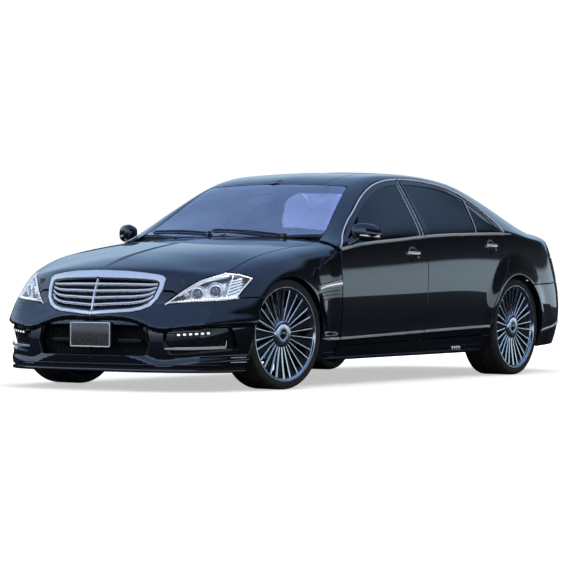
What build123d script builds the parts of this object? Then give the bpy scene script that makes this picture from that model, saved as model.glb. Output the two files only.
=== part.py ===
"""Luxury sedan, long wheelbase, as an assembly of separate panels, glass, seats, axles and wheels.

Frame: origin on the ground under the middle of the car, +X forward, +Y to the car's left, +Z up.
All lengths are millimetres.
"""

import os

import numpy as np
from build123d import *

# ---------------------------------------------------------------- driving dimensions
WHEELBASE = 3165.0
FRONT_AXLE_X = 1735.0
REAR_AXLE_X = FRONT_AXLE_X - WHEELBASE

TYRE_RADIUS = 353.0
RIM_RADIUS = 302.0
FRONT_TYRE_WIDTH = 255.0
REAR_TYRE_WIDTH = 275.0
FRONT_WHEEL_Y = 795.0
REAR_WHEEL_Y = 785.0
KINGPIN_Y = 770.0
REST_STEER = -8.0  # the front wheels stand turned a little to the right

ARCH_HALF_LENGTH = 392.0
FRONT_ARCH_RISE = 366.0
REAR_ARCH_RISE = 378.0
FLARE_START = 378.0
FLARE_WIDTH = 165.0
FLARE_HEIGHT = 26.0

FRAME_THICKNESS = 28.0
ROOF_THICKNESS = 40.0
GLASS_THICKNESS = 5.0
GAP = 8.0  # between a moving panel and its neighbours
DOOR_BACK = 822.0  # the flat inner face of a door's box
SPINDLE_RADIUS = 25.0
STEERING_WHEEL_Y = 370.0
COLUMN_TILT = 22.0
PLATE_WIDTH = 305.0
PLATE_HEIGHT = 152.0
PLATE_HOLES = 178.0
SEAL = 20.0  # how far a door's inner box stands back from its skin's edge

SILL_TOP_FRONT = 262.0
SILL_TOP_REAR = 300.0
TAILPIPE_Y = 560.0
TAILPIPE_Z = 255.0
TAILPIPE_RADIUS = 38.0

# ---------------------------------------------------------------- feature lines of the half body
# Each row is a list of (x, half width, height); the skin is a cubic B-spline over the rows.
BOTTOM = [(2615, 850, 150), (2100, 872, 150), (1735, 880, 160), (1000, 862, 170), (0, 860, 175),
          (-1000, 862, 180), (-1430, 872, 185), (-2000, 860, 200), (-2615, 830, 225)]
LOW = [(2615, 880, 262), (2100, 905, 270), (1735, 912, 290), (1000, 908, 300), (0, 905, 305),
       (-1000, 908, 320), (-1430, 915, 330), (-2000, 905, 330), (-2615, 875, 340)]
WIDE = [(2615, 890, 420), (2100, 922, 430), (1735, 928, 470), (1000, 930, 480), (0, 936, 490),
        (-1000, 934, 500), (-1430, 932, 500), (-2000, 920, 500), (-2615, 888, 490)]
UPPER = [(2615, 880, 560), (2100, 918, 570), (1735, 926, 640), (1000, 932, 670), (0, 938, 690),
         (-1000, 934, 710), (-1430, 926, 710), (-2000, 905, 690), (-2615, 860, 640)]
SHOULDER = [(2615, 840, 665), (2300, 858, 660), (2100, 885, 680), (1735, 903, 785), (1000, 915, 830),
            (0, 924, 865), (-1000, 920, 885), (-1430, 905, 890), (-2000, 870, 880), (-2615, 800, 840)]
CREST = [(2615, 800, 760), (2400, 775, 742), (2200, 805, 738), (2060, 825, 765), (1900, 838, 815),
         (1735, 848, 848), (1400, 866, 890), (1000, 872, 925)]
RIDGE = [(2615, 720, 772), (2400, 690, 775), (2200, 690, 765), (2060, 695, 795), (1900, 702, 840),
         (1735, 712, 872), (1400, 735, 918), (1000, 745, 966)]
HOOD_SIDE = [(2615, 420, 775), (2400, 400, 800), (2200, 395, 835), (2060, 395, 862), (1900, 400, 890),
             (1735, 405, 915), (1400, 410, 954), (1000, 415, 985)]
HOOD_SPINE = [(2615, 0, 777), (2400, 0, 805), (2200, 0, 846), (2060, 0, 872), (1900, 0, 899),
              (1735, 0, 923), (1400, 0, 961), (1000, 0, 990)]
BELT = [(1150, 905, 890), (1000, 903, 905), (600, 900, 945), (0, 897, 988), (-700, 893, 1018),
        (-1300, 878, 1030), (-1600, 868, 1020), (-1850, 850, 1000), (-2100, 825, 985), (-2615, 750, 950)]
GLASS_LOW = [(1150, 872, 905), (1000, 868, 945), (731, 866, 1000), (449, 866, 1035), (0, 862, 1055),
             (-700, 858, 1075), (-1100, 850, 1080), (-1300, 835, 1078), (-1600, 820, 1058),
             (-1850, 815, 1020), (-2100, 800, 1003), (-2615, 720, 975)]
GLASS_HIGH = [(1150, 850, 915), (1000, 832, 960), (731, 800, 1065), (449, 760, 1165), (139, 735, 1220),
              (-201, 730, 1236), (-700, 730, 1240), (-1035, 738, 1215), (-1300, 755, 1170),
              (-1600, 780, 1095), (-1850, 785, 1035), (-2100, 775, 1015), (-2615, 690, 985)]
RAIL = [(1150, 830, 925), (1000, 796, 975), (731, 742, 1120), (449, 655, 1285), (139, 600, 1390),
        (-201, 588, 1420), (-500, 592, 1422), (-854, 600, 1398), (-1100, 603, 1362), (-1304, 612, 1310),
        (-1500, 640, 1240), (-1705, 695, 1140), (-1853, 735, 1072), (-1960, 745, 1043),
        (-2100, 735, 1032), (-2615, 650, 1005)]
EDGE = [(1150, 790, 935), (1000, 735, 990), (731, 660, 1142), (449, 580, 1315), (139, 545, 1412),
        (-201, 540, 1435), (-500, 540, 1437), (-854, 540, 1416), (-1100, 540, 1382), (-1304, 545, 1328),
        (-1500, 560, 1255), (-1705, 600, 1158), (-1853, 640, 1090), (-1960, 650, 1062),
        (-2100, 640, 1052), (-2615, 560, 1035)]
ROOF_SIDE = [(1150, 400, 950), (1000, 380, 1034), (731, 340, 1180), (449, 310, 1338), (300, 305, 1392),
             (139, 300, 1424), (-201, 300, 1450), (-500, 300, 1456), (-854, 300, 1440),
             (-1100, 300, 1401), (-1304, 300, 1341), (-1500, 310, 1262), (-1705, 330, 1170),
             (-1853, 345, 1100), (-1960, 350, 1073), (-2100, 350, 1064), (-2615, 310, 1050)]
SPINE = [(1150, 0, 961), (1000, 0, 1046), (731, 0, 1196), (449, 0, 1352), (300, 0, 1402), (139, 0, 1432),
         (-201, 0, 1458), (-500, 0, 1464), (-854, 0, 1448), (-1100, 0, 1408), (-1304, 0, 1347),
         (-1500, 0, 1268), (-1705, 0, 1176), (-1853, 0, 1104), (-1960, 0, 1077), (-2100, 0, 1067),
         (-2615, 0, 1053)]

# Each row ends at the centre line: where it ends, and how square its corner is in plan.
NOSE_START = 2000.0
NOSE_ENDS = [2603, 2612, 2608, 2590, 2550, 2505, 2455, 2330, 2250]
NOSE_SQUARENESS = 2.9
TAIL_START = -1750.0
TAIL_ENDS = [-2590, -2608, -2615, -2605, -2580, -2560, -2548, -2540, -2525, -2500, -2460, -2450]
TAIL_SQUARENESS = 3.4
REACH = 1150.0  # what a whole turn round a corner adds to the station's number
FAN = np.linspace(0, np.pi / 2, 361)

# Top edge of the side windows' bright frame, in side view.
WINDOW_ARC = [(1052, 896), (731, 1094), (449, 1245), (139, 1354), (-201, 1396), (-548, 1390),
              (-854, 1354), (-1035, 1303), (-1206, 1217), (-1300, 1125), (-1345, 1035)]
# The rear door's trailing edge round the arch.
REAR_SHUT = [(-1345, 1035), (-1352, 940), (-1335, 860), (-1245, 750), (-1125, 640), (-1040, 520),
             (-1008, 420), (-1000, 260)]
FRONT_SHUT_X = 1071.0


# ---------------------------------------------------------------- the skin as a function
def natural_cubic(xs, ys):
    """A natural cubic spline through the points, as a function of x."""
    order = np.argsort(xs)
    xs = np.array(xs, float)[order]
    ys = np.array(ys, float)[order]
    count = len(xs)
    step = np.diff(xs)
    left = np.eye(count)
    right = np.zeros(count)
    for i in range(1, count - 1):
        left[i, i - 1:i + 2] = step[i - 1], 2 * (step[i - 1] + step[i]), step[i]
        right[i] = 6 * ((ys[i + 1] - ys[i]) / step[i] - (ys[i] - ys[i - 1]) / step[i - 1])
    bend = np.linalg.solve(left, right)

    def value(x):
        i = int(np.clip(np.searchsorted(xs, x) - 1, 0, count - 2))
        before, after, h = xs[i + 1] - x, x - xs[i], step[i]
        curved = (bend[i] * before**3 + bend[i + 1] * after**3) / (6 * h)
        straight = (ys[i] / h - bend[i] * h / 6) * before + (ys[i + 1] / h - bend[i + 1] * h / 6) * after
        return float(curved + straight)

    return value


class Row:
    """One feature line: along the side as a function of x, then round the corner to the centre line."""

    def __init__(self, points, start, end, squareness):
        xs = [p[0] for p in points]
        self.width = natural_cubic(xs, [p[1] for p in points])
        self.height = natural_cubic(xs, [p[2] for p in points])
        x = start + (end - start) * np.sin(FAN) ** (2 / squareness)
        y = np.array([self.width(v) for v in x]) * np.cos(FAN) ** (2 / squareness)
        z = np.array([self.height(v) for v in x])
        self.turn = np.stack([x, y, z], 1)
        runs = np.linalg.norm(np.diff(self.turn, axis=0), axis=1)
        self.share = np.concatenate([[0], np.cumsum(runs)]) / runs.sum()

    def at(self, station, start, way):
        """The row's point at a station: its x on the side, or past the start, how far round it is."""
        turned = (station - start) * way / REACH
        if turned <= 0:
            return [station, self.width(station), self.height(station)]
        return [float(np.interp(turned, self.share, self.turn[:, k])) for k in range(3)]


class Skin:
    """Half of the body's outer surface over its rows, from the sill to the centre line."""

    def __init__(self, rows, ends, squareness, start, way):
        self.start, self.way = start, way
        self.rows = [Row(r, start, end, squareness) for r, end in zip(rows, ends)]
        inner = np.linspace(0, 1, len(rows) - 2)
        self.knots = np.concatenate([[0] * 3, inner, [1] * 3])
        self.nets = {}

    def weights(self, s):
        """The rows' cubic B-spline weights at the share s of the way up the section."""
        s = min(max(s, 0.0), 1 - 1e-12)
        count, knots = len(self.rows), self.knots
        w = [1.0 if knots[i] <= s < knots[i + 1] else 0.0 for i in range(count + 3)]
        for degree in (1, 2, 3):
            for i in range(count + 3 - degree):
                a, b = knots[i + degree] - knots[i], knots[i + degree + 1] - knots[i + 1]
                w[i] = (w[i] * (s - knots[i]) / a if a > 0 else 0) + (
                    w[i + 1] * (knots[i + degree + 1] - s) / b if b > 0 else 0)
        return np.array(w[:count])

    def net(self, station):
        """The rows' points at a station."""
        station = round(float(station), 3)
        if station not in self.nets:
            self.nets[station] = np.array([row.at(station, self.start, self.way) for row in self.rows])
        return self.nets[station]

    def point(self, station, s):
        p = self.weights(s) @ self.net(station)
        p[1] += flare(p)
        return p

    def normal(self, station, s):
        """The outward normal."""
        ds, dw = 1e-3, 2.0
        up = self.point(station, min(s + ds, 1)) - self.point(station, max(s - ds, 0))
        along = self.point(station + dw, s) - self.point(station - dw, s)
        n = np.cross(up, along)
        n = n if n @ (self.point(station, s) - np.array([station, 0, 600])) > 0 else -n
        return n / np.linalg.norm(n)

    def share_at_height(self, station, z, highest=0.75):
        """How far up the section its side reaches the height z."""
        low, high = 0.0, highest
        for _ in range(30):
            middle = (low + high) / 2
            if self.point(station, middle)[2] < z:
                low = middle
            else:
                high = middle
        return (low + high) / 2

    def height(self, x, y):
        """The skin's height over a point of the plan."""
        best = None
        for station, s in ((min(x, self.start + 200), 0.9), (self.start + 600, 0.85), (self.start + 1000, 0.85)):
            for _ in range(30):
                here = self.point(station, s)
                miss = np.array([x - here[0], y - here[1]])
                if np.abs(miss).max() < 0.02:
                    break
                along = here - self.point(station - 1, s)
                up = (here - self.point(station, s - 1e-3)) / 1e-3
                step = np.linalg.solve(np.stack([along[:2], up[:2]], 1), miss)
                short = min(1, 60 / (abs(step[0]) + 1e-9), 0.06 / (abs(step[1]) + 1e-9))
                station = min(station + step[0] * short, self.start + REACH)
                s = min(max(s + step[1] * short, 2e-3), 1)
            if best is None or np.abs(miss).max() < best[1]:
                best = here[2], np.abs(miss).max()
        return best[0]

    def patch(self, stations, low, high, rows=12, depth=0.0):
        """A face over the stations, from share low(station) to high(station), moved in by depth."""
        grid = []
        for w in stations:
            shares = np.linspace(low(w), high(w), rows)
            line = [self.point(w, s) - (depth * self.normal(w, s) if depth else 0) for s in shares]
            for p in line:
                p[1] = p[1] if p[1] > 0.5 else -2.0
            grid.append([Vector(*p) for p in line])
        return Face.make_surface_from_array_of_points(grid, tol=0.05)


def flare(p):
    """How much wider the body is near the wheel arches."""
    widest = 0.0
    for axle_x in (FRONT_AXLE_X, REAR_AXLE_X):
        reach = np.hypot(p[0] - axle_x, p[2] - TYRE_RADIUS)
        t = min(max((reach - FLARE_START) / FLARE_WIDTH, 0), 1)
        widest = max(widest, FLARE_HEIGHT * (1 - t * t * (3 - 2 * t)))
    low = min(max((p[2] - 150) / 200, 0.45), 1)
    side = min(max((p[1] - 700) / 150, 0), 1)
    return widest * low * side


FRONT = Skin([BOTTOM, LOW, WIDE, UPPER, SHOULDER, CREST, RIDGE, HOOD_SIDE, HOOD_SPINE],
             NOSE_ENDS, NOSE_SQUARENESS, NOSE_START, 1)
CABIN = Skin([BOTTOM, LOW, WIDE, UPPER, SHOULDER, BELT, GLASS_LOW, GLASS_HIGH, RAIL, EDGE, ROOF_SIDE, SPINE],
             TAIL_ENDS, TAIL_SQUARENESS, TAIL_START, -1)


def fixed(value):
    return lambda station: value


# ---------------------------------------------------------------- borders between the nose panels
# Pairs of station and share of the way up the section, on the front skin.
HOOD_EDGE = [(900, 0.80), (1120, 0.792), (1364, 0.79), (1620, 0.783), (1855, 0.771), (2055, 0.762),
             (2210, 0.725), (2335, 0.658), (2435, 0.592), (2530, 0.496), (2585, 0.45), (3150, 0.45)]
BUMPER_EDGE = [(1990, 0.35), (2135, 0.371), (2210, 0.375), (2360, 0.362), (2485, 0.35), (2615, 0.333),
               (2690, 0.322), (3150, 0.322)]
LAMP_REAR = [(2221, 585), (2154, 642), (2058, 712), (2116, 737), (2196, 741), (2330, 741), (2330, 585)]
GRILLE = [(0, 472), (293, 493), (370, 507), (430, 530), (472, 578), (493, 641), (492, 706), (456, 727),
          (345, 741), (221, 751), (0, 757)]
SCREEN = [(1112, 0), (1085, 400), (978, 722), (700, 640), (395, 560), (425, 250), (432, 0)]
BACK_LIGHT = [(-1120, 0), (-1135, 300), (-1165, 500), (-1500, 545), (-1830, 615), (-1872, 400), (-1885, 0)]
LID_FRONT_X = -1962.0
LID_HALF_WIDTH = 560.0
LID_BOTTOM = 690.0


def along(points):
    """A border's share as a function of the station."""
    stations = [p[0] for p in points]
    shares = [p[1] for p in points]
    return lambda station: float(np.interp(station, stations, shares))


# ---------------------------------------------------------------- outlines and cuts
def loop(*runs):
    """Draws a closed outline: each run of points starts where the last one ended."""
    Polyline(*[point for run in runs for point in run], close=True)


belt_height = natural_cubic([1052, 871, 227, -68, -636, -1250, -1400],
                            [896, 922, 972, 993, 1017, 1030, 1032])
arc_height = natural_cubic([p[0] for p in WINDOW_ARC[1:-2]], [p[1] for p in WINDOW_ARC[1:-2]])


def sill_top(x):
    share = (FRONT_SHUT_X - x) / (FRONT_SHUT_X + 1000)
    return SILL_TOP_FRONT + share * (SILL_TOP_REAR - SILL_TOP_FRONT)


def arc_points(first_x, last_x, count, rise):
    """Points a little above or below the window arc, between two places along the car."""
    return [(x, arc_height(x) + rise) for x in np.linspace(first_x, last_x, count)]


def front_door_outline():
    """The front door in side view: bottom, leading edge, window arc, shut line between the doors."""
    loop([(-47, sill_top(-47)), (FRONT_SHUT_X, sill_top(FRONT_SHUT_X)), (FRONT_SHUT_X, 890),
          (1052, 900), (731, arc_height(731) + 6)],
         arc_points(600, -203, 9, 6),
         [(-90, 993), (-85, 820), (-50, 350)])


def rear_door_outline():
    """The rear door in side view: shut line, bottom, edge round the wheel arch, window arc."""
    loop([(-221, arc_height(-221) + 6), (-90, 993), (-85, 820), (-50, 350),
          (-47, sill_top(-47)), (-1000, sill_top(-1000)), (-1008, 420)],
         REAR_SHUT[1:6][::-1],
         [(-1345, 1045), (-1302, 1128)],
         arc_points(-1206, -330, 10, 6))


def front_window_outline():
    loop([(600, arc_height(600) - 38), (985, 925), (-30, 1006), (-150, arc_height(-150) - 38)],
         arc_points(-20, 500, 6, -38))


def rear_window_outline():
    loop([(-250, arc_height(-250) - 38), (-190, 1012), (-1262, 1046), (-1262, 1075),
          (-1206, arc_height(-1206) - 38)],
         arc_points(-1100, -350, 8, -38))


def polygon(points):
    """An outline function for a closed run of straight lines."""
    return lambda: loop(points)


def prism_between(low_y, high_y, outline, grow, highest):
    """A flat-sided block behind a side-view outline, up to a height."""
    with BuildPart(mode=Mode.PRIVATE) as block:
        with BuildSketch(Plane.XZ.offset(-low_y)):
            with BuildLine():
                outline()
            make_face()
            offset(amount=grow, mode=Mode.REPLACE)
        extrude(amount=low_y - high_y)
        with Locations((0, 0, highest)):
            Box(4000, 4000, 2000, align=(Align.CENTER, Align.CENTER, Align.MIN), mode=Mode.SUBTRACT)
    return block.part


def plan(points):
    """A top-view outline whose left half is given, from x at one end of the centre line to the other."""
    return polygon(points + [(x, -y) for x, y in points[::-1] if y])


def front_view(points):
    """A front-view outline whose left half is given as pairs of y and height."""
    return polygon(points + [(-y, z) for y, z in points[::-1] if y])


VIEWS = {"side": (Plane.XZ, -1200), "top": (Plane.XY, 1700), "front": (Plane.YZ, 2800),
         "back": (Plane.YZ, -2800)}


def prism(view, outline, grow=0.0, start=0.0):
    """A solid that runs through the car behind an outline drawn in one view."""
    plane, amount = VIEWS[view]
    away = start if amount > 0 else -start
    with BuildPart(mode=Mode.PRIVATE) as through:
        with BuildSketch(plane.offset(away)):
            with BuildLine():
                outline()
            make_face()
            if grow:
                offset(amount=grow, mode=Mode.REPLACE)
        extrude(amount=amount)
    return through.part


def keep_inside(view, outline, grow=0.0, start=0.0):
    add(prism(view, outline, grow, start), mode=Mode.INTERSECT)


def cut_away(view, outline, grow=0.0, start=0.0):
    add(prism(view, outline, grow, start), mode=Mode.SUBTRACT)


def cut_arch(axle_x, rise):
    """Cuts a wheel arch's opening through a side panel."""
    with BuildSketch(Plane.XZ.offset(-400)) as opening:
        with Locations((axle_x, TYRE_RADIUS)):
            Ellipse(ARCH_HALF_LENGTH, rise)
        with Locations((axle_x, TYRE_RADIUS - 200)):
            Rectangle(2 * ARCH_HALF_LENGTH, 400)
    extrude(opening.sketch, amount=-800, mode=Mode.SUBTRACT)


def box(low, high):
    """A plain block between two corners."""
    size = [b - a for a, b in zip(low, high)]
    with Locations(low):
        Box(*size, align=(Align.MIN, Align.MIN, Align.MIN))


parts = {}


def keep(name, solid):
    """Labels a finished piece."""
    solid.label = name
    parts[name] = solid


def both_sides(name, left):
    """Keeps a left piece and its mirror image as two nodes."""
    keep(f"{name}_left", left)
    keep(f"{name}_right", mirrored(left))


def mirrored(left):
    with BuildPart() as right:
        mirror(left, about=Plane.XZ)
    return right.part


def full_width(half):
    """Cuts a half panel off on the centre line and joins it to its mirror image."""
    with BuildPart() as both:
        add(half)
        split(bisect_by=Plane.XZ, keep=Keep.BOTTOM)
        mirror(about=Plane.XZ)
    return both.part


# ---------------------------------------------------------------- doors
def trimmed(face, amount, outline, inset):
    """A face made thicker inward and cut to a side-view outline set in by a clearance."""
    with BuildPart() as piece:
        thicken(face, amount=amount)
        keep_inside("side", outline, -inset, 300)
    return piece.part


def door(stations, outline, window, top):
    """A door: the skin with its window frame, and a flat-backed inner box below the belt."""
    low = lambda w: CABIN.share_at_height(w, sill_top(w) - 8)
    with BuildPart() as leaf:
        add(trimmed(CABIN.patch(stations, low, fixed(0.75), 16), -FRAME_THICKNESS, outline, GAP / 2))
        cut_away("side", window, 0, 300)
        add(prism_between(DOOR_BACK, DOOR_BACK + 55, outline, -SEAL, top))
    return leaf.part


def window_glass(stations, window):
    return trimmed(CABIN.patch(stations, fixed(0.35), fixed(0.75), 10, depth=14), -GLASS_THICKNESS, window, 0.5)


FRONT_DOOR_STATIONS = np.linspace(1090, -240, 11)
REAR_DOOR_STATIONS = np.linspace(-30, -1370, 12)

both_sides("front_door", door(FRONT_DOOR_STATIONS, front_door_outline, front_window_outline, 880))
both_sides("rear_door", door(REAR_DOOR_STATIONS, rear_door_outline, rear_window_outline, 930))
both_sides("front_window", window_glass(FRONT_DOOR_STATIONS, front_window_outline))
both_sides("rear_side_window", window_glass(REAR_DOOR_STATIONS, rear_window_outline))

# ---------------------------------------------------------------- nose panels
NOSE_STATIONS = np.concatenate([np.linspace(1960, 2700, 16), np.linspace(2750, 3150, 8)])

with BuildPart() as front_fender:
    below_hood = lambda w: along(HOOD_EDGE)(w) - 0.008
    thicken(FRONT.patch(np.linspace(1077, 2225, 20), fixed(0.0), below_hood, 20), amount=14)
    cut_arch(FRONT_AXLE_X, FRONT_ARCH_RISE)
    cut_away("side", polygon([(1735, 100), (2500, 100), (2500, 592), (1735, 592)]), 0, 300)
    cut_away("side", polygon(LAMP_REAR), 3, 300)
both_sides("front_fender", front_fender.part)

HOOD_FRONT = [(0, 2535), (300, 2535), (480, 2533), (560, 2525), (600, 2505), (640, 2470), (700, 2390),
              (760, 2235), (790, 2150)]


def hood_grid():
    """Points of the skin over half of the hood's plan, from just past the centre line to the edge."""
    grid = []
    for y in np.linspace(0, 775, 17):
        front = np.interp(y, [p[0] for p in HOOD_FRONT], [p[1] for p in HOOD_FRONT])
        xs = 955 + (front - 955) * np.sin(np.linspace(0, np.pi / 2, 24))
        grid.append([Vector(x, y or -3, FRONT.height(x, max(y, 4))) for x in xs])
    return grid


HOOD_PLAN = [(1122, 0), (1097, 400), (988, 742), (1364, 737), (1620, 735), (1855, 737),
             (2055, 735), (2183, 736), (2205, 742), (2290, 717), (2372, 677), (2446, 625), (2490, 577),
             (2512, 556), (2560, 480), (2560, 0)]

with BuildPart() as half_hood:
    thicken(Face.make_surface_from_array_of_points(hood_grid(), tol=0.05), amount=20)
    keep_inside("top", plan(HOOD_PLAN))
    cut_away("front", front_view(GRILLE), 1)
keep("hood", full_width(half_hood.part))

LAMP_SIDE = [(2541, 545), (2518, 554), (2453, 564), (2362, 572), (2222, 588), (2156, 645), (2063, 712),
             (2118, 733), (2196, 735), (2293, 721), (2375, 697), (2450, 650), (2497, 604), (2528, 564)]

with BuildPart() as headlight:
    thicken(FRONT.patch(np.linspace(2040, 2700, 20), fixed(0.28), fixed(0.74), 14), amount=50)
    keep_inside("side", polygon(LAMP_SIDE), 0, 300)
    cut_away("top", plan(HOOD_PLAN), GAP)
    cut_away("front", front_view(GRILLE), GAP)
with BuildPart() as headlights:
    add(headlight.part)
    mirror(about=Plane.XZ)
keep("headlights", headlights.part)

with BuildPart() as half_bumper:
    thicken(FRONT.patch(NOSE_STATIONS, fixed(0.0), lambda w: along(BUMPER_EDGE)(w) - 0.003, 16), amount=45)
    cut_arch(FRONT_AXLE_X, FRONT_ARCH_RISE)
    cut_away("side", polygon([(1500, 588), (2204, 588), (2204, 700), (1500, 700)]), 0, 300)
    cut_away("front", front_view(GRILLE), 5)
    cut_away("front", polygon([(-10, 225), (400, 225), (425, 300), (400, 425), (-10, 425)]), 0, 2200)
    cut_away("front", polygon([(560, 245), (850, 245), (845, 395), (600, 385), (530, 320)]), 0, 2200)
keep("front_bumper", full_width(half_bumper.part))

with BuildPart() as half_grille:
    stations = np.linspace(2600, 3150, 12)
    thicken(FRONT.patch(stations, fixed(0.2), fixed(0.74), 12), amount=46)
    keep_inside("front", front_view(GRILLE), -2)
keep("grille", full_width(half_grille.part))

# ---------------------------------------------------------------- roof, glass and pillars
with BuildPart() as half_screen:
    thicken(CABIN.patch(np.linspace(1145, 380, 14), fixed(0.72), fixed(1.0), 14), amount=-6)
    keep_inside("top", plan(SCREEN))
keep("windscreen", full_width(half_screen.part))

with BuildPart() as half_back_light:
    thicken(CABIN.patch(np.linspace(-1080, -1925, 14), fixed(0.72), fixed(1.0), 14), amount=-6)
    keep_inside("top", plan(BACK_LIGHT))
keep("rear_window", full_width(half_back_light.part))

ROOF_SIDE_VIEW = [(500, 1500), (500, 1300), (418, 1265)] + arc_points(400, -1130, 13, 10) + [
    (-1145, 1500)]

with BuildPart() as half_roof:
    thicken(CABIN.patch(np.linspace(500, -1180, 20), fixed(0.6), fixed(1.0), 18), amount=-ROOF_THICKNESS)
    keep_inside("side", polygon(ROOF_SIDE_VIEW))
    cut_away("top", plan(SCREEN), 2)
    cut_away("top", plan(BACK_LIGHT), 2)
    cut_away("top", polygon([(419, 545), (419, 900), (520, 900), (520, 545)]))
keep("roof", full_width(half_roof.part))

PILLAR_SIDE_VIEW = [(1150, 1000), (1077, 955), (1077, 905)] + [(731, 1104), (600, arc_height(600) + 10),
                    (500, arc_height(500) + 10), (422, arc_height(422) + 10), (422, 1500), (900, 1500)]

with BuildPart() as a_pillar:
    thicken(CABIN.patch(np.linspace(1145, 380, 14), fixed(0.45), fixed(0.95), 14), amount=-45)
    keep_inside("side", polygon(PILLAR_SIDE_VIEW), 0, 300)
    cut_away("top", plan(SCREEN), 2)
    cut_away("top", plan(HOOD_PLAN), GAP)
with BuildPart() as hinge_post:
    box((985, 735, 252), (1080, 812, 880))
with BuildPart() as a_pillars:
    add(a_pillar.part)
    add(hinge_post.part)
    mirror(about=Plane.XZ)
keep("a_pillars", a_pillars.part)

B_POST = [(-100, 272), (-30, 272), (-40, 820), (-43, 950), (-132, 950), (-130, 820)]
B_PILLAR = [(-43, 945), (-45, 993), (-165, 1365), (-235, 1365), (-135, 993), (-132, 945)]

with BuildPart() as b_pillar:
    thicken(CABIN.patch(np.linspace(0, -270, 6), fixed(0.35), fixed(0.72), 10, depth=36), amount=-32)
    keep_inside("side", polygon(B_PILLAR), 0, 300)
    with BuildSketch(Plane.XZ.offset(-735)):
        with BuildLine():
            Polyline(*B_POST, close=True)
        make_face()
    extrude(amount=-77)
    box((-132, 800, 937), (-43, 858, 955))
with BuildPart() as b_pillars:
    add(b_pillar.part)
    mirror(about=Plane.XZ)
keep("b_pillars", b_pillars.part)

# ---------------------------------------------------------------- rear panels
TAIL_STATIONS = np.concatenate([np.linspace(-1700, -2300, 12), np.linspace(-2350, -2900, 12)])
LID_PLAN = [(LID_FRONT_X, 0), (LID_FRONT_X, LID_HALF_WIDTH), (-2700, LID_HALF_WIDTH), (-2700, 0)]
REAR_LAMP = [(-2215, 868), (-2330, 740), (-2400, 700), (-2700, 700), (-2700, 868)]

with BuildPart() as quarter:
    thicken(CABIN.patch(np.linspace(-985, -2500, 20), fixed(0.05), fixed(0.95), 20), amount=-20)
    keep_inside("side", polygon([(-960, 1600), (-960, 306), (-1100, 306), (-1430, 400), (-1500, 664),
                                 (-2700, 664), (-2700, 1600)]), 0, 300)
    cut_arch(REAR_AXLE_X, REAR_ARCH_RISE)
    cut_away("side", rear_door_outline, GAP / 2, 300)
    cut_away("side", polygon([(-900, 1130), (-900, 1600), (-1147, 1600), (-1147, 1310), (-1300, 1130)]), 0, 300)
    cut_away("top", plan(BACK_LIGHT), 2)
    cut_away("top", plan(LID_PLAN), GAP)
    cut_away("top", polygon([(-1880, -10), (-1880, 560), (LID_FRONT_X - 20, 560), (LID_FRONT_X - 20, -10)]))
    cut_away("side", polygon(REAR_LAMP), 2, 300)
both_sides("quarter_panel", quarter.part)

with BuildPart() as half_lid:
    thicken(CABIN.patch(np.concatenate([np.linspace(-1930, -2200, 6), np.linspace(-2260, -2900, 12)]),
                        fixed(0.3), fixed(1.0), 24), amount=-30)
    keep_inside("top", polygon([(LID_FRONT_X, -10), (LID_FRONT_X, LID_HALF_WIDTH - 2),
                                (-2700, LID_HALF_WIDTH - 2), (-2700, -10)]))
    cut_away("front", polygon([(-900, 0), (900, 0), (900, LID_BOTTOM), (-900, LID_BOTTOM)]), 0, -2800)
keep("trunk_lid", full_width(half_lid.part))

with BuildPart() as half_rear_bumper:
    thicken(CABIN.patch(np.concatenate([np.linspace(-1760, -2200, 8), np.linspace(-2260, -2900, 14)]),
                        fixed(0.0), fixed(0.5), 16), amount=-45)
    cut_arch(REAR_AXLE_X, REAR_ARCH_RISE)
    cut_away("side", polygon([(-1000, 656), (-3000, 656), (-3000, 1500), (-1000, 1500)]))
    with Locations(Location((-2380, TAILPIPE_Y, TAILPIPE_Z), (0, -90, 0))):
        Cylinder(TAILPIPE_RADIUS + 6, 300, align=(Align.CENTER, Align.CENTER, Align.MIN), mode=Mode.SUBTRACT)
keep("rear_bumper", full_width(half_rear_bumper.part))

with BuildPart() as taillight:
    thicken(CABIN.patch(np.concatenate([np.linspace(-2180, -2300, 3), np.linspace(-2350, -2720, 10)]),
                        fixed(0.2), fixed(0.6), 14), amount=-40)
    keep_inside("side", polygon(REAR_LAMP), 0, 300)
    cut_away("top", plan(LID_PLAN), GAP)
with BuildPart() as taillights:
    add(taillight.part)
    mirror(about=Plane.XZ)
keep("taillights", taillights.part)

# ---------------------------------------------------------------- sills and floor
with BuildPart() as sill:
    low_edge = lambda w: CABIN.share_at_height(w, sill_top(w) - GAP / 2)
    thicken(CABIN.patch(np.linspace(1080, -1045, 14), fixed(0.0), low_edge, 8), amount=-30)
    with BuildSketch(Plane.XZ.offset(-770)):
        with BuildLine():
            Polyline((1075, 180), (1075, 245), (-1040, 285), (-1040, 190), close=True)
        make_face()
    extrude(amount=-80)
with BuildPart() as sills:
    add(sill.part)
    mirror(about=Plane.XZ)
keep("sills", sills.part)

with BuildPart() as floor_pan:
    box((-1010, -769, 195), (1110, 769, 225))
    box((-1010, -150, 225), (1085, 150, 330))
    box((-1040, -540, 195), (-1010, 540, 420))
    box((-2330, -540, 420), (-1010, 540, 450))
keep("floor_pan", floor_pan.part)

with BuildPart() as firewall:
    box((1085, -700, 225), (1110, 700, 900))
    box((1000, -690, 900), (1110, 690, 915))
keep("firewall", firewall.part)

with BuildPart() as rear_bulkhead:
    box((-1700, -540, 450), (-1675, 540, 900))
    box((-1830, -640, 900), (-1400, 640, 925))
keep("parcel_shelf", rear_bulkhead.part)

# ---------------------------------------------------------------- engine, frame and axles
with BuildPart() as engine:
    box((1180, -270, 260), (1900, 270, 790))
keep("engine", engine.part)

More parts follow.
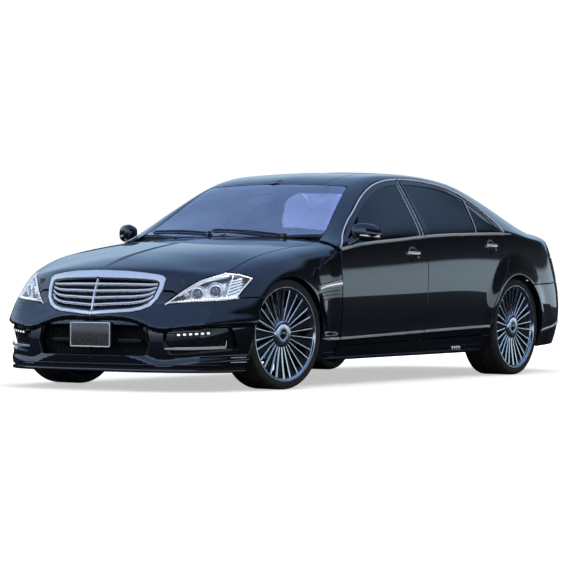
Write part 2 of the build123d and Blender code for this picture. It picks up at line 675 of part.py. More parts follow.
with BuildPart() as front_frame:
    box((1111, 330, 380), (2330, 430, 500))
    box((1111, -430, 380), (2330, -330, 500))
    box((2330, -560, 230), (2380, 560, 700))
keep("front_frame", front_frame.part)

with BuildPart() as front_axle:
    box((1650, -420, 190), (1820, 420, 240))
    box((1700, -760, 200), (1770, 760, 235))
    for side in (1, -1):
        with Locations((FRONT_AXLE_X, side * KINGPIN_Y, 200)):
            Cylinder(24, 35, align=(Align.CENTER, Align.CENTER, Align.MIN))
        with Locations((FRONT_AXLE_X, side * 500, 235)):
            Cylinder(50, 500, align=(Align.CENTER, Align.CENTER, Align.MIN))
keep("front_axle", front_axle.part)

with BuildPart() as rear_axle:
    box((-1530, -400, 240), (-1330, 400, 330))
    box((-1470, -640, 300), (-1390, 640, 400))
    for side in (1, -1):
        with Locations(Location((REAR_AXLE_X, side * 640, TYRE_RADIUS), (-90 * side, 0, 0))):
            Cylinder(60, 50, align=(Align.CENTER, Align.CENTER, Align.MIN))
            Cylinder(SPINDLE_RADIUS, REAR_WHEEL_Y - 640 + 30, align=(Align.CENTER, Align.CENTER, Align.MIN))
keep("rear_axle", rear_axle.part)

with BuildPart() as knuckle:
    with Locations((FRONT_AXLE_X, KINGPIN_Y, 241)):
        Cylinder(26, 230, align=(Align.CENTER, Align.CENTER, Align.MIN))
    with Locations(Location((FRONT_AXLE_X, KINGPIN_Y, TYRE_RADIUS), (-90, 0, 0))):
        Cylinder(55, 20, align=(Align.CENTER, Align.CENTER, Align.MIN))
        Cylinder(SPINDLE_RADIUS, FRONT_WHEEL_Y - KINGPIN_Y + 30, align=(Align.CENTER, Align.CENTER, Align.MIN))
# ---------------------------------------------------------------- wheels and steering
def turned(solid, side):
    """A straight-ahead front piece swung about its kingpin to the rest position."""
    return solid.rotate(Axis((FRONT_AXLE_X, side * KINGPIN_Y, 0), (0, 0, 1)), REST_STEER)


keep("front_knuckle_left", turned(knuckle.part, 1))
keep("front_knuckle_right", turned(mirrored(knuckle.part), -1))


def rim_part(width):
    """A wheel at the origin: axle along Y, outer face towards +Y, with hub and brake disc."""
    half = width / 2
    with BuildPart() as rim:
        with BuildSketch(Plane.YZ):
            with BuildLine():
                Polyline((-half + 4, 290), (-half + 12, 290), (-half + 16, 276), (half - 30, 282),
                         (half - 18, RIM_RADIUS), (half - 6, RIM_RADIUS), (half - 6, 292), (half - 30, 272),
                         (-half + 16, 268), (-half + 4, 280), close=True)
            make_face()
        revolve(axis=Axis.Y)
        with BuildSketch(Plane.XZ.offset(-(half - 62))):
            Circle(95)
            with PolarLocations(0, 20):
                with Locations((186, 0)):
                    Rectangle(183, 26)
        extrude(amount=-40)
        with Locations(Location((0, 5, 0), (-90, 0, 0))):
            Cylinder(62, half - 27, align=(Align.CENTER, Align.CENTER, Align.MIN))
        with Locations(Location((0, 12, 0), (-90, 0, 0))):
            Cylinder(190, 28, align=(Align.CENTER, Align.CENTER, Align.MIN))
        with Locations(Location((0, 0, 0), (-90, 0, 0))):
            Cylinder(SPINDLE_RADIUS + 0.05, 40, align=(Align.CENTER, Align.CENTER, Align.MIN),
                     mode=Mode.SUBTRACT)
    return rim.part


def tyre_part(width):
    """The tyre that fits the wheel, seated half a millimetre off the rim."""
    half = width / 2
    with BuildPart() as tyre:
        with BuildSketch(Plane.YZ):
            with BuildLine():
                Polyline((-half + 12.6, 290.5), (-half + 16.4, 276.5), (half - 30.3, 282.5),
                         (half - 18.6, RIM_RADIUS + 0.5), (half - 4, RIM_RADIUS + 0.5), (half, 325),
                         (half - 12, 345), (half - 35, TYRE_RADIUS), (-half + 35, TYRE_RADIUS),
                         (-half + 12, 345), (-half, 325), (-half + 3, 290.5), close=True)
            make_face()
        revolve(axis=Axis.Y)
    return tyre.part


for kind, solid in (("rim", rim_part(FRONT_TYRE_WIDTH)), ("tyre", tyre_part(FRONT_TYRE_WIDTH))):
    left = Pos(FRONT_AXLE_X, FRONT_WHEEL_Y, TYRE_RADIUS) * solid
    keep(f"{kind}_front_left", turned(left, 1))
    keep(f"{kind}_front_right", turned(mirrored(left), -1))

for kind, solid in (("rim", rim_part(REAR_TYRE_WIDTH)), ("tyre", tyre_part(REAR_TYRE_WIDTH))):
    left = Pos(REAR_AXLE_X, REAR_WHEEL_Y, TYRE_RADIUS) * solid
    keep(f"{kind}_rear_left", left)
    keep(f"{kind}_rear_right", mirrored(left))


def liner(axle_x, inner_y):
    """An arch liner over a wheel."""
    with BuildSketch(Plane.XZ.offset(-inner_y)) as band:
        with Locations((axle_x, TYRE_RADIUS)):
            Circle(406)
            Circle(400, mode=Mode.SUBTRACT)
        with Locations((axle_x, 0)):
            Rectangle(1000, 600, mode=Mode.SUBTRACT)
    extrude(band.sketch, amount=-(855 - inner_y))


with BuildPart() as arch_liners:
    liner(FRONT_AXLE_X, 455)
    liner(REAR_AXLE_X, 560)
    mirror(about=Plane.XZ)
keep("arch_liners", arch_liners.part)

# ---------------------------------------------------------------- inside
with BuildPart() as front_seat:
    box((170, 140, 330), (690, 660, 500))
    with BuildSketch(Plane.XZ.offset(-150)):
        with BuildLine():
            Polyline((260, 480), (120, 480), (-60, 1060), (-95, 1080), (-120, 1220), (-30, 1230), (20, 1100),
                     (60, 1060), close=True)
        make_face()
    extrude(amount=-500)
with BuildPart() as front_seats:
    add(front_seat.part)
    mirror(about=Plane.XZ)
keep("front_seats", front_seats.part)

with BuildPart() as rear_seat:
    box((-960, -690, 330), (-420, 690, 510))
    with BuildSketch(Plane.XZ.offset(-690)):
        with BuildLine():
            Polyline((-820, 490), (-960, 490), (-1180, 1000), (-1210, 1130), (-1130, 1140), (-1080, 1010),
                     close=True)
        make_face()
    extrude(amount=1380)
keep("rear_seat", rear_seat.part)

with BuildPart() as dashboard:
    with BuildSketch(Plane.XZ.offset(-730)):
        with BuildLine():
            Polyline((995, 640), (860, 640), (790, 820), (800, 900), (860, 935), (995, 935), close=True)
        make_face()
    extrude(amount=1460)
keep("dashboard", dashboard.part)

COLUMN = Location((705, STEERING_WHEEL_Y, 885), (0, 90 + COLUMN_TILT, 0))

with BuildPart() as steering_wheel:
    with Locations(COLUMN):
        Torus(178, 15)
        Cylinder(50, 40)
        Box(350, 40, 16)
        Cylinder(22, 70, align=(Align.CENTER, Align.CENTER, Align.MIN))
keep("steering_wheel", steering_wheel.part)

# ---------------------------------------------------------------- mirrors, plates, exhaust
with BuildPart() as door_mirror:
    box((840, 925, 935), (925, 1053, 1080))
    fillet(door_mirror.edges(), 24)
    box((880, 880, 945), (915, 930, 975))
both_sides("door_mirror", door_mirror.part)

with BuildPart() as front_plate:
    box((2606, -PLATE_WIDTH / 2, 275), (2612, PLATE_WIDTH / 2, 275 + PLATE_HEIGHT))
    with Locations(*[Location((2606, side * PLATE_HOLES / 2, 410), (0, 90, 0)) for side in (1, -1)]):
        Hole(3.2, 20)
keep("front_plate", front_plate.part)

with BuildPart() as rear_plate:
    box((-2600, -PLATE_WIDTH / 2, 725), (-2594, PLATE_WIDTH / 2, 725 + PLATE_HEIGHT))
    with Locations(*[Location((-2597, side * PLATE_HOLES / 2, 860), (0, 90, 0)) for side in (1, -1)]):
        Hole(3.2, 20)
keep("rear_plate", rear_plate.part)

with BuildPart() as half_exhaust:
    box((-2400, 380, 230), (-2000, 640, 360))
    with Locations(Location((-2400, TAILPIPE_Y, TAILPIPE_Z), (0, -90, 0))):
        Cylinder(TAILPIPE_RADIUS, 190, align=(Align.CENTER, Align.CENTER, Align.MIN))
    with Locations(Location((1000, 60, 160), (0, -90, 0))):
        Cylinder(28, 2900, align=(Align.CENTER, Align.CENTER, Align.MIN))
    box((-2000, 32, 240), (-1900, 640, 300))
    box((-1930, 32, 140), (-1880, 88, 300))
with BuildPart() as exhaust:
    add(half_exhaust.part)
    mirror(about=Plane.XZ)
keep("exhaust", exhaust.part)

if __name__ == "__main__":
    os.makedirs("parts", exist_ok=True)
    for name, solid in parts.items():
        export_step(solid, f"parts/{name}.step")
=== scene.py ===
"""Luxury sedan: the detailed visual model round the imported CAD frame. Shapes are drawn in millimetres."""
import math

import bmesh
import bpy
import numpy as np
from mathutils import Matrix, Vector
from mathutils.bvhtree import BVHTree
from mathutils.geometry import delaunay_2d_cdt


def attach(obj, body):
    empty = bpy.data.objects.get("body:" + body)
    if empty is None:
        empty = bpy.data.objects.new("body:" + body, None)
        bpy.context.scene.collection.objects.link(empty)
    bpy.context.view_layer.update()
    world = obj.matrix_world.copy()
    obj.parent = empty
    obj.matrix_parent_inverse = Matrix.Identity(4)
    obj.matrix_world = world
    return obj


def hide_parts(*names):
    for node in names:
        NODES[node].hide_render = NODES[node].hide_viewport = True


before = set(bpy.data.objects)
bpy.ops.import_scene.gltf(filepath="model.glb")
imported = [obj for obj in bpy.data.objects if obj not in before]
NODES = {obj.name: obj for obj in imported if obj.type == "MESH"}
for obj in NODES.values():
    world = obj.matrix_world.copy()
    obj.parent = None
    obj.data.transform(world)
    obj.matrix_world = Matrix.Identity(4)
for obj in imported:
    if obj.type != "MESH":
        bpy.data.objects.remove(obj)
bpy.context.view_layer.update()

MM = 0.001

# ------------------------------------------------------------ body surface (rows in millimetres)
BOTTOM = [(2615, 850, 150), (2100, 872, 150), (1735, 880, 160), (1000, 862, 170), (0, 860, 175),
          (-1000, 862, 180), (-1430, 872, 185), (-2000, 860, 200), (-2615, 830, 225)]
LOW = [(2615, 880, 262), (2100, 905, 270), (1735, 912, 290), (1000, 908, 300), (0, 905, 305),
       (-1000, 908, 320), (-1430, 915, 330), (-2000, 905, 330), (-2615, 875, 340)]
WIDE = [(2615, 890, 420), (2100, 922, 430), (1735, 928, 470), (1000, 930, 480), (0, 936, 490),
        (-1000, 934, 500), (-1430, 932, 500), (-2000, 920, 500), (-2615, 888, 490)]
UPPER = [(2615, 880, 560), (2100, 918, 570), (1735, 926, 640), (1000, 932, 670), (0, 938, 690),
         (-1000, 934, 710), (-1430, 926, 710), (-2000, 905, 690), (-2615, 860, 640)]
SHOULDER = [(2615, 840, 665), (2300, 858, 660), (2100, 885, 680), (1735, 903, 785), (1000, 915, 830),
            (0, 924, 865), (-1000, 920, 885), (-1430, 905, 890), (-2000, 870, 880), (-2615, 800, 840)]
CREST = [(2615, 800, 760), (2400, 775, 742), (2200, 805, 738), (2060, 825, 765), (1900, 838, 815),
         (1735, 848, 848), (1400, 866, 890), (1000, 872, 925)]
RIDGE = [(2615, 720, 772), (2400, 690, 775), (2200, 690, 765), (2060, 695, 795), (1900, 702, 840),
         (1735, 712, 872), (1400, 735, 918), (1000, 745, 966)]
HOOD_SIDE = [(2615, 420, 775), (2400, 400, 800), (2200, 395, 835), (2060, 395, 862), (1900, 400, 890),
             (1735, 405, 915), (1400, 410, 954), (1000, 415, 985)]
HOOD_SPINE = [(2615, 0, 777), (2400, 0, 805), (2200, 0, 846), (2060, 0, 872), (1900, 0, 899),
              (1735, 0, 923), (1400, 0, 961), (1000, 0, 990)]
BELT = [(1150, 905, 890), (1000, 903, 905), (600, 900, 945), (0, 897, 988), (-700, 893, 1018),
        (-1300, 878, 1030), (-1600, 868, 1020), (-1850, 850, 1000), (-2100, 825, 985), (-2615, 750, 950)]
GLASS_LOW = [(1150, 872, 905), (1000, 868, 945), (731, 866, 1000), (449, 866, 1035), (0, 862, 1055),
             (-700, 858, 1075), (-1100, 850, 1080), (-1300, 835, 1078), (-1600, 820, 1058),
             (-1850, 815, 1020), (-2100, 800, 1003), (-2615, 720, 975)]
GLASS_HIGH = [(1150, 850, 915), (1000, 832, 960), (731, 800, 1065), (449, 760, 1165), (139, 735, 1220),
              (-201, 730, 1236), (-700, 730, 1240), (-1035, 738, 1215), (-1300, 755, 1170),
              (-1600, 780, 1095), (-1850, 785, 1035), (-2100, 775, 1015), (-2615, 690, 985)]
RAIL = [(1150, 830, 925), (1000, 796, 975), (731, 742, 1120), (449, 655, 1285), (139, 600, 1390),
        (-201, 588, 1420), (-500, 592, 1422), (-854, 600, 1398), (-1100, 603, 1362), (-1304, 612, 1310),
        (-1500, 640, 1240), (-1705, 695, 1140), (-1853, 735, 1072), (-1960, 745, 1043),
        (-2100, 735, 1032), (-2615, 650, 1005)]
EDGE = [(1150, 790, 935), (1000, 735, 990), (731, 660, 1142), (449, 580, 1315), (139, 545, 1412),
        (-201, 540, 1435), (-500, 540, 1437), (-854, 540, 1416), (-1100, 540, 1382), (-1304, 545, 1328),
        (-1500, 560, 1255), (-1705, 600, 1158), (-1853, 640, 1090), (-1960, 650, 1062),
        (-2100, 640, 1052), (-2615, 560, 1035)]
ROOF_SIDE = [(1150, 400, 950), (1000, 380, 1034), (731, 340, 1180), (449, 310, 1338), (300, 305, 1392),
             (139, 300, 1424), (-201, 300, 1450), (-500, 300, 1456), (-854, 300, 1440),
             (-1100, 300, 1401), (-1304, 300, 1341), (-1500, 310, 1262), (-1705, 330, 1170),
             (-1853, 345, 1100), (-1960, 350, 1073), (-2100, 350, 1064), (-2615, 310, 1050)]
SPINE = [(1150, 0, 961), (1000, 0, 1046), (731, 0, 1196), (449, 0, 1352), (300, 0, 1402),
         (139, 0, 1432), (-201, 0, 1458), (-500, 0, 1464), (-854, 0, 1448), (-1100, 0, 1408),
         (-1304, 0, 1347), (-1500, 0, 1268), (-1705, 0, 1176), (-1853, 0, 1104), (-1960, 0, 1077),
         (-2100, 0, 1067), (-2615, 0, 1053)]
NOSE_ENDS = [2603, 2612, 2608, 2590, 2550, 2505, 2455, 2330, 2250]
TAIL_ENDS = [-2590, -2608, -2615, -2605, -2580, -2560, -2548, -2540, -2525, -2500, -2460, -2450]
REACH = 1150.0  # how far the section parameter runs on round the nose or the tail
AXLES = FRONT_AXLE, REAR_AXLE = 1735.0, -1430.0
HUB_Z = 353.0
ARCH_RADIUS = 392
ARCH_RISE_FRONT, ARCH_RISE_REAR = 366, 378
REST_STEER = math.radians(8)  # the front wheels rest turned to the car's right
STEER_AXIS_Y = 770  # the line that a front wheel steers about


def natural(xs, ys):
    """Natural cubic curve through the points, as a function of an array."""
    order = np.argsort(xs)
    xs, ys = np.array(xs, float)[order], np.array(ys, float)[order]
    n, h = len(xs), np.diff(xs)
    a, b = np.eye(n), np.zeros(n)
    for i in range(1, n - 1):
        a[i, i - 1:i + 2] = h[i - 1], 2 * (h[i - 1] + h[i]), h[i]
        b[i] = 6 * ((ys[i + 1] - ys[i]) / h[i] - (ys[i] - ys[i - 1]) / h[i - 1])
    m = np.linalg.solve(a, b)

    def at(x):
        x = np.asarray(x, float)
        i = np.clip(np.searchsorted(xs, x) - 1, 0, n - 2)
        t0, t1 = xs[i + 1] - x, x - xs[i]
        return ((m[i] * t0 ** 3 + m[i + 1] * t1 ** 3) / (6 * h[i])
                + (ys[i] / h[i] - m[i] * h[i] / 6) * t0 + (ys[i + 1] / h[i] - m[i + 1] * h[i] / 6) * t1)
    return at


def spline_weights(s, n):
    """Clamped uniform cubic B-spline weights at s for n control rows."""
    s = np.clip(s, 0, 1 - 1e-12)
    knots = np.concatenate([[0] * 3, np.linspace(0, 1, n - 2), [1] * 3])
    w = np.zeros((len(s), n + 3))
    for i in range(n + 3):
        if knots[i] < knots[i + 1]:
            w[:, i] = (s >= knots[i]) & (s < knots[i + 1])
    for k in range(1, 4):
        new = np.zeros_like(w)
        for i in range(n + 3 - k):
            a, b = knots[i + k] - knots[i], knots[i + k + 1] - knots[i + 1]
            if a > 0:
                new[:, i] += (s - knots[i]) / a * w[:, i]
            if b > 0:
                new[:, i] += (knots[i + k + 1] - s) / b * w[:, i + 1]
        w = new
    return w[:, :n]


def smooth(t):
    t = np.clip(t, 0, 1)
    return t * t * (3 - 2 * t)


def flare(p):
    """Extra width round the wheel arches, in millimetres."""
    widest = np.zeros(len(p))
    for axle in AXLES:
        reach = np.hypot(p[:, 0] - axle, p[:, 2] - HUB_Z)
        widest = np.maximum(widest, 26 * (1 - smooth((reach - 378) / 165)))
    return widest * np.clip((p[:, 2] - 150) / 200, 0.45, 1) * np.clip((p[:, 1] - 700) / 150, 0, 1)


def prow(p):
    """How far the front draws back beside the grille, in millimetres."""
    size = np.interp(p[:, 2], [400, 500, 545, 640, 705, 760, 840], [0, 52, 60, 42, 26, 14, 0])
    return size * smooth(p[:, 1] / 430) * smooth((840 - p[:, 1]) / 340) * smooth((p[:, 0] - 2080) / 160)


class Skin:
    """One half of the body: w runs along the car and then round its end, s from the sill up.

    The higher a row's squareness, the boxier the end is in plan.
    """

    def __init__(self, rows, start, ends, squareness, way, length, sweep):
        self.start, self.way, self.length, self.n = start, way, length, len(rows)
        self.rows = []
        fan = np.linspace(0, np.pi / 2, 721)
        for row, end, square in zip(rows, ends, squareness):
            fy, fz = (natural([p[0] for p in row], [p[k] for p in row]) for k in (1, 2))
            x = start + (end - start) * np.sin(fan) ** (2 / square)
            p = np.stack([x, fy(x) * np.cos(fan) ** (2 / square), fz(x)], 1)
            d = np.concatenate([[0], np.cumsum(np.linalg.norm(np.diff(p, axis=0), axis=1))])
            self.rows.append((fy, fz, d / d[-1], p))
        w, s = np.meshgrid(np.linspace(*sweep, 150), np.linspace(0, 1, 71), indexing="ij")
        self.guess = np.stack([w.ravel(), s.ravel()], 1)
        self.guess_at = self.plain(self.guess[:, 0], self.guess[:, 1])

    def plain(self, w, s):
        w, s = np.asarray(w, float), np.asarray(s, float)
        u = np.clip((w - self.start) * self.way / REACH, 0, 1)
        bent = u > 0
        weights = spline_weights(s, self.n)
        out = np.zeros((len(w), 3))
        for k, (fy, fz, d, p) in enumerate(self.rows):
            c = np.stack([w, fy(w), fz(w)], 1)
            for a in range(3):
                c[bent, a] = np.interp(u[bent], d, p[:, a])
            out += weights[:, k:k + 1] * c
        out[:, 1] += flare(out)
        out[:, 0] -= prow(out)
        return out

    def slopes(self, f, w, s):
        hw, hs = 1.0, 1.0 / self.length
        w = np.clip(w, *sorted((self.start + self.way * REACH - self.way * hw, -self.way * 9999)))
        s = np.clip(s, hs, 1 - hs)
        return (f(w + hw, s) - f(w - hw, s)) / (2 * hw), (f(w, s + hs) - f(w, s - hs)) / (2 * hs)

    def plain_normal(self, w, s):
        pw, ps = self.slopes(self.plain, w, s)
        n = np.cross(ps, pw)
        return n / np.maximum(np.linalg.norm(n, axis=1, keepdims=True), 1e-9)

    def at(self, w, s):
        """The skin with its creases, in millimetres."""
        p = self.plain(w, s)
        d = relief(p)
        if np.any(d):
            p = p + d[:, None] * self.plain_normal(w, s)
        return p

    def normal(self, w, s):
        pw, ps = self.slopes(self.at, w, s)
        n = np.cross(ps, pw)
        return n / np.maximum(np.linalg.norm(n, axis=1, keepdims=True), 1e-9)

    def locate(self, view, points, low=0.0, high=1.0):
        """(w, s) of the places that a view sees at the points."""
        points = np.asarray(points, float).reshape(-1, 2)
        if view == "ws":
            return points.copy()
        seen = VIEWS[view]
        allowed = (self.guess[:, 1] >= low) & (self.guess[:, 1] <= high)
        allowed &= ENDS_ONLY.get(view, lambda w: w > -9999)(self.guess[:, 0])
        guess, at = self.guess[allowed], seen(self.guess_at[allowed])
        ws = np.array([guess[np.argmin(((at - q) ** 2).sum(1))] for q in points])
        limit = sorted((self.start + self.way * REACH, -self.way * 9999))
        for _ in range(12):
            now = seen(self.plain(ws[:, 0], ws[:, 1]))
            miss = points - now
            dw, ds = -0.5 * self.way, 0.5 / self.length * np.where(ws[:, 1] > 0.5, -1, 1)
            jw = (seen(self.plain(ws[:, 0] + dw, ws[:, 1])) - now) / dw
            js = (seen(self.plain(ws[:, 0], ws[:, 1] + ds)) - now) / ds[:, None] / self.length
            a, b, c = (jw * jw).sum(1) + 1e-3, (jw * js).sum(1), (js * js).sum(1) + 1e-3
            e, f = (jw * miss).sum(1), (js * miss).sum(1)
            det = a * c - b * b
            step_w, step_s = (c * e - b * f) / det, (a * f - b * e) / det
            ws[:, 0] = np.clip(ws[:, 0] + np.clip(step_w, -60, 60), *limit)
            ws[:, 1] = np.clip(ws[:, 1] + np.clip(step_s, -60, 60) / self.length, 0, 1)
        return ws


def polar(x0, z0, radius):
    """A view along the car's width in which lines from one point below the skin run straight out."""
    return lambda p: np.stack([radius * np.arctan2(p[:, 0] - x0, p[:, 2] - z0), p[:, 1]], 1)


VIEWS = {
    "side": lambda p: p[:, [0, 2]],
    "plan": lambda p: p[:, :2],
    "nose": lambda p: p[:, 1:3],
    "tail": lambda p: p[:, 1:3],
    "over_nose": polar(1700.0, 0.0, 1080.0),
    "over_tail": polar(-2250.0, 850.0, 300.0),
}
ENDS_ONLY = {"nose": lambda w: w > 2250, "tail": lambda w: w < -2330}


NOSE_CREASE = natural([0, 294, 400, 497, 575, 653, 760, 857, 937],
                      [462, 456, 425, 396, 402, 412, 422, 429, 434])


def relief(p):
    """Height of the creases and hollows over the plain skin, in millimetres."""
    x, y, z = p.T
    nose = smooth((x - 2060) / 60) * (z < 560)
    under = NOSE_CREASE(np.clip(y, 0, 937)) - z
    lip = 7 * smooth(1 - np.abs(under + 4) / 60) * (under < 0) + 7 * (under >= 0)
    out = nose * (lip - 24 * smooth(under / 26) + 17 * smooth((under - 195) / 45))
    side = (np.abs(x) < 1150) & (y > 600)
    low = LOW_CREASE(np.clip(x, -1150, 1150))
    drop = low - z
    edge_x = np.interp(z, [p[0] for p in VENT_EDGE], [p[1] for p in VENT_EDGE], left=0, right=0)
    out -= (13 * (y > 600) * smooth((edge_x - x) / 16) * smooth((x - 1083) / 120) * smooth((z - 335) / 25)
            * smooth((870 - z) / 40))
    out += side * (5 * smooth(1 - np.abs(drop) / 55) - 9 * smooth(drop / 40) * smooth(1 - (drop - 90) / 60))
    return out


VENT_EDGE = [(330, 1240), (346, 1290), (382, 1297), (535, 1320), (670, 1410),
             (734, 1440), (762, 1400), (862, 1130)]
LOW_CREASE = natural([-1150, -956, 0, 1044, 1150], [372, 366, 344, 318, 314])


FRONT = Skin([BOTTOM, LOW, WIDE, UPPER, SHOULDER, CREST, RIDGE, HOOD_SIDE, HOOD_SPINE],
             2000.0, NOSE_ENDS, [2.9, 2.9, 2.9, 2.4] + [2.0] * 5, 1, 1500.0, (900, 3150))
CABIN = Skin([BOTTOM, LOW, WIDE, UPPER, SHOULDER, BELT, GLASS_LOW, GLASS_HIGH, RAIL, EDGE, ROOF_SIDE, SPINE],
             -1750.0, TAIL_ENDS, [3.4] * 12, -1, 2000.0, (1150, -2900))


# ------------------------------------------------------------ panels cut from the skin
def dense(points, step):
    """The run of points with extra ones on its longer pieces."""
    out = [np.array(points[0], float)]
    for a, b in zip(points[:-1], points[1:]):
        a, b = np.array(a, float), np.array(b, float)
        count = max(1, int(np.ceil(np.linalg.norm(b - a) / step)))
        out += [a + (b - a) * k / count for k in range(1, count + 1)]
    return np.array(out)


def soften(loop, radius, angle=28):
    """The closed loop with its corners rounded."""
    n = len(loop)
    ahead = np.roll(loop, -1, 0) - loop
    length = np.linalg.norm(ahead, axis=1)
    t = np.concatenate([[0], np.cumsum(length)])
    total = t[-1]
    unit = ahead / np.maximum(length, 1e-9)[:, None]
    before = np.roll(unit, 1, 0)
    turn = np.degrees(np.arccos(np.clip((unit * before).sum(1), -1, 1)))
    corners = [i for i in range(n) if turn[i] > angle]
    if not corners or radius <= 0:
        return loop

    def at(d):
        d %= total
        i = min(np.searchsorted(t, d, side="right") - 1, n - 1)
        return loop[i] + unit[i] * (d - t[i])
    reach = []
    for k, i in enumerate(corners):
        gap_a = (t[i] - t[corners[k - 1]]) % total or total
        gap_b = (t[corners[(k + 1) % len(corners)]] - t[i]) % total or total
        reach.append(min(radius, 0.45 * gap_a, 0.45 * gap_b))
    out = []
    for k, i in enumerate(corners):
        a, b, c = at(t[i] - reach[k]), loop[i], at(t[i] + reach[k])
        steps = 3 if reach[k] < 5 else 6
        for u in np.linspace(0, 1, steps + 1):
            out.append((1 - u) ** 2 * a + 2 * u * (1 - u) * b + u * u * c)
        j, stop = (i + 1) % n, corners[(k + 1) % len(corners)]
        span = (t[stop] - t[i]) % total or total
        while j != stop:
            d = (t[j] - t[i]) % total
            if reach[k] + 1 < d < span - reach[(k + 1) % len(corners)] - 1:
                out.append(loop[j])
            j = (j + 1) % n
    return np.array(out)


def inside(points, loop):
    """Which points are within the closed loop."""
    x, y = points[:, 0:1], points[:, 1:2]
    x1, y1 = loop[:, 0], loop[:, 1]
    x2, y2 = np.roll(x1, -1), np.roll(y1, -1)
    crosses = ((y1 > y) != (y2 > y)) & (x < (x2 - x1) * (y - y1) / np.where(y2 == y1, 1e-9, y2 - y1) + x1)
    return crosses.sum(1) % 2 == 1


def area(loop):
    x, y = loop[:, 0], loop[:, 1]
    return 0.5 * (x * np.roll(y, -1) - np.roll(x, -1) * y).sum()


class Chart:
    """Flat coordinates on a skin: a view, or w against s stretched to millimetres."""

    def __init__(self, skin, view="ws", low=0.0, high=1.0):
        self.skin, self.view, self.low, self.high = skin, view, low, high

    def ws(self, q):
        if self.view == "ws":
            return np.stack([q[:, 0], q[:, 1] / self.skin.length], 1)
        return self.skin.locate(self.view, q, self.low, self.high)

    def flat(self, view, points, low, high, step):
        """Chart coordinates of a run of points that another view sees."""
        if view == "ws":
            run = dense([(w, s * self.skin.length) for w, s in points], step)
            ws = np.stack([run[:, 0], run[:, 1] / self.skin.length], 1)
        else:
            ws = self.skin.locate(view, dense(points, step), low, high)
        if self.view == "ws":
            return np.stack([ws[:, 0], ws[:, 1] * self.skin.length], 1)
        return VIEWS[self.view](self.skin.plain(ws[:, 0], ws[:, 1]))

    def at(self, q):
        ws = self.ws(q)
        return self.skin.at(ws[:, 0], ws[:, 1])

    def frame(self, q):
        """Places, the two slopes and the outward normals."""
        p = self.at(q)
        if self.view == "ws":
            ws = self.ws(q)
            pw, ps = self.skin.slopes(self.skin.at, ws[:, 0], ws[:, 1])
            a, b = pw, ps / self.skin.length
        else:
            h = 2.0
            a = (self.at(q + [h, 0]) - p) / h
            b = (self.at(q + [0, h]) - p) / h
        return p, a, b, unit(np.cross(a, b))

    def facing(self):
        """1 where the cross product of the slopes points out of the body, else -1."""
        return -1 if self.view in ("ws", "side") else 1


def unit(v):
    return v / np.maximum(np.linalg.norm(v, axis=-1, keepdims=True), 1e-9)


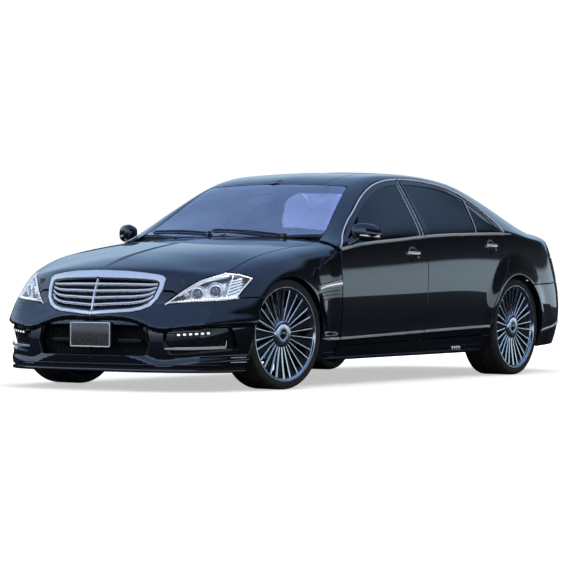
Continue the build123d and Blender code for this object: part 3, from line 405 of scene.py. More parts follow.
def cut_sheet(chart, outline, holes=(), spacing=28.0, gap=2.7, corner=12.0, hem=2.5, thick=8.0,
              centre=False, lift=0.0, edge=14.0, flange=0.0):
    """A closed sheet cut from the skin: vertices, faces and normals, in millimetres.

    Outlines are lists of (view, points) runs; gap is how far the sheet's edge stands back from them.
    centre marks a half panel whose straight side on the centre line is left open for its mirror image.
    """
    loops = []
    for number, runs in enumerate([outline, *holes]):
        parts = [chart.flat(view, pts, *(rest or (0.0, 1.0)), edge) for view, pts, *rest in runs]
        loop = np.concatenate(parts)
        keep = np.linalg.norm(loop - np.roll(loop, 1, 0), axis=1) > 1.0
        loop = loop[keep]
        if (area(loop) < 0) != (number > 0):
            loop = loop[::-1]
        loops.append(soften(loop, corner))
    rims = []
    for loop in loops:
        p, a, b, nc = chart.frame(loop)
        mid = centre & (np.abs(p[:, 1]) < 0.6)
        nxt = np.roll(p, -1, 0) - p
        out_next = unit(np.cross(unit(nxt), nc))
        out_before = np.roll(out_next, 1, 0)
        flat_next = mid & np.roll(mid, -1)
        flat_before = np.roll(flat_next, 1)
        d1, d2 = np.where(flat_before, 0, gap + hem), np.where(flat_next, 0, gap + hem)
        o = np.zeros_like(p)
        t_dir = np.zeros_like(p)
        for i in range(len(p)):
            n1, n2 = out_before[i], out_next[i]
            m = np.array([n1, n2])
            g = m @ m.T
            if g[0, 1] > 0.995:
                o[i] = -0.5 * (n1 + n2) * 0.5 * (d1[i] + d2[i])
            else:
                g += np.eye(2) * 0.02
                o[i] = -(m.T @ np.linalg.solve(g, [d1[i], d2[i]]))
            use = ([n1] if not flat_before[i] else []) + ([n2] if not flat_next[i] else [])
            t_dir[i] = unit(np.sum(use, 0)) if use else 0
        jac = np.stack([a, b], 2)
        shift = np.array([np.linalg.lstsq(jac[i], o[i], rcond=None)[0] for i in range(len(p))])
        new = loop + shift
        rims.append((new, t_dir, flat_next, mid))
    outer = rims[0][0]
    lo, hi = outer.min(0), outer.max(0)
    xs = np.linspace(lo[0], hi[0], max(3, int((hi[0] - lo[0]) / spacing) + 2))
    ys = np.linspace(lo[1], hi[1], max(3, int((hi[1] - lo[1]) / spacing) + 2))
    grid = np.stack(np.meshgrid(xs, ys), -1).reshape(-1, 2)
    ok = inside(grid, outer)
    for rim in rims[1:]:
        ok &= ~inside(grid, rim[0])
    grid = grid[ok]
    border = np.concatenate([r[0] for r in rims])
    if len(grid):
        near = np.array([((border - q) ** 2).sum(1).min() for q in grid])
        grid = grid[near > (0.45 * spacing) ** 2]
    q = np.concatenate([border, grid]) if len(grid) else border
    edges, start = [], 0
    for rim in rims:
        n = len(rim[0])
        edges += [(start + i, start + (i + 1) % n) for i in range(n)]
        start += n
    flat_points, _, tris, *_ = delaunay_2d_cdt([Vector(v) for v in q], edges, [], 0, 1e-4)
    if len(flat_points) != len(q):
        print("cut_sheet: outline crosses itself", len(flat_points), len(q))
    q = np.array([tuple(v) for v in flat_points])
    tris = np.array([t for t in tris if len(t) == 3])
    middle = q[tris].mean(1)
    ok = inside(middle, rims[0][0])
    for rim in rims[1:]:
        ok &= ~inside(middle, rim[0])
    tris = tris[ok]
    p, a, b, nc = chart.frame(q)
    mids = np.concatenate([r[3] for r in rims])
    p[:len(mids)][mids, 1] = 0.0
    sign = chart.facing()
    normal = sign * nc
    if sign < 0:
        tris = tris[:, ::-1]
    normal[:len(mids)][mids, 1] = 0
    normal = unit(normal)
    p = p + lift * normal
    base = len(p)
    verts, normals = [*p, *(p - thick * normal)], [*normal, *(-normal)]
    faces = [tuple(t) for t in tris] + [tuple(int(i) + base for i in t[::-1]) for t in tris]
    depth = max(thick, flange)
    profile = [(hem * math.sin(k * math.pi / 8), hem * (1 - math.cos(k * math.pi / 8)), k * math.pi / 8)
               for k in (1, 2, 3, 4)] + [(hem, depth, math.pi / 2)]
    if flange > thick:
        profile.append((hem - 3, depth, math.pi))
    start = 0
    for new, t_dir, flat_next, mid in rims:
        n = len(new)
        span = slice(start, start + n)
        t_dir = t_dir * 1.0
        t_dir[mid, 1] = 0
        rows = [list(range(start, start + n))]
        for reach, down, angle in profile:
            rows.append(list(range(len(verts), len(verts) + n)))
            verts += [*(p[span] + t_dir * reach - normal[span] * down)]
            normals += [*unit(normal[span] * math.cos(angle) + t_dir * math.sin(angle) + 1e-6)]
        rows.append([base + start + i for i in range(n)])
        for lower, upper in zip(rows[:-1], rows[1:]):
            for i in range(n):
                j = (i + 1) % n
                if not flat_next[i]:
                    quad = (lower[i], upper[i], upper[j], lower[j])
                    faces.append(quad if sign > 0 else quad[::-1])
        start += n
    return np.array(verts), faces, np.array(normals)


def whole(verts, faces, normals):
    """A half sheet joined to its mirror image along the centre line."""
    on_line = np.abs(verts[:, 1]) < 1e-4
    other = np.zeros(len(verts), int)
    fresh = np.where(~on_line)[0]
    other[on_line] = np.where(on_line)[0]
    other[fresh] = len(verts) + np.arange(len(fresh))
    flip = np.array([1, -1, 1])
    return (np.concatenate([verts, verts[fresh] * flip]),
            list(faces) + [tuple(int(other[i]) for i in f[::-1]) for f in faces],
            np.concatenate([normals, normals[fresh] * flip]))


def mirrored(verts, faces, normals=None):
    flip = np.array([1, -1, 1])
    return (np.array(verts) * flip, [tuple(f[::-1]) for f in faces],
            None if normals is None else np.array(normals) * flip)


def make(name, shape, material, body="car_body", slot=None, stands_for=(), flat=False):
    """A piece from vertices in millimetres, faces and, where given, its normals."""
    slot = slot or SLOTS[material.name]
    verts, faces, normals = (*shape, None)[:3]
    mesh = bpy.data.meshes.new(name)
    mesh.from_pydata([tuple(v) for v in np.asarray(verts) * MM], [], [tuple(map(int, f)) for f in faces])
    mesh.polygons.foreach_set("use_smooth", [not flat] * len(mesh.polygons))
    mesh.materials.append(material)
    obj = bpy.data.objects.new(name, mesh)
    bpy.context.scene.collection.objects.link(obj)
    if normals is not None:
        mesh.normals_split_custom_set_from_vertices([tuple(n) for n in normals])
    elif not flat:
        mesh.set_sharp_from_angle(angle=math.radians(35))
    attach(obj, body)
    if stands_for:
        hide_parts(*stands_for)
    return obj


def pair(name, shape, material, bodies="car_body", slot=None, stands_for=None, flat=False):
    """The left piece and its mirror image. bodies is one body, or a pattern with {} for the side."""
    out = []
    for side in ("left", "right"):
        turned = shape if side == "left" else mirrored(*shape)
        nodes = [n.format(side) for n in stands_for or ()]
        out.append(make(f"{name}_{side}", turned, material, bodies.format(side), slot, nodes, flat))
    return out


def joined(*shapes):
    """Several shapes as one."""
    verts, faces, normals, base = [], [], [], 0
    for v, f, *n in shapes:
        verts.append(np.asarray(v, float))
        faces += [tuple(i + base for i in face) for face in f]
        normals.append(n[0] if n and n[0] is not None else None)
        base += len(v)
    return (np.concatenate(verts), faces,
            None if any(n is None for n in normals) else np.concatenate(normals))


# ------------------------------------------------------------ materials
def finish(name, dark, light, scale=40.0, rough=(0.3, 0.45), bump=0.0, bump_scale=200.0, stretch=(1, 1, 1),
           detail=5.0, voronoi=False, **sockets):
    """A Principled material whose colour and roughness wander between two values, with a fine relief."""
    mat = bpy.data.materials.new(name)
    mat.use_nodes = True
    nodes, links = mat.node_tree.nodes, mat.node_tree.links
    shader = nodes["Principled BSDF"]
    for key, value in sockets.items():
        shader.inputs[key.replace("_", " ")].default_value = value
    place = nodes.new("ShaderNodeTexCoord")
    squeeze = nodes.new("ShaderNodeMapping")
    squeeze.inputs["Scale"].default_value = stretch
    links.new(place.outputs["Object"], squeeze.inputs["Vector"])
    noise = nodes.new("ShaderNodeTexNoise")
    noise.inputs["Scale"].default_value = scale
    noise.inputs["Detail"].default_value = detail
    links.new(squeeze.outputs["Vector"], noise.inputs["Vector"])
    ramp = nodes.new("ShaderNodeValToRGB")
    ramp.color_ramp.elements[0].position, ramp.color_ramp.elements[1].position = 0.3, 0.7
    ramp.color_ramp.elements[0].color = (*dark, 1)
    ramp.color_ramp.elements[1].color = (*light, 1)
    links.new(noise.outputs["Fac"], ramp.inputs["Fac"])
    links.new(ramp.outputs["Color"], shader.inputs["Base Color"])
    spread = nodes.new("ShaderNodeMapRange")
    spread.inputs["From Min"].default_value, spread.inputs["From Max"].default_value = 0.3, 0.7
    spread.inputs["To Min"].default_value, spread.inputs["To Max"].default_value = rough
    links.new(noise.outputs["Fac"], spread.inputs["Value"])
    links.new(spread.outputs["Result"], shader.inputs["Roughness"])
    if bump:
        fine = nodes.new("ShaderNodeTexVoronoi" if voronoi else "ShaderNodeTexNoise")
        fine.inputs["Scale"].default_value = bump_scale
        links.new(squeeze.outputs["Vector"], fine.inputs["Vector"])
        relief_node = nodes.new("ShaderNodeBump")
        relief_node.inputs["Strength"].default_value = bump
        relief_node.inputs["Distance"].default_value = 0.001
        links.new(fine.outputs["Distance" if voronoi else "Fac"], relief_node.inputs["Height"])
        links.new(relief_node.outputs["Normal"], shader.inputs["Normal"])
    return mat


def lets_light_through(mat, tint):
    """Glass that lamps shine through, with its tint."""
    nodes, links = mat.node_tree.nodes, mat.node_tree.links
    out, shader = nodes["Material Output"], nodes["Principled BSDF"]
    path, mix = nodes.new("ShaderNodeLightPath"), nodes.new("ShaderNodeMixShader")
    clear = nodes.new("ShaderNodeBsdfTransparent")
    clear.inputs["Color"].default_value = (*tint, 1)
    links.new(path.outputs["Is Shadow Ray"], mix.inputs["Fac"])
    links.new(shader.outputs["BSDF"], mix.inputs[1])
    links.new(clear.outputs["BSDF"], mix.inputs[2])
    links.new(mix.outputs["Shader"], out.inputs["Surface"])
    return mat


def glowing(mat, colour, strength):
    shader = mat.node_tree.nodes["Principled BSDF"]
    shader.inputs["Emission Color"].default_value = (*colour, 1)
    shader.inputs["Emission Strength"].default_value = strength
    return mat


PAINT = finish("black_paint", (0.0010, 0.0013, 0.0030), (0.0022, 0.0028, 0.0060), 900, (0.3, 0.42),
               Coat_Weight=1.0, Coat_Roughness=0.012, Coat_IOR=1.8, Specular_IOR_Level=0.1)
GLOSS = finish("piano_black", (0.003, 0.003, 0.004), (0.007, 0.007, 0.008), 60, (0.04, 0.09), Coat_Weight=0.5)
DULL = finish("moulded_black", (0.010, 0.010, 0.011), (0.018, 0.018, 0.020), 80, (0.45, 0.6), 0.35, 900)
SATIN = finish("satin_black", (0.006, 0.006, 0.007), (0.013, 0.013, 0.015), 70, (0.3, 0.42), 0.12, 700)
# near black that stands in for shade in recesses and openings: painted shade
SHADE = finish("painted_shade_black", (0.004, 0.004, 0.004), (0.012, 0.011, 0.010), 18, (0.7, 0.9), 0.5, 300)
CHROME = finish("chrome", (0.86, 0.87, 0.89), (0.95, 0.96, 0.98), 30, (0.04, 0.09), Metallic=0.72)
BRIGHT = finish("brushed_bright", (0.74, 0.78, 0.80), (0.86, 0.90, 0.92), 25, (0.16, 0.26), 0.08, 600,
                (1, 1, 1), Metallic=0.72)
ALLOY = finish("polished_alloy", (0.60, 0.62, 0.66), (0.82, 0.84, 0.87), 22, (0.10, 0.20), 0.05, 500,
               Metallic=1.0)
# the polished alloy darkened for the wheel barrel, bolts and valve: painted shade
ALLOY_DARK = finish("alloy_darkened_for_shade", (0.02, 0.022, 0.026), (0.05, 0.053, 0.06), 35, (0.25, 0.4), 0.08, 500,
                    Metallic=0.8, Coat_Weight=0.4)
STEEL = finish("brake_steel", (0.25, 0.25, 0.26), (0.42, 0.42, 0.43), 60,
               (0.25, 0.4), 0.15, 400, Metallic=1.0)
CAST = finish("cast_metal", (0.05, 0.05, 0.052), (0.12, 0.12, 0.125), 50, (0.5, 0.7), 0.5, 260, Metallic=0.6)
RUBBER = finish("tyre_rubber", (0.008, 0.008, 0.008), (0.018, 0.018, 0.018), 45, (0.6, 0.78), 0.25, 500)
SEAL = finish("seal_rubber", (0.006, 0.006, 0.006), (0.012, 0.012, 0.012), 90, (0.5, 0.65), 0.2, 700)
SIDE_GLASS = lets_light_through(
    finish("privacy_glass", (0.020, 0.026, 0.026), (0.030, 0.036, 0.038), 6,
           (0.0, 0.012), Transmission_Weight=1.0, IOR=1.5, Specular_IOR_Level=0.2), (0.10, 0.11, 0.13))
SCREEN_GLASS = lets_light_through(
    finish("windscreen_glass", (0.26, 0.34, 0.76), (0.30, 0.40, 0.84), 4,
           (0.0, 0.01), Transmission_Weight=1.0,
           IOR=1.5, Coat_Weight=1.0, Coat_IOR=2.0, Coat_Roughness=0.01), (0.6, 0.66, 0.8))
LENS = lets_light_through(
    finish("lamp_cover", (0.93, 0.95, 0.98), (0.97, 0.98, 1.0), 6, (0.0, 0.01), Transmission_Weight=1.0,
           IOR=1.49), (0.95, 0.97, 1.0))
RED_LENS = finish("red_lens", (0.30, 0.004, 0.006), (0.42, 0.008, 0.010), 30, (0.03, 0.08), 0.3, 260,
                  Coat_Weight=1.0, Transmission_Weight=0.3)
CLEAR_LENS = finish("reverse_lens", (0.55, 0.56, 0.58), (0.75, 0.76, 0.78), 30, (0.05, 0.1), 0.4, 300,
                    Coat_Weight=1.0)
AMBER = finish("amber_lens", (0.42, 0.36, 0.30), (0.60, 0.50, 0.40), 60, (0.08, 0.15),
               0.3, 300, Coat_Weight=1.0)
REFLECTOR = finish("lamp_reflector", (0.72, 0.80, 0.92), (0.86, 0.92, 1.0), 60, (0.05, 0.14), 0.15, 160,
                   Metallic=0.7)
LAMP_BOWL = finish("lamp_bowl", (0.34, 0.42, 0.60), (0.50, 0.60, 0.80), 30,
                   (0.2, 0.35), 0.1, 200, Metallic=0.4)
LED = glowing(finish("led_lens", (0.80, 0.86, 0.92), (0.95, 0.97, 1.0), 160, (0.05, 0.12), 0.2, 500,
                     Coat_Weight=1.0), (0.8, 0.9, 1.0), 0.6)
MIRROR_GLASS = finish("mirror_glass", (0.75, 0.77, 0.80), (0.80, 0.82, 0.85), 8, (0.0, 0.02), Metallic=1.0)
LEATHER = finish("black_leather", (0.014, 0.013, 0.013), (0.026, 0.024, 0.023), 26, (0.38, 0.52), 0.5, 420,
                 voronoi=True, Sheen_Weight=0.15)
SOFT_TRIM = finish("soft_trim", (0.016, 0.016, 0.017), (0.030, 0.030, 0.032), 34, (0.5, 0.65), 0.45, 620,
                   voronoi=True)
HEADLINING = finish("headlining", (0.10, 0.10, 0.105), (0.15, 0.15, 0.155), 120, (0.85, 0.95), 0.4, 900)
CARPET = finish("carpet", (0.008, 0.008, 0.008), (0.024, 0.023, 0.022), 300, (0.9, 1.0), 0.9, 900,
                Sheen_Weight=0.3)
WOOD = finish("burr_trim", (0.020, 0.009, 0.004), (0.075, 0.032, 0.012), 9, (0.12, 0.2), stretch=(1, 3, 3),
              Coat_Weight=1.0)
PLATE = finish("plate_face", (0.030, 0.030, 0.033), (0.045, 0.045, 0.05), 50, (0.2, 0.3), Coat_Weight=0.6)
DISPLAY = finish("display_glass", (0.004, 0.006, 0.010), (0.010, 0.014, 0.022), 12,
                 (0.04, 0.08), Coat_Weight=1)

# the slot name that make() looks up for a material unless a piece's line says another; it is not put on the
# piece
SLOTS = {material.name: slot for slot, materials in {
    "paint": (PAINT,),
    "black_trim": (GLOSS, SATIN, SEAL, DULL),
    "chrome": (CHROME, BRIGHT, REFLECTOR, MIRROR_GLASS),
    "trim": (SOFT_TRIM, WOOD, CARPET, DISPLAY, HEADLINING),
    "steel": (STEEL,),
    "leather": (LEATHER,),
    "cast_metal": (CAST,),
    "tinted_glass": (SIDE_GLASS,),
    "lamp_glass": (LED, CLEAR_LENS, LENS, AMBER),
    "dark_trim": (SHADE, LAMP_BOWL),
    "plate": (PLATE,),
    "red_lens": (RED_LENS,)
}.items() for material in materials}


# ------------------------------------------------------------ lines shared by neighbouring panels
HOOD_EDGE = [(1077, 0.793), (1120, 0.792), (1364, 0.79), (1620, 0.783), (1855, 0.771), (2055, 0.762),
             (2204, 0.713)]
LAMP_TOP = [(2204, 0.713), (2324, 0.657), (2432, 0.595), (2542, 0.497), (2622, 0.417)]
LAMP_TIP = [(2622, 0.417), (2684, 0.353), (2711, 0.320)]
LAMP_BOTTOM = [(2711, 0.320), (2644, 0.332), (2494, 0.349), (2352, 0.361), (2202, 0.376)]
LAMP_REAR = [(2221, 585), (2154, 642), (2060, 712)]
LAMP_REAR_TOP = [(2060, 712), (2116, 737), (2170, 742)]
GRILLE = [(0, 472), (268, 492), (335, 506), (387, 529), (424, 577), (443, 640), (446, 706), (414, 727),
          (315, 741), (205, 751), (0, 757)]
INTAKE = [(2675, 0.150), (2595, 0.163), (2400, 0.168), (2275, 0.166), (2215, 0.062), (2640, 0.046),
          (2676, 0.090)]
SCREEN = [(1112, 0), (1085, 400), (978, 722), (700, 640), (395, 560), (425, 250), (432, 0)]
BACK_LIGHT = [(-1120, 0), (-1135, 300), (-1165, 500), (-1500, 545), (-1830, 615), (-1872, 400), (-1885, 0)]
WINDOW_ARC = [(731, 1094), (449, 1245), (139, 1354), (-201, 1396), (-548, 1390), (-854, 1354),
              (-1035, 1303), (-1206, 1217)]
BELT_LINE = [(1052, 896), (871, 922), (227, 972), (-68, 993), (-636, 1017), (-1250, 1030), (-1400, 1032)]
REAR_SHUT = [(-1000, 300), (-1008, 420), (-1040, 520), (-1125, 640), (-1245, 750), (-1335, 860),
             (-1352, 940), (-1345, 1020)]
MIDDLE_SHUT = [(-47, 281), (-50, 350), (-85, 820), (-90, 985)]
arc_z = natural([p[0] for p in WINDOW_ARC], [p[1] for p in WINDOW_ARC])
belt_z = natural([p[0] for p in BELT_LINE], [p[1] for p in BELT_LINE])


def top_z(x):
    """Height of the side windows' upper edge."""
    return float(arc_z(x))


def sill_z(x):
    return 262 + (1071 - x) / 2071 * 38


def arch(axle, x0, x1, rise, count=26):
    """Points of a wheel arch's edge in side view."""
    first, last = (math.acos(np.clip((x - axle) / ARCH_RADIUS, -1, 1)) for x in (x0, x1))
    return [(axle + ARCH_RADIUS * math.cos(a), HUB_Z + rise * math.sin(a))
            for a in np.linspace(first, last, count)]


def arc(x0, x1, count, rise):
    return [(x, top_z(x) + rise) for x in np.linspace(x0, x1, count)]


def belt(x0, x1, count, rise=0.0):
    return [(x, float(belt_z(x)) + rise) for x in np.linspace(x0, x1, count)]


def level(skin, z, w0, w1, count=12, top=0.6):
    """A run along the skin at one height."""
    s = np.linspace(0, top, 400)
    out = []
    for w in np.linspace(w0, w1, count):
        zs = skin.plain(np.full(400, w), s)[:, 2]
        out.append((w, float(np.interp(z, zs, s))))
    return ("ws", out)


FRONT_FLAT, CABIN_FLAT = Chart(FRONT), Chart(CABIN)
OVER_NOSE, OVER_TAIL = Chart(FRONT, "over_nose", 0.4), Chart(CABIN, "over_tail", 0.2)
ARCH_TOP_FRONT = (2033.7, 590)
SEAM_AT_ARCH = (-1658.7, 660)

# ------------------------------------------------------------ body panels
fender = cut_sheet(FRONT_FLAT, [
    ("ws", [(1077, 0.793), (1077, 0.0), (1343, 0.0)]),
    ("side", [(1343, 200)] + arch(FRONT_AXLE, 1343, ARCH_TOP_FRONT[0], ARCH_RISE_FRONT), 0, 0.5),
    ("side", [ARCH_TOP_FRONT, (2143, 589), *LAMP_REAR], 0, 0.6),
    ("side", LAMP_REAR_TOP, 0.3, 0.72),
    ("ws", HOOD_EDGE[::-1])], spacing=14, thick=14, flange=24)
pair("front_fender", fender, PAINT, stands_for=["front_fender_{}"])

hood_half = cut_sheet(OVER_NOSE, [
    ("plan", [(1115, 0), (1090, 300), (1045, 560), (990, 735)], 0.7, 1),
    ("ws", [(1010, 0.795)] + HOOD_EDGE[1:] + LAMP_TOP[1:]),
    ("nose", [(504, 627), (443, 630), *GRILLE[5:]], 0.3, 0.85)],
    spacing=26, thick=14, flange=22, centre=True)
make("hood_skin", whole(*hood_half), PAINT, "hood", stands_for=["hood"])

bumper_half = cut_sheet(FRONT_FLAT, [
    ("ws", [(2127, 0.0), (3150, 0.0)]),
    ("nose", [(0, 228), (400, 228), (428, 300), (405, 418), (0, 418)], 0, 0.4),
    ("nose", GRILLE[:5] + [(441, 624)], 0.1, 0.6),
    ("nose", [(444, 624), (504, 621)], 0.3, 0.6),
    ("ws", LAMP_TIP[:2]), ("ws", LAMP_BOTTOM),
    ("side", [(2221, 585), (2143, 589), ARCH_TOP_FRONT], 0, 0.5),
    ("side", arch(FRONT_AXLE, ARCH_TOP_FRONT[0], 2127, ARCH_RISE_FRONT, 14), 0, 0.5)],
    [[("ws", INTAKE)]],
    spacing=10, thick=12, flange=40, centre=True, corner=14, edge=10)
make("front_bumper_skin", whole(*bumper_half), PAINT, stands_for=["front_bumper"])

# the roof, pillars and rear quarters are one welded shell
W_LID_TOP = float(CABIN.locate("tail", [(568, 868)], 0, 0.7)[0, 0])
W_LID_LOW = float(CABIN.locate("tail", [(568, 700)], 0, 0.7)[0, 0])
W_SEAM = float(CABIN.locate("tail", [(568, 690)], 0, 0.7)[0, 0])
shell_half = cut_sheet(CABIN_FLAT, [
    ("plan", BACK_LIGHT, 0.6, 1),
    ("plan", [(-1954, 0), (-1954, 568), (-2400, 568)], 0.6, 1),
    ("tail", [(568, 1005), (568, 868)], 0.1, 0.85),
    level(CABIN, 868, W_LID_TOP, -2165),
    ("side", [(-2165, 868), (-2240, 745), (-2330, 700)], 0, 0.6),
    level(CABIN, 700, -2330, W_LID_LOW),
    level(CABIN, 690, W_SEAM, -2420, 8),
    ("side", [(-2400, 686), (-2000, 668), SEAM_AT_ARCH], 0, 0.6),
    ("side", arch(REAR_AXLE, SEAM_AT_ARCH[0], -1038, ARCH_RISE_REAR), 0, 0.5),
    ("side", [(-1038, 300), *REAR_SHUT, (-1302, 1128)], 0, 0.75),
    ("side", arc(-1206, 560, 26, 10), 0.3, 0.9),
    ("side", [(731, 1103), (1052, 906)], 0.3, 0.9),
    ("plan", [(1077, 800), (1077, 745)], 0.5, 0.9),
    ("plan", [(978, 722), (700, 640), (395, 560), (425, 250), (432, 0)], 0.6, 1)],
    spacing=30, thick=16, centre=True, corner=16)
make("body_shell", whole(*shell_half), PAINT,
     stands_for=["roof", "a_pillars", "quarter_panel_left", "quarter_panel_right"])

lid_half = cut_sheet(OVER_TAIL, [
    ("plan", [(-1962, 0), (-1962, 560), (-2400, 560)], 0.6, 1),
    ("tail", [(560, 1005), (560, 690), (0, 690)], 0.1, 0.85)],
    spacing=22, thick=14, flange=24, centre=True)
make("trunk_lid_skin", whole(*lid_half), PAINT, "trunk_lid", stands_for=["trunk_lid"])

rear_bumper_half = cut_sheet(CABIN_FLAT, [
    ("side", [SEAM_AT_ARCH, (-2000, 668), (-2400, 686)], 0, 0.6),
    level(CABIN, 690, -2420, -2900, 20),
    ("ws", [(-2900, 0.0), (-1822, 0.0)]),
    ("side", arch(REAR_AXLE, -1822, SEAM_AT_ARCH[0], ARCH_RISE_REAR, 14), 0, 0.5)],
    spacing=20, thick=14, flange=24, centre=True)
make("rear_bumper_skin", whole(*rear_bumper_half), PAINT, stands_for=["rear_bumper"])

sill = cut_sheet(CABIN_FLAT, [
    ("ws", [(1077, 0.0), (-1038, 0.0)]),
    ("side", [(-1038, 300), (-1000, 300), (-1000, sill_z(-1000)), (1077, sill_z(1077))], 0, 0.4)],
    spacing=22, thick=14, flange=20)
pair("sill_skin", sill, PAINT)

front_door = cut_sheet(CABIN_FLAT, [
    ("side", [(-47, sill_z(-47)), (1071, sill_z(1071)), (1071, 880)], 0, 0.5),
    ("side", belt(1050, -86, 14, -9), 0, 0.6),
    ("side", MIDDLE_SHUT[::-1][1:], 0, 0.6)], spacing=22, thick=12, flange=26)
pair("front_door_skin", front_door, PAINT, "front_door_{}", stands_for=["front_door_{}"])

rear_door = cut_sheet(CABIN_FLAT, [
    ("side", MIDDLE_SHUT[::-1][1:] + [(-47, sill_z(-47))], 0, 0.6),
    ("side", REAR_SHUT[:-1] + [(-1347, 1010)], 0, 0.6),
    ("side", belt(-1340, -92, 16, -9), 0, 0.6)], spacing=22, thick=12, flange=26)
pair("rear_door_skin", rear_door, PAINT, "rear_door_{}", stands_for=["rear_door_{}"])

FRONT_GLASS = [("side", belt(985, -33, 14, 12), 0.3, 0.8),
               ("side", [(-150, top_z(-150) - 36)], 0.3, 0.85),
               ("side", arc(-140, 590, 14, -36), 0.3, 0.85)]
REAR_GLASS = [("side", belt(-188, -1262, 16, 12), 0.3, 0.8),
              ("side", [(-1262, 1085), (-1196, 1180)], 0.3, 0.85),
              ("side", arc(-1110, -250, 14, -36), 0.3, 0.85)]
front_frame_sheet = cut_sheet(CABIN_FLAT, [
    ("side", belt(1046, -88, 16, 7), 0.3, 0.8),
    ("side", [(-92, 998), (-207, top_z(-207) + 5)], 0.3, 0.85),
    ("side", arc(-200, 600, 18, 5) + [(731, 1098)], 0.3, 0.85)],
    [FRONT_GLASS], spacing=20, thick=18, corner=8, lift=-1.5)
pair("front_door_frame", front_frame_sheet, GLOSS, "front_door_{}")
rear_frame_sheet = cut_sheet(CABIN_FLAT, [
    ("side", [(-218, top_z(-218) + 5), (-97, 999)], 0.3, 0.85),
    ("side", belt(-100, -1345, 18, 7), 0.3, 0.8),
    ("side", [(-1302, 1124)] + arc(-1206, -225, 16, 5), 0.3, 0.85)],
    [REAR_GLASS], spacing=20, thick=18, corner=8, lift=-1.5)
pair("rear_door_frame", rear_frame_sheet, GLOSS, "rear_door_{}")
pair("front_door_glass", cut_sheet(CABIN_FLAT, FRONT_GLASS, spacing=30, thick=5, gap=-8, hem=0.8, lift=-6),
     SIDE_GLASS, "front_door_{}", stands_for=["front_window_{}"])
pair("rear_door_glass", cut_sheet(CABIN_FLAT, REAR_GLASS, spacing=30, thick=5, gap=-8, hem=0.8, lift=-6),
     SIDE_GLASS, "rear_door_{}", stands_for=["rear_side_window_{}"])

for name, outline, glass, slot, node in (
        ("windscreen_glass", SCREEN, SCREEN_GLASS, "screen_glass", "windscreen"),
        ("rear_window_glass", BACK_LIGHT, SIDE_GLASS, "tinted_glass", "rear_window")):
    pane = cut_sheet(CABIN_FLAT, [("plan", outline, 0.6, 1)], spacing=34, thick=5, gap=3, hem=0.8, lift=-2,
                     centre=True, corner=40)
    make(name, whole(*pane), glass, "car_body", slot, [node])


# ------------------------------------------------------------ small shapes, in millimetres
def on_skin(skin, view, points, step=12.0, lift=0.0, low=0.0, high=1.0):
    """Places and outward normals along a run on the skin."""
    if view == "ws":
        run = dense([(w, s * skin.length) for w, s in points], step)
        ws = np.stack([run[:, 0], run[:, 1] / skin.length], 1)
    else:
        ws = skin.locate(view, dense(points, step), low, high)
    p, n = skin.at(ws[:, 0], ws[:, 1]), skin.normal(ws[:, 0], ws[:, 1])
    return p + lift * n, n


def rail(path, out, profile, closed=False, taper=None):
    """A bar swept along the path. The profile is a closed list of (across, outwards); out points outwards."""
    path, out = np.asarray(path, float), np.asarray(out, float)
    out = np.broadcast_to(out, path.shape)
    n = len(path)
    if closed:
        along_path = unit(np.roll(path, -1, 0) - np.roll(path, 1, 0))
    else:
        along_path = unit(np.gradient(path, axis=0))
    across = unit(np.cross(out, along_path))
    lift = unit(np.cross(along_path, across))
    verts = []
    m = len(profile)
    for i in range(n):
        scale = 1.0 if taper is None else taper(i / (n - 1))
        for a, b in profile:
            verts.append(path[i] + across[i] * a * scale + lift[i] * b * scale)
    faces = []
    for i in range(n if closed else n - 1):
        j = (i + 1) % n
        for k in range(m):
            k2 = (k + 1) % m
            faces.append((i * m + k, j * m + k, j * m + k2, i * m + k2))
    if not closed:
        faces += [tuple(range(m)), tuple((n - 1) * m + k for k in range(m))[::-1]]
    return outward(np.array(verts), faces)


def outward(verts, faces):
    """The closed shape with all faces turned outwards."""
    mesh = bmesh.new()
    for v in verts:
        mesh.verts.new(tuple(v))
    mesh.verts.ensure_lookup_table()
    for f in faces:
        if len(set(f)) > 2:
            try:
                mesh.faces.new([mesh.verts[i] for i in f])
            except ValueError:
                pass
    bmesh.ops.recalc_face_normals(mesh, faces=mesh.faces)
    out = (np.array([tuple(v.co) for v in mesh.verts]), [tuple(v.index for v in f.verts) for f in mesh.faces])
    mesh.free()
    return out


def rounded(half_across, half_out, bulge=0.35, sides=12):
    """The outline of a bar with rounded corners."""
    out = []
    for k in range(sides):
        t = 2 * math.pi * (k + 0.5) / sides
        c, s = math.cos(t), math.sin(t)
        out.append((half_across * np.sign(c) * abs(c) ** bulge, half_out * np.sign(s) * abs(s) ** bulge))
    return out


def tube(path, radius, sides=12, closed=False, taper=None):
    ring = [(radius * math.cos(2 * math.pi * k / sides), radius * math.sin(2 * math.pi * k / sides))
            for k in range(sides)]
    path = np.asarray(path, float)
    lean = np.ptp(path, axis=0)
    side = np.eye(3)[int(np.argmin(lean))] + 0.01
    return rail(path, side, ring, closed, taper)


def soften_path(points, radius):
    """An open path with its corners rounded."""
    points = np.asarray(points, float)
    out = [points[0]]
    for a, b, c in zip(points, points[1:], points[2:]):
        before, after = np.linalg.norm(b - a), np.linalg.norm(c - b)
        start, stop = b + (a - b) * min(0.45, radius / before), b + (c - b) * min(0.45, radius / after)
        out += [(1 - u) ** 2 * start + 2 * u * (1 - u) * b + u * u * stop for u in np.linspace(0, 1, 6)]
    return dense(np.array(out + [points[-1]]), 60)


def lathe(profile, count=64, start=0.0, sweep=2 * math.pi):
    """The profile of (radius, y) pairs turned about the Y axis; open profiles give open shapes."""
    full = abs(sweep - 2 * math.pi) < 1e-6
    turns = count if full else count + 1
    verts = []
    for k in range(turns):
        t = start + sweep * k / count
        for r, y in profile:
            verts.append((r * math.sin(t), y, r * math.cos(t)))
    m, faces = len(profile), []
    for k in range(count):
        k2 = (k + 1) % turns
        for i in range(m - 1):
            faces.append((k * m + i, k2 * m + i, k2 * m + i + 1, k * m + i + 1))
    return np.array(verts), faces


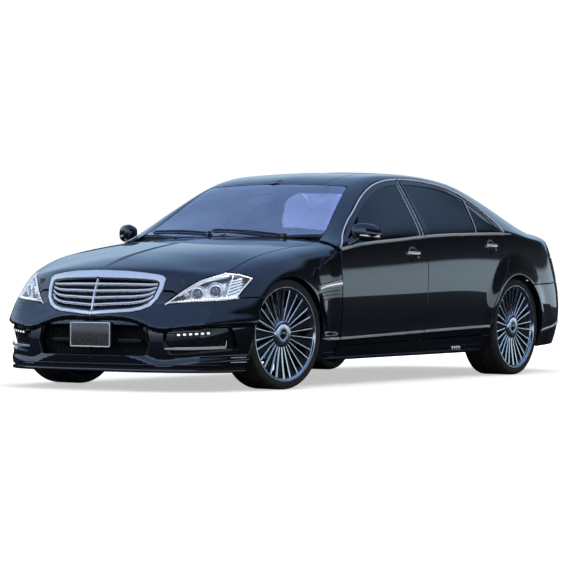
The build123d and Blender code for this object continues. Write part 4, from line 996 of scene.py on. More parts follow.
def ring_of(profile, count):
    verts = [(r * math.sin(2 * math.pi * k / count), y, r * math.cos(2 * math.pi * k / count))
             for k in range(count) for r, y in profile]
    m = len(profile)
    faces = [(k * m + i, (k + 1) % count * m + i, (k + 1) % count * m + (i + 1) % m, k * m + (i + 1) % m)
             for k in range(count) for i in range(m)]
    return outward(np.array(verts), faces)


def block(low, high, bevel=4.0, segments=3):
    """A box with rounded edges."""
    mesh = bmesh.new()
    bmesh.ops.create_cube(mesh, size=1.0)
    low, high = np.array(low, float), np.array(high, float)
    for v in mesh.verts:
        v.co = Vector(low + (np.array(v.co) + 0.5) * (high - low))
    bmesh.ops.bevel(mesh, geom=mesh.edges[:], offset=min(bevel, 0.45 * (high - low).min()), segments=segments,
                    profile=0.5, affect="EDGES")
    return took(mesh)


def took(mesh):
    bmesh.ops.recalc_face_normals(mesh, faces=mesh.faces)
    mesh.verts.index_update()
    out = (np.array([tuple(v.co) for v in mesh.verts]), [tuple(v.index for v in f.verts) for f in mesh.faces])
    mesh.free()
    return out


def slab(outline, axis, low, high, bevel=3.0, segments=2):
    """An outline carried along an axis, with rounded edges."""
    others = [a for a in range(3) if a != axis]
    mesh = bmesh.new()
    base = []
    for point in outline:
        co = [0.0, 0.0, 0.0]
        co[others[0]], co[others[1]], co[axis] = point[0], point[1], low
        base.append(mesh.verts.new(co))
    face = mesh.faces.new(base)
    moved = bmesh.ops.extrude_face_region(mesh, geom=[face])["geom"]
    step = [0.0, 0.0, 0.0]
    step[axis] = high - low
    bmesh.ops.translate(mesh, vec=step, verts=[g for g in moved if isinstance(g, bmesh.types.BMVert)])
    bmesh.ops.recalc_face_normals(mesh, faces=mesh.faces)
    if bevel:
        bmesh.ops.bevel(mesh, geom=mesh.edges[:], offset=bevel, segments=segments,
                        profile=0.5, affect="EDGES", clamp_overlap=True)
    return took(mesh)


def placed(shape, matrix):
    """The shape moved by a 3x3 turn and a shift."""
    turn, shift = matrix
    verts, faces, *rest = shape
    return (np.asarray(verts) @ np.asarray(turn, float).T + np.asarray(shift, float), faces,
            *([None if r is None else r @ np.asarray(turn, float).T for r in rest]))


def standing_on(point, normal, up=(0, 0, 1)):
    """The frame at a place on the skin: first along, then up, then outwards."""
    out = unit(np.array(normal, float))
    right = unit(np.cross(np.array(up, float), out))
    return np.stack([right, np.cross(out, right), out], 1), np.array(point, float)


def egg(centre, half, power=2.6, count=28, rows=18, shape=None):
    """A rounded lump: a superellipsoid, which shape(vertices) may pull about."""
    verts, faces = [], []
    for i in range(rows + 1):
        v = -math.pi / 2 + math.pi * i / rows
        for k in range(count):
            u = 2 * math.pi * k / count
            c = [math.cos(v) * math.cos(u), math.cos(v) * math.sin(u), math.sin(v)]
            size = sum(abs(x) ** power for x in c) ** (1 / power)
            verts.append([centre[a] + half[a] * c[a] / size for a in range(3)])
    for i in range(rows):
        for k in range(count):
            k2 = (k + 1) % count
            faces.append((i * count + k, i * count + k2, (i + 1) * count + k2, (i + 1) * count + k))
    verts = np.array(verts)
    if shape:
        verts = shape(verts)
    mesh = bmesh.new()
    for v in verts:
        mesh.verts.new(tuple(v))
    mesh.verts.ensure_lookup_table()
    for f in faces:
        mesh.faces.new([mesh.verts[i] for i in f])
    bmesh.ops.remove_doubles(mesh, verts=mesh.verts, dist=0.01)
    return took(mesh)


Y_TO_Z = np.array([[1, 0, 0], [0, 0, 1], [0, 1, 0]], float)  # stands a lathed shape upright


def corners(half, low, high):
    """The corners of a box that is centred across the car."""
    return [(-half, low), (half, low), (half, high), (-half, high)]


def plate_edge(x, half, low, high):
    """The rounded line round a number plate."""
    around = corners(half, low, high)
    return [(x, y, z) for y, z in soften(dense(around + around[:1], 15)[:-1], 8)]


def both_sides(*runs):
    """Each run with its mirror image before it."""
    return [np.concatenate([(run * [1, -1, 1])[:0:-1], run]) for run in runs]


def thin_ends(rate, least):
    """Taper of a bar that thins out towards both ends."""
    return lambda t: min(1, rate * t + least, rate * (1 - t) + least)


# ------------------------------------------------------------ radiator grille
GRILLE_HOLE = [(0, 500), (262, 518), (324, 531), (366, 551), (396, 584), (410, 639), (412, 676), (396, 690),
               (312, 699), (203, 704), (0, 708)]


def half_ring(outline, hole, **sizes):
    """Half of a frame between two outlines that both end on the centre line."""
    return cut_sheet(FRONT_FLAT, [("nose", outline + hole[::-1], 0, 0.9)], centre=True, **sizes)


make("grille_frame", whole(*half_ring(GRILLE, GRILLE_HOLE, spacing=14, gap=1.5, hem=6, thick=26, corner=22,
                                      lift=5)), CHROME, "hood", stands_for=["grille"])
inner = whole(*half_ring(GRILLE_HOLE, [(0, 508), (258, 525), (318, 538), (359, 556), (388, 587), (402, 639),
                                       (403, 674), (392, 683), (311, 692), (203, 697), (0, 701)],
                         spacing=14, gap=-1, hem=1, thick=34, corner=16, lift=-3))
make("grille_inner_frame", inner, GLOSS, "hood")
back = whole(*cut_sheet(FRONT_FLAT, [("nose", GRILLE_HOLE, 0, 0.9)], centre=True, spacing=30, gap=-3, hem=1,
                        thick=4, lift=-44))
make("grille_screen", back, DULL, "hood")


def grille_z(y, share):
    top = np.interp(y, [0, 203, 312, 411], [708, 704, 699, 688])
    low = np.interp(y, [0, 262, 324, 366, 396], [500, 518, 531, 551, 584])
    return top + share * (low - top)


bars = []
for k, share in enumerate((0.16, 0.37, 0.58, 0.80)):
    reach = float(np.interp(grille_z(378, share), [500, 552, 585, 640, 680], [273, 361, 392, 405, 407]))
    ys = np.linspace(0, reach, 26)
    p, n = on_skin(FRONT, "nose", [(y, float(grille_z(y, share))) for y in ys], 40, -14, 0, 0.9)
    p, n = both_sides(p, n)
    for drop, tall, deep in ((0, 5.5, 9), (-9, 1.8, 14)):
        bars.append(rail(p + np.array([0, 0, drop]) - n * (4 if drop else 0), n, rounded(tall, deep, 0.5)))
make("grille_slats", joined(*bars), CHROME, "hood")
middle, middle_n = on_skin(FRONT, "nose", [(0, 703), (0, 503)], 20, -12, 0, 0.9)
make("grille_centre_bar", rail(middle, middle_n, rounded(6, 10, 0.5)), CHROME, "hood")
steps = []
for y in np.linspace(-394, 394, 45):
    low, high = float(grille_z(abs(y), 0.97)), float(grille_z(abs(y), 0.03))
    if abs(y) > 366:
        low = 585 if abs(y) < 390 else 640
    p, n = on_skin(FRONT, "nose", [(abs(y), low), (abs(y), high)], 60, -38, 0, 0.9)
    steps.append(rail(p * [1, np.sign(y) or 1, 1], n * [1, np.sign(y) or 1, 1], rounded(1.6, 4, 0.8, 6)))
make("grille_uprights", joined(*steps), SATIN, "hood")

# ------------------------------------------------------------ headlights
LAMP_RUN = [("ws", LAMP_TOP), ("ws", LAMP_TIP[1:]), ("ws", LAMP_BOTTOM[1:]), ("side", LAMP_REAR, 0, 0.6),
            ("side", LAMP_REAR_TOP, 0.3, 0.72)]
lens = cut_sheet(FRONT_FLAT, LAMP_RUN, spacing=16, gap=3.5, hem=1.5, thick=3, corner=10, edge=9, lift=0.5)
pair("headlight_lens", lens, LENS, stands_for=["headlights"])
bowl = cut_sheet(FRONT_FLAT, LAMP_RUN, spacing=18, gap=7, hem=1, thick=3, corner=10, edge=9, lift=-64)
pair("headlight_bowl", bowl, LAMP_BOWL)


def lamp_loop(lift, inset):
    """A closed run just inside the lamp's outline."""
    loop = np.concatenate([FRONT_FLAT.flat(v, p, *(rest or (0, 1)), 7) for v, p, *rest in LAMP_RUN])
    loop = loop[np.linalg.norm(loop - np.roll(loop, 1, 0), axis=1) > 1]
    loop = soften(loop, 10)
    p, _, _, nc = FRONT_FLAT.frame(loop)
    along_loop = unit(np.roll(p, -1, 0) - np.roll(p, 1, 0))
    inward = unit(np.cross(along_loop, nc)) * (-1 if area(loop) > 0 else 1)
    return p - nc * lift + inward * inset, -nc


for name, lift, inset, half_w, half_h, mat in (("headlight_rim", -5, 10.5, 3.6, 3.0, CHROME),
                                               ("headlight_wall", -34, 9, 2, 30, SATIN)):
    p, n = lamp_loop(lift, inset)
    pair(name, rail(p, n, rounded(half_w, half_h, 0.5, 8), True), mat, "car_body",
         "chrome" if mat == CHROME else "dark_trim")


def lamp_place(w, s, lift):
    p, n = on_skin(FRONT, "ws", [(w, s), (w + 1, s)], 50, lift)
    return p[0], n[0]


LAMP_AIM = unit(np.array([0.86, 0.50, 0.05]))


def facing_lamp(point):
    right = unit(np.cross([0, 0, 1], LAMP_AIM))
    return np.stack([right, LAMP_AIM, np.cross(right, LAMP_AIM)], 1), point


def projector(radius):
    """A projector lamp about the Y axis, lens towards +Y: chrome ring and glass eye."""
    shroud = ring_of([(radius * 0.86, 0), (radius * 0.90, 8), (radius, 12),
                      (radius * 1.14, 8), (radius * 1.28, -6), (radius * 1.30, -26), (radius * 0.9, -26)], 48)
    ring_two = ring_of([(radius * 1.42, -2), (radius * 1.48, 1), (radius * 1.54, -2), (radius * 1.5, -30),
                        (radius * 1.40, -30)], 48)
    eye = lathe([(0.01, 11), (radius * 0.25, 10.4), (radius * 0.5, 8),
                 (radius * 0.72, 3), (radius * 0.85, -3), (radius * 0.85, -14), (0.01, -14)], 40)
    return shroud, ring_two, eye


EYE = finish("projector_eye", (0.01, 0.015, 0.04), (0.04, 0.06, 0.12), 40, (0.02, 0.05), Coat_Weight=1.0)
rings, eyes = [], []
for w, s, radius, deep in ((2484, 0.452, 33, -30), (2353, 0.480, 37, -34)):
    point, _ = lamp_place(w, s, deep)
    shroud, ring_two, eye = projector(radius)
    rings += [placed(shroud, facing_lamp(point)), placed(ring_two, facing_lamp(point))]
    eyes.append(placed(eye, facing_lamp(point)))
pair("headlight_projector_rings", joined(*rings), REFLECTOR)
pair("headlight_projector_eyes", joined(*eyes), EYE, "car_body", "lamp_glass")

pieces_in = []
for k, (wa, sa, wb, sb) in enumerate(((2143, 0.585, 2237, 0.568), (2150, 0.555, 2248, 0.533),
                                      (2159, 0.526, 2258, 0.496),
                                      (2170, 0.496, 2270, 0.460), (2182, 0.465, 2279, 0.427),
                                      (2196, 0.432, 2288, 0.397))):
    pieces_in.append(rail(*on_skin(FRONT, "ws", [(wa, sa), (wb, sb)], 12, -16), rounded(6.5, 7, 0.6, 8)))
pieces_in.append(rail(*on_skin(FRONT, "ws", [(2186, 0.645), (2232, 0.554), (2288, 0.417), (2299, 0.383)], 10,
                               -13), rounded(5, 9, 0.6, 8)))
pair("headlight_ribs", joined(*pieces_in), REFLECTOR)
sweep, sweep_n = on_skin(FRONT, "ws", [(2215, 0.658), (2324, 0.620), (2428, 0.563),
                                       (2532, 0.475), (2612, 0.402)], 10, -13)
brow = rail(sweep, sweep_n, rounded(7, 7, 0.5, 10), taper=lambda t: 1.25 - 0.75 * t)
low_run, low_n = on_skin(FRONT, "ws", [(2224, 0.399), (2352, 0.383), (2494, 0.369), (2626, 0.349)], 10, -10)
ledge = rail(low_run, low_n, rounded(9, 5, 0.5, 10), taper=lambda t: 1.15 - 0.5 * t)
pair("headlight_brow", joined(brow, ledge), REFLECTOR)
cells = []
for t in np.linspace(0.03, 0.97, 21):
    w = 2224 + 402 * t
    s = float(np.interp(w, [2224, 2352, 2494, 2626], [0.401, 0.384, 0.371, 0.351]))
    point, normal = lamp_place(w, s, -3.5)
    cells.append(placed(block((-5, -4, -3), (5, 4, 3), 1.5, 1), standing_on(point, normal)))
pair("headlight_leds", joined(*cells), LED)
point, normal = lamp_place(2561, 0.437, -26)
amber = placed(lathe([(0.01, 8), (10, 7), (17, 2), (19, -6), (19, -14), (0.01, -14)], 32), facing_lamp(point))
pair("headlight_amber", amber, AMBER)
plate = cut_sheet(FRONT_FLAT,
                  [("ws", [(2243, 0.613), (2319, 0.598), (2428, 0.546), (2520, 0.465), (2596, 0.392),
                           (2488, 0.387), (2351, 0.402), (2303, 0.409)])], spacing=14, gap=0,
                  hem=2, thick=4, corner=14, lift=-48)
pair("headlight_reflector", plate, REFLECTOR)

# ------------------------------------------------------------ front bumper fittings
pair("side_intake_panel", cut_sheet(FRONT_FLAT, [("ws", INTAKE)], spacing=14, gap=-4,
                                    hem=1, thick=4, corner=14, lift=-30), GLOSS)
shelf, shelf_n = on_skin(FRONT, "ws", [(2655, 0.140), (2540, 0.147), (2400, 0.150), (2290, 0.150)], 12, -20)
pair("side_intake_shelf", rail(shelf, shelf_n, rounded(7, 13, 0.6, 8)), GLOSS)
cells = []
for t in np.linspace(0.0, 1.0, 6):
    w, s = 2590 - 175 * t, 0.129 + 0.009 * t
    point, normal = lamp_place(w, s, -8)
    cells.append(placed(block((-10, -6.5, -5), (10, 6.5, 4), 3, 2), standing_on(point, normal)))
led_run, led_n = on_skin(FRONT, "ws", [(2612, 0.128), (2395, 0.140)], 12, -14)
pair("daylight_led_cells", joined(*cells), LED)
pair("daylight_led_housing", rail(led_run, led_n, rounded(11, 8, 0.5, 10)), SATIN, "car_body", "dark_trim")
bar, bar_n = on_skin(FRONT, "ws", [(2668, 0.0665), (2480, 0.0680), (2302, 0.0710)], 12, -2)
fin, fin_n = on_skin(FRONT, "ws", [(2301, 0.0705), (2299, 0.100)], 5, -3)
pair("bumper_chrome_bar",
     joined(rail(bar, bar_n, rounded(8.5, 5, 0.5, 10), taper=lambda t: 0.55 + 0.45 * min(1, 5 * t)),
            rail(fin, fin_n, rounded(3.0, 5, 0.6, 8), taper=lambda t: 1 - 0.6 * t)), CHROME)
bars = []
for s in (0.0185, 0.0325):
    bars.append(rail(*on_skin(FRONT, "ws", [(2262, s), (2150, s)], 10, 1.0), rounded(3.2, 3, 0.6, 8)))
pair("corner_bright_bars", joined(*bars), BRIGHT)
wash, wash_n = on_skin(FRONT, "ws", [(2509, 0.317), (2397, 0.329), (2430, 0.264),
                                     (2534, 0.261), (2509, 0.317)], 8, -0.3)
pair("washer_cover_edge", rail(wash[:-1], wash_n[:-1], rounded(1.1, 0.9, 0.8, 6), True), SEAL)

# the centre intake: a dark mesh behind two angled blades and the plate
# the slab behind the mesh is near black as painted shade
mesh_back = slab(soften(np.array([(-425, 205), (425, 205), (440, 300), (425, 425), (-425, 425), (-440, 300)],
                                 float), 14), 0, 2476, 2482, 1)
make("centre_intake_back", mesh_back, SHADE)
cells = []
for row_z in np.arange(242, 420, 17):
    ys = np.linspace(0, 410, 24)
    p, n = on_skin(FRONT, "nose", [(y, row_z) for y in ys], 40, -70, 0, 0.5)
    p, n = both_sides(p, n)
    cells.append(rail(p, n, rounded(1.5, 5, 0.8, 6)))
for y in np.arange(-400, 401, 25):
    p, n = on_skin(FRONT, "nose", [(abs(y), 234), (abs(y), 420)], 60, -72, 0, 0.5)
    side = np.array([1, -1 if y < 0 else 1, 1])
    cells.append(rail(p * side, n * side, rounded(1.3, 3.5, 0.8, 6)))
make("centre_intake_mesh", joined(*cells), SATIN)
blade, blade_n = on_skin(FRONT, "nose", [(395, 412), (414, 360), (428, 300), (408, 236)], 10, -14, 0, 0.5)
pair("intake_blade", rail(blade, unit(blade_n + [0, -0.9, 0]), rounded(5, 22, 0.6, 10),
                          taper=lambda t: 1.1 - 0.5 * t), PAINT)
wing = whole(*cut_sheet(FRONT_FLAT,
                        [("nose", [(0, 300), (330, 300), (352, 306), (352, 322), (330, 328), (0, 328)], 0,
                          0.5)], centre=True, spacing=16, gap=0, hem=4, thick=40, corner=6, lift=-34))
make("intake_cross_bar", wing, GLOSS)

plate_body = slab(corners(152.5, 275, 427), 0, 2604.2, 2607.2, 1.0)
make("front_plate_face", plate_body, PLATE, stands_for=["front_plate"])
make("front_plate_rim", rail(plate_edge(2606.6, 150, 277, 425), [1, 0, 0], rounded(4.2, 2.4, 0.6, 8), True),
     BRIGHT)
make("front_plate_bracket", slab(corners(156, 270, 432), 0, 2585, 2604.2, 4), SATIN)
screws = [placed(lathe([(0.01, 3), (4, 2.6), (6, 1), (6.4, -1), (0.01, -1)], 20),
                 (np.array([[0, 1, 0], [1, 0, 0], [0, 0, 1]], float), (2607.5, y, 410))) for y in (-89, 89)]
make("front_plate_screws", joined(*screws), STEEL)

# the splitter: two stepped lips under the bumper
def lip(lift, z, half_h, half_w, w0=2150, w1=3150):
    """A blade round the nose at one height, standing off the skin."""
    ws = [(w, 0.004) for w in np.linspace(w0, w1, 60)]
    p, n = on_skin(FRONT, "ws", ws, 40, 0)
    n[:, 2] = 0
    n = unit(n)
    p = p + n * lift
    p[:, 2] = z
    p[-1, 1], n[-1, 1] = 0, 0
    p = np.concatenate([p, (p * [1, -1, 1])[-2::-1]])
    n = np.concatenate([n, (n * [1, -1, 1])[-2::-1]])
    return rail(p, n, rounded(half_h, half_w, 0.45, 10))


make("splitter_blade", lip(-22, 131, 11, 26), PAINT)
make("splitter_step", lip(-30, 152, 12, 20), SATIN)
make("splitter_edge", lip(-1.5, 170, 3.5, 5), PAINT)


# ------------------------------------------------------------ bright trim along the side
def side_strip(name, points, tall, out, mat, bodies, slot, lift=1.0, low=0.3, high=0.9,
               taper=None, view="side", step=14):
    p, n = on_skin(CABIN, view, points, step, lift, low, high)
    return pair(name, rail(p, n, rounded(tall, out, 0.55, 10), taper=taper), mat, bodies, slot)


side_strip("front_belt_moulding", belt(1040, -84, 30), 9.5, 5, CHROME, "front_door_{}", "chrome", 2, 0.3, 0.8)
side_strip("rear_belt_moulding", belt(-99, -1338, 34), 9.5, 5, CHROME, "rear_door_{}", "chrome", 2, 0.3, 0.8)
side_strip("quarter_belt_moulding", belt(-1352, -1462, 6), 5, 3.5, CHROME, "car_body", "chrome", 1, 0.3, 0.8,
           lambda t: 1 - 0.5 * t)
front_arc = [(1050, 905)] + [(731, 1099)] + arc(600, -208, 22, 1)
rear_arc = arc(-225, -1206, 26, 1) + [(-1302, 1122), (-1342, 1046)]
side_strip("front_window_strip", front_arc, 5.5, 5.5, CHROME, "front_door_{}", "chrome", 2.5, 0.3, 0.9)
side_strip("rear_window_strip", rear_arc, 5.5, 5.5, CHROME, "rear_door_{}", "chrome", 2.5, 0.3, 0.9)
side_strip("front_frame_edges", [(-86, 1006), (-200, top_z(-200) - 12)], 1.6, 3, BRIGHT,
           "front_door_{}", "chrome", 0)
side_strip("front_glass_edge", [(-36, 1002), (-146, top_z(-146) - 38)], 1.6, 3, BRIGHT,
           "front_door_{}", "chrome", 0)
side_strip("rear_frame_edge", [(-106, 1007), (-226, top_z(-226) - 12)], 1.3, 3, SATIN,
           "rear_door_{}", "black_trim", 0)
side_strip("quarter_glass_bar", [(-880, 1034), (-1035, top_z(-1035) - 34)], 7, 5, GLOSS,
           "rear_door_{}", "black_trim", -1)
side_strip("quarter_glass_edge", [(-872, 1034), (-1026, top_z(-1026) - 34)], 1.5, 3, BRIGHT,
           "rear_door_{}", "chrome", 2)


def strip_z(x):
    """Height of the bright strip low on the doors."""
    return 316 + (1044 - x) / 2000 * 48


for name, x0, x1, on in (("front_door_lower_strip", 1062, -40, "front_door_{}"),
                         ("rear_door_lower_strip", -56, -990, "rear_door_{}")):
    side_strip(name, [(x, strip_z(x)) for x in np.linspace(x0, x1, 20)], 8.5, 5, CHROME,
               on, "chrome", 1.5, 0, 0.5)
nose_run, nose_n = on_skin(FRONT, "side", [(1086, strip_z(1086)), (1200, strip_z(1200)),
                                           (1316, strip_z(1316) + 6)], 10, 1.5, 0, 0.5)
pair("fender_lower_strip", rail(nose_run, nose_n, rounded(8.5, 5, 0.55, 10),
                                taper=lambda t: 1 - 0.8 * t ** 2), CHROME)

# door handles: a bright bar across a shallow round recess
for name, x, z, on in (("front_handle", 112, 876, "front_door_{}"),
                       ("rear_handle", -1062, 938, "rear_door_{}")):
    p, n = on_skin(CABIN, "side", [(x, z), (x - 1, z)], 9, 0, 0.2, 0.6)
    frame_at = standing_on(p[0], n[0])
    dish = lathe([(58, 0.6), (57, 1.6), (54.5, 1.6), (53, 0.2), (44, -1.2), (24, -3.0), (0.01, -3.6)], 48)
    dish = (dish[0][:, [0, 2, 1]] * [1, 0.86, 1], dish[1])
    pair(name + "_dish", placed(outward(*dish), frame_at), GLOSS, on)
    ring_edge = ring_of([(60, 1.0), (58.5, 2.6), (57, 1.0), (58.5, -1)], 56)
    ring_edge = (ring_edge[0][:, [0, 2, 1]] * [1, 0.86, 1], ring_edge[1])
    pair(name + "_edge", placed(outward(*ring_edge), frame_at), STEEL, on, "black_trim")
    bow = [(t, 2 + 0.0006 * t * t, 20 - 13 * abs(t / 84) ** 3) for t in np.linspace(-82, 82, 26)]
    pull = rail(bow, [0, 0, 1], rounded(11, 6, 0.5, 14), taper=lambda t: 1 - 0.35 * abs(2 * t - 1) ** 4)
    ends = [block((a - 10, -7, -3), (a + 10, 7, 12), 4, 2) for a in (-72, 72)]
    pair(name + "_pull", placed(joined(pull, *ends), frame_at), CHROME, on)
    lock = placed(lathe([(0.01, 3), (5, 2.5), (6.5, 0), (0.01, -2)], 20), (Y_TO_Z, (0, 0, 0)))
    pair(name + "_lock", placed((lock[0] + [70, -24, 1], lock[1]), frame_at), BRIGHT, on)

# ------------------------------------------------------------ door mirrors
def swept_back(shape):
    """The mirror's outer end leans towards the tail."""
    verts = np.array(shape[0], float)
    verts[:, 0] -= 0.5 * np.clip(verts[:, 1] - 915, 0, None)
    return (verts, *shape[1:])


def mirror_form(v):
    v = v.copy()
    u = (v[:, 1] - 968) / 84
    v[:, 2] += -6 * u - 10 * np.clip(u, 0, 1) ** 2 * np.sign(v[:, 2] - 1008)
    v[:, 0] = np.where(v[:, 0] < 868, 868 - (868 - v[:, 0]) * 0.75, v[:, 0] - 14 * np.clip(u, 0, 1) ** 2)
    return v


housing = swept_back(egg((868, 968, 1012), (54, 83, 60), 2.7, 44, 30, mirror_form))
pair("mirror_housing", housing, PAINT, "front_door_{}", stands_for=["door_mirror_{}"])


def mirror_face(scale_y, scale_z, x0, x1, bevel=1.0):
    pts = []
    for t in np.linspace(0, 2 * math.pi, 40, endpoint=False):
        c, s = math.cos(t), math.sin(t)
        y = 966 + scale_y * np.sign(c) * abs(c) ** 0.7
        pts.append((y, 1010 - 6 * (y - 968) / 84 + scale_z * np.sign(s) * abs(s) ** 0.75))
    return slab(pts, 0, x0, x1, bevel, 1)


pair("mirror_rim", swept_back(mirror_face(76, 51, 825, 836, 2)), SATIN, "front_door_{}", "dark_trim")
pair("mirror_glass", swept_back(mirror_face(70, 46, 822.5, 825.6, 0.6)), MIRROR_GLASS, "front_door_{}")
turn_strip = []
for t in np.linspace(-0.15, 1.32, 22):
    y = 968 + 82.5 * math.sin(t)
    x = 868 + 53.5 * math.cos(t) - 14 * max(0, math.sin(t)) ** 2
    turn_strip.append((x + 0.4, y, 993 - 6 * (y - 968) / 84))
pair("mirror_indicator",
     swept_back(rail(turn_strip, [(math.cos(t), math.sin(t), 0) for t in np.linspace(-0.15, 1.32, 22)],
                     rounded(7.0, 2.6, 0.5, 10), taper=lambda t: 0.55 + 0.6 * t)), CLEAR_LENS,
     "front_door_{}")
seam_line = [(x - 0.2, y, z - 12) for x, y, z in turn_strip]
pair("mirror_seam",
     swept_back(rail(seam_line, [(math.cos(t), math.sin(t), 0) for t in np.linspace(-0.15, 1.32, 22)],
                     rounded(1.2, 1.6, 0.8, 6))), SEAL, "front_door_{}")
foot = rail([(905, 880, 936), (900, 902, 946), (888, 922, 958), (878, 940, 972)], [1, 0, 0],
            rounded(15, 26, 0.6, 14), taper=lambda t: 1.15 - 0.35 * t)
pair("mirror_foot", foot, PAINT, "front_door_{}")
gusset = cut_sheet(CABIN_FLAT, [("side", belt(1040, 880, 6, 10), 0.3, 0.8),
                                ("side", [(876, 1004), (1028, 916)], 0.3, 0.85)],
                   spacing=16, thick=8, gap=2, corner=6, lift=1.2)
pair("mirror_gusset", gusset, GLOSS, "front_door_{}")

# ------------------------------------------------------------ fender vent and its blade
blade, blade_n = on_skin(FRONT, "side", [(1404, 644), (1300, 655), (1200, 667), (1104, 677)], 10, 12, 0, 0.6)
pair("vent_blade", rail(blade, blade_n, rounded(12, 6, 0.5, 12), taper=lambda t: 0.95 + 0.75 * t), CHROME)
pair("vent_blade_face", rail(blade[2:-1] + blade_n[2:-1] * 5.5, blade_n[2:-1], rounded(8, 1.4, 0.5, 8),
                             taper=lambda t: 0.95 + 0.75 * t), BRIGHT)
slats = []
for drop in (34, 58, 82):
    slats.append(rail(*on_skin(FRONT, "side", [(1392 - drop * 0.35, 640 - drop), (1250, 652 - drop),
                                               (1108, 664 - drop)], 12, 6, 0, 0.6), rounded(3.2, 7, 0.6, 8)))
pair("vent_slats", joined(*slats), GLOSS)
lines = []
for pts in ([(1300, 838), (1362, 770), (1401, 690)], [(1288, 832), (1348, 764), (1386, 690)]):
    lines.append(rail(*on_skin(FRONT, "side", pts, 10, 8, 0, 0.7), rounded(2.0, 6, 0.6, 8)))
for pts in ([(1392, 610), (1366, 520), (1308, 430), (1278, 360)],
            [(1374, 600), (1340, 500), (1290, 424), (1262, 360)]):
    lines.append(rail(*on_skin(FRONT, "side", pts, 12, 8, 0, 0.6), rounded(2.0, 6, 0.6, 8)))
pair("vent_edges", joined(*lines), PAINT)

# ------------------------------------------------------------ side skirts
for name, off, z0, z1, tall, deep, mat in (("skirt_step", -4, 222, 236, 4, 9, PAINT),
                                           ("skirt_lip", -6, 184, 196, 7, 12, PAINT)):
    xs = np.linspace(1310 if name == "skirt_step" else 1290, -1010, 46)
    pts, out = [], []
    for x in xs:
        skin = FRONT if x > 1077 else CABIN
        z = z0 + (1077 - x) / 2100 * (z1 - z0)
        q = skin.locate("side", [(x, max(z, 178))], 0, 0.4)
        p, n = skin.at(q[:, 0], q[:, 1])[0], skin.normal(q[:, 0], q[:, 1])[0]
        n = unit(np.array([n[0], n[1], 0]))
        pts.append(np.array([p[0], p[1], z]) + n * off)
        out.append(n)
    pair(name, rail(pts, out, rounded(tall, deep, 0.5, 12), taper=thin_ends(12, 0.25)),
         mat, "car_body", "paint")
fins = []
for k in range(4):
    x = -540 - 34 * k
    q = CABIN.locate("side", [(x, 214)], 0, 0.4)
    p, n = CABIN.at(q[:, 0], q[:, 1])[0], CABIN.normal(q[:, 0], q[:, 1])[0]
    run = [p + n * 3 + [12, 0, 16], p + n * 5 + [-3, 0, 2], p + n * 3 + [4, 0, -15]]
    fins.append(rail(run, [0, 1, 0], rounded(10, 3.0, 0.6, 8), taper=lambda t: 1 - 0.5 * abs(2 * t - 1)))
pair("skirt_fins", joined(*fins), CHROME)

# ------------------------------------------------------------ tail
LAMP_OUTLINE = [("tail", [(568, 700), (568, 868)], 0.1, 0.7), level(CABIN, 868, W_LID_TOP, -2165),
                ("side", [(-2165, 868), (-2240, 745), (-2330, 700)], 0, 0.6),
                level(CABIN, 700, -2330, W_LID_LOW)]
pair("taillight_lens", cut_sheet(CABIN_FLAT, LAMP_OUTLINE, spacing=16, gap=4, hem=3,
                                 thick=18, corner=16, lift=1.5), RED_LENS, stands_for=["taillights"])
bands, rims = [], []
for z, mat_list in ((764, bands), (806, bands), (842, rims)):
    run = level(CABIN, z, float(CABIN.locate("tail", [(600, z)], 0, 0.7)[0, 0]), -2235 - (868 - z) * 0.6)
    mat_list.append(rail(*on_skin(CABIN, "ws", run[1], 14, 2.5),
                         rounded(9 if mat_list is bands else 5, 3, 0.5, 8)))
pair("taillight_bands", joined(*bands), CLEAR_LENS)
pair("taillight_ribs", joined(*rims), RED_LENS)
brow, brow_n = on_skin(CABIN, "tail", [(y, 912) for y in np.linspace(0, 470, 24)], 40, 3, 0.1, 0.85)
brow, brow_n = both_sides(brow, brow_n)
make("lid_handle_strip", rail(brow, brow_n, rounded(11, 9, 0.5, 12),
                              taper=lambda t: 1 - 0.5 * abs(2 * t - 1) ** 3), CHROME, "trunk_lid")
make("rear_plate_face", slab(corners(152.5, 725, 877), 0, -2600, -2596.5, 1.0), PLATE,
     "trunk_lid", stands_for=["rear_plate"])
make("rear_plate_rim", rail(plate_edge(-2599.4, 150, 727, 875), [-1, 0, 0], rounded(2.6, 2.2, 0.6, 8), True),
     BRIGHT, "trunk_lid")
make("rear_plate_back", slab(corners(158, 719, 883), 0, -2596.5, -2560, 4), SATIN, "trunk_lid")
screws = [placed(lathe([(0.01, 2.4), (4, 2), (6, 0.8), (6.4, -1), (0.01, -1)], 20),
                 (np.array([[0, -1, 0], [1, 0, 0], [0, 0, 1]], float), (-2600, y, 860))) for y in (-89, 89)]
make("rear_plate_screws", joined(*screws), STEEL, "trunk_lid")

lip_pts, _ = on_skin(CABIN, "plan", [(-2440, 0), (-2440, 540)], 30, 2, 0.6, 1)
lip_pts, = both_sides(lip_pts)
make("deck_lip", rail(lip_pts, [0, 0, 1], rounded(26, 8, 0.7, 14), taper=thin_ends(8, 0.2)),
     PAINT, "trunk_lid")
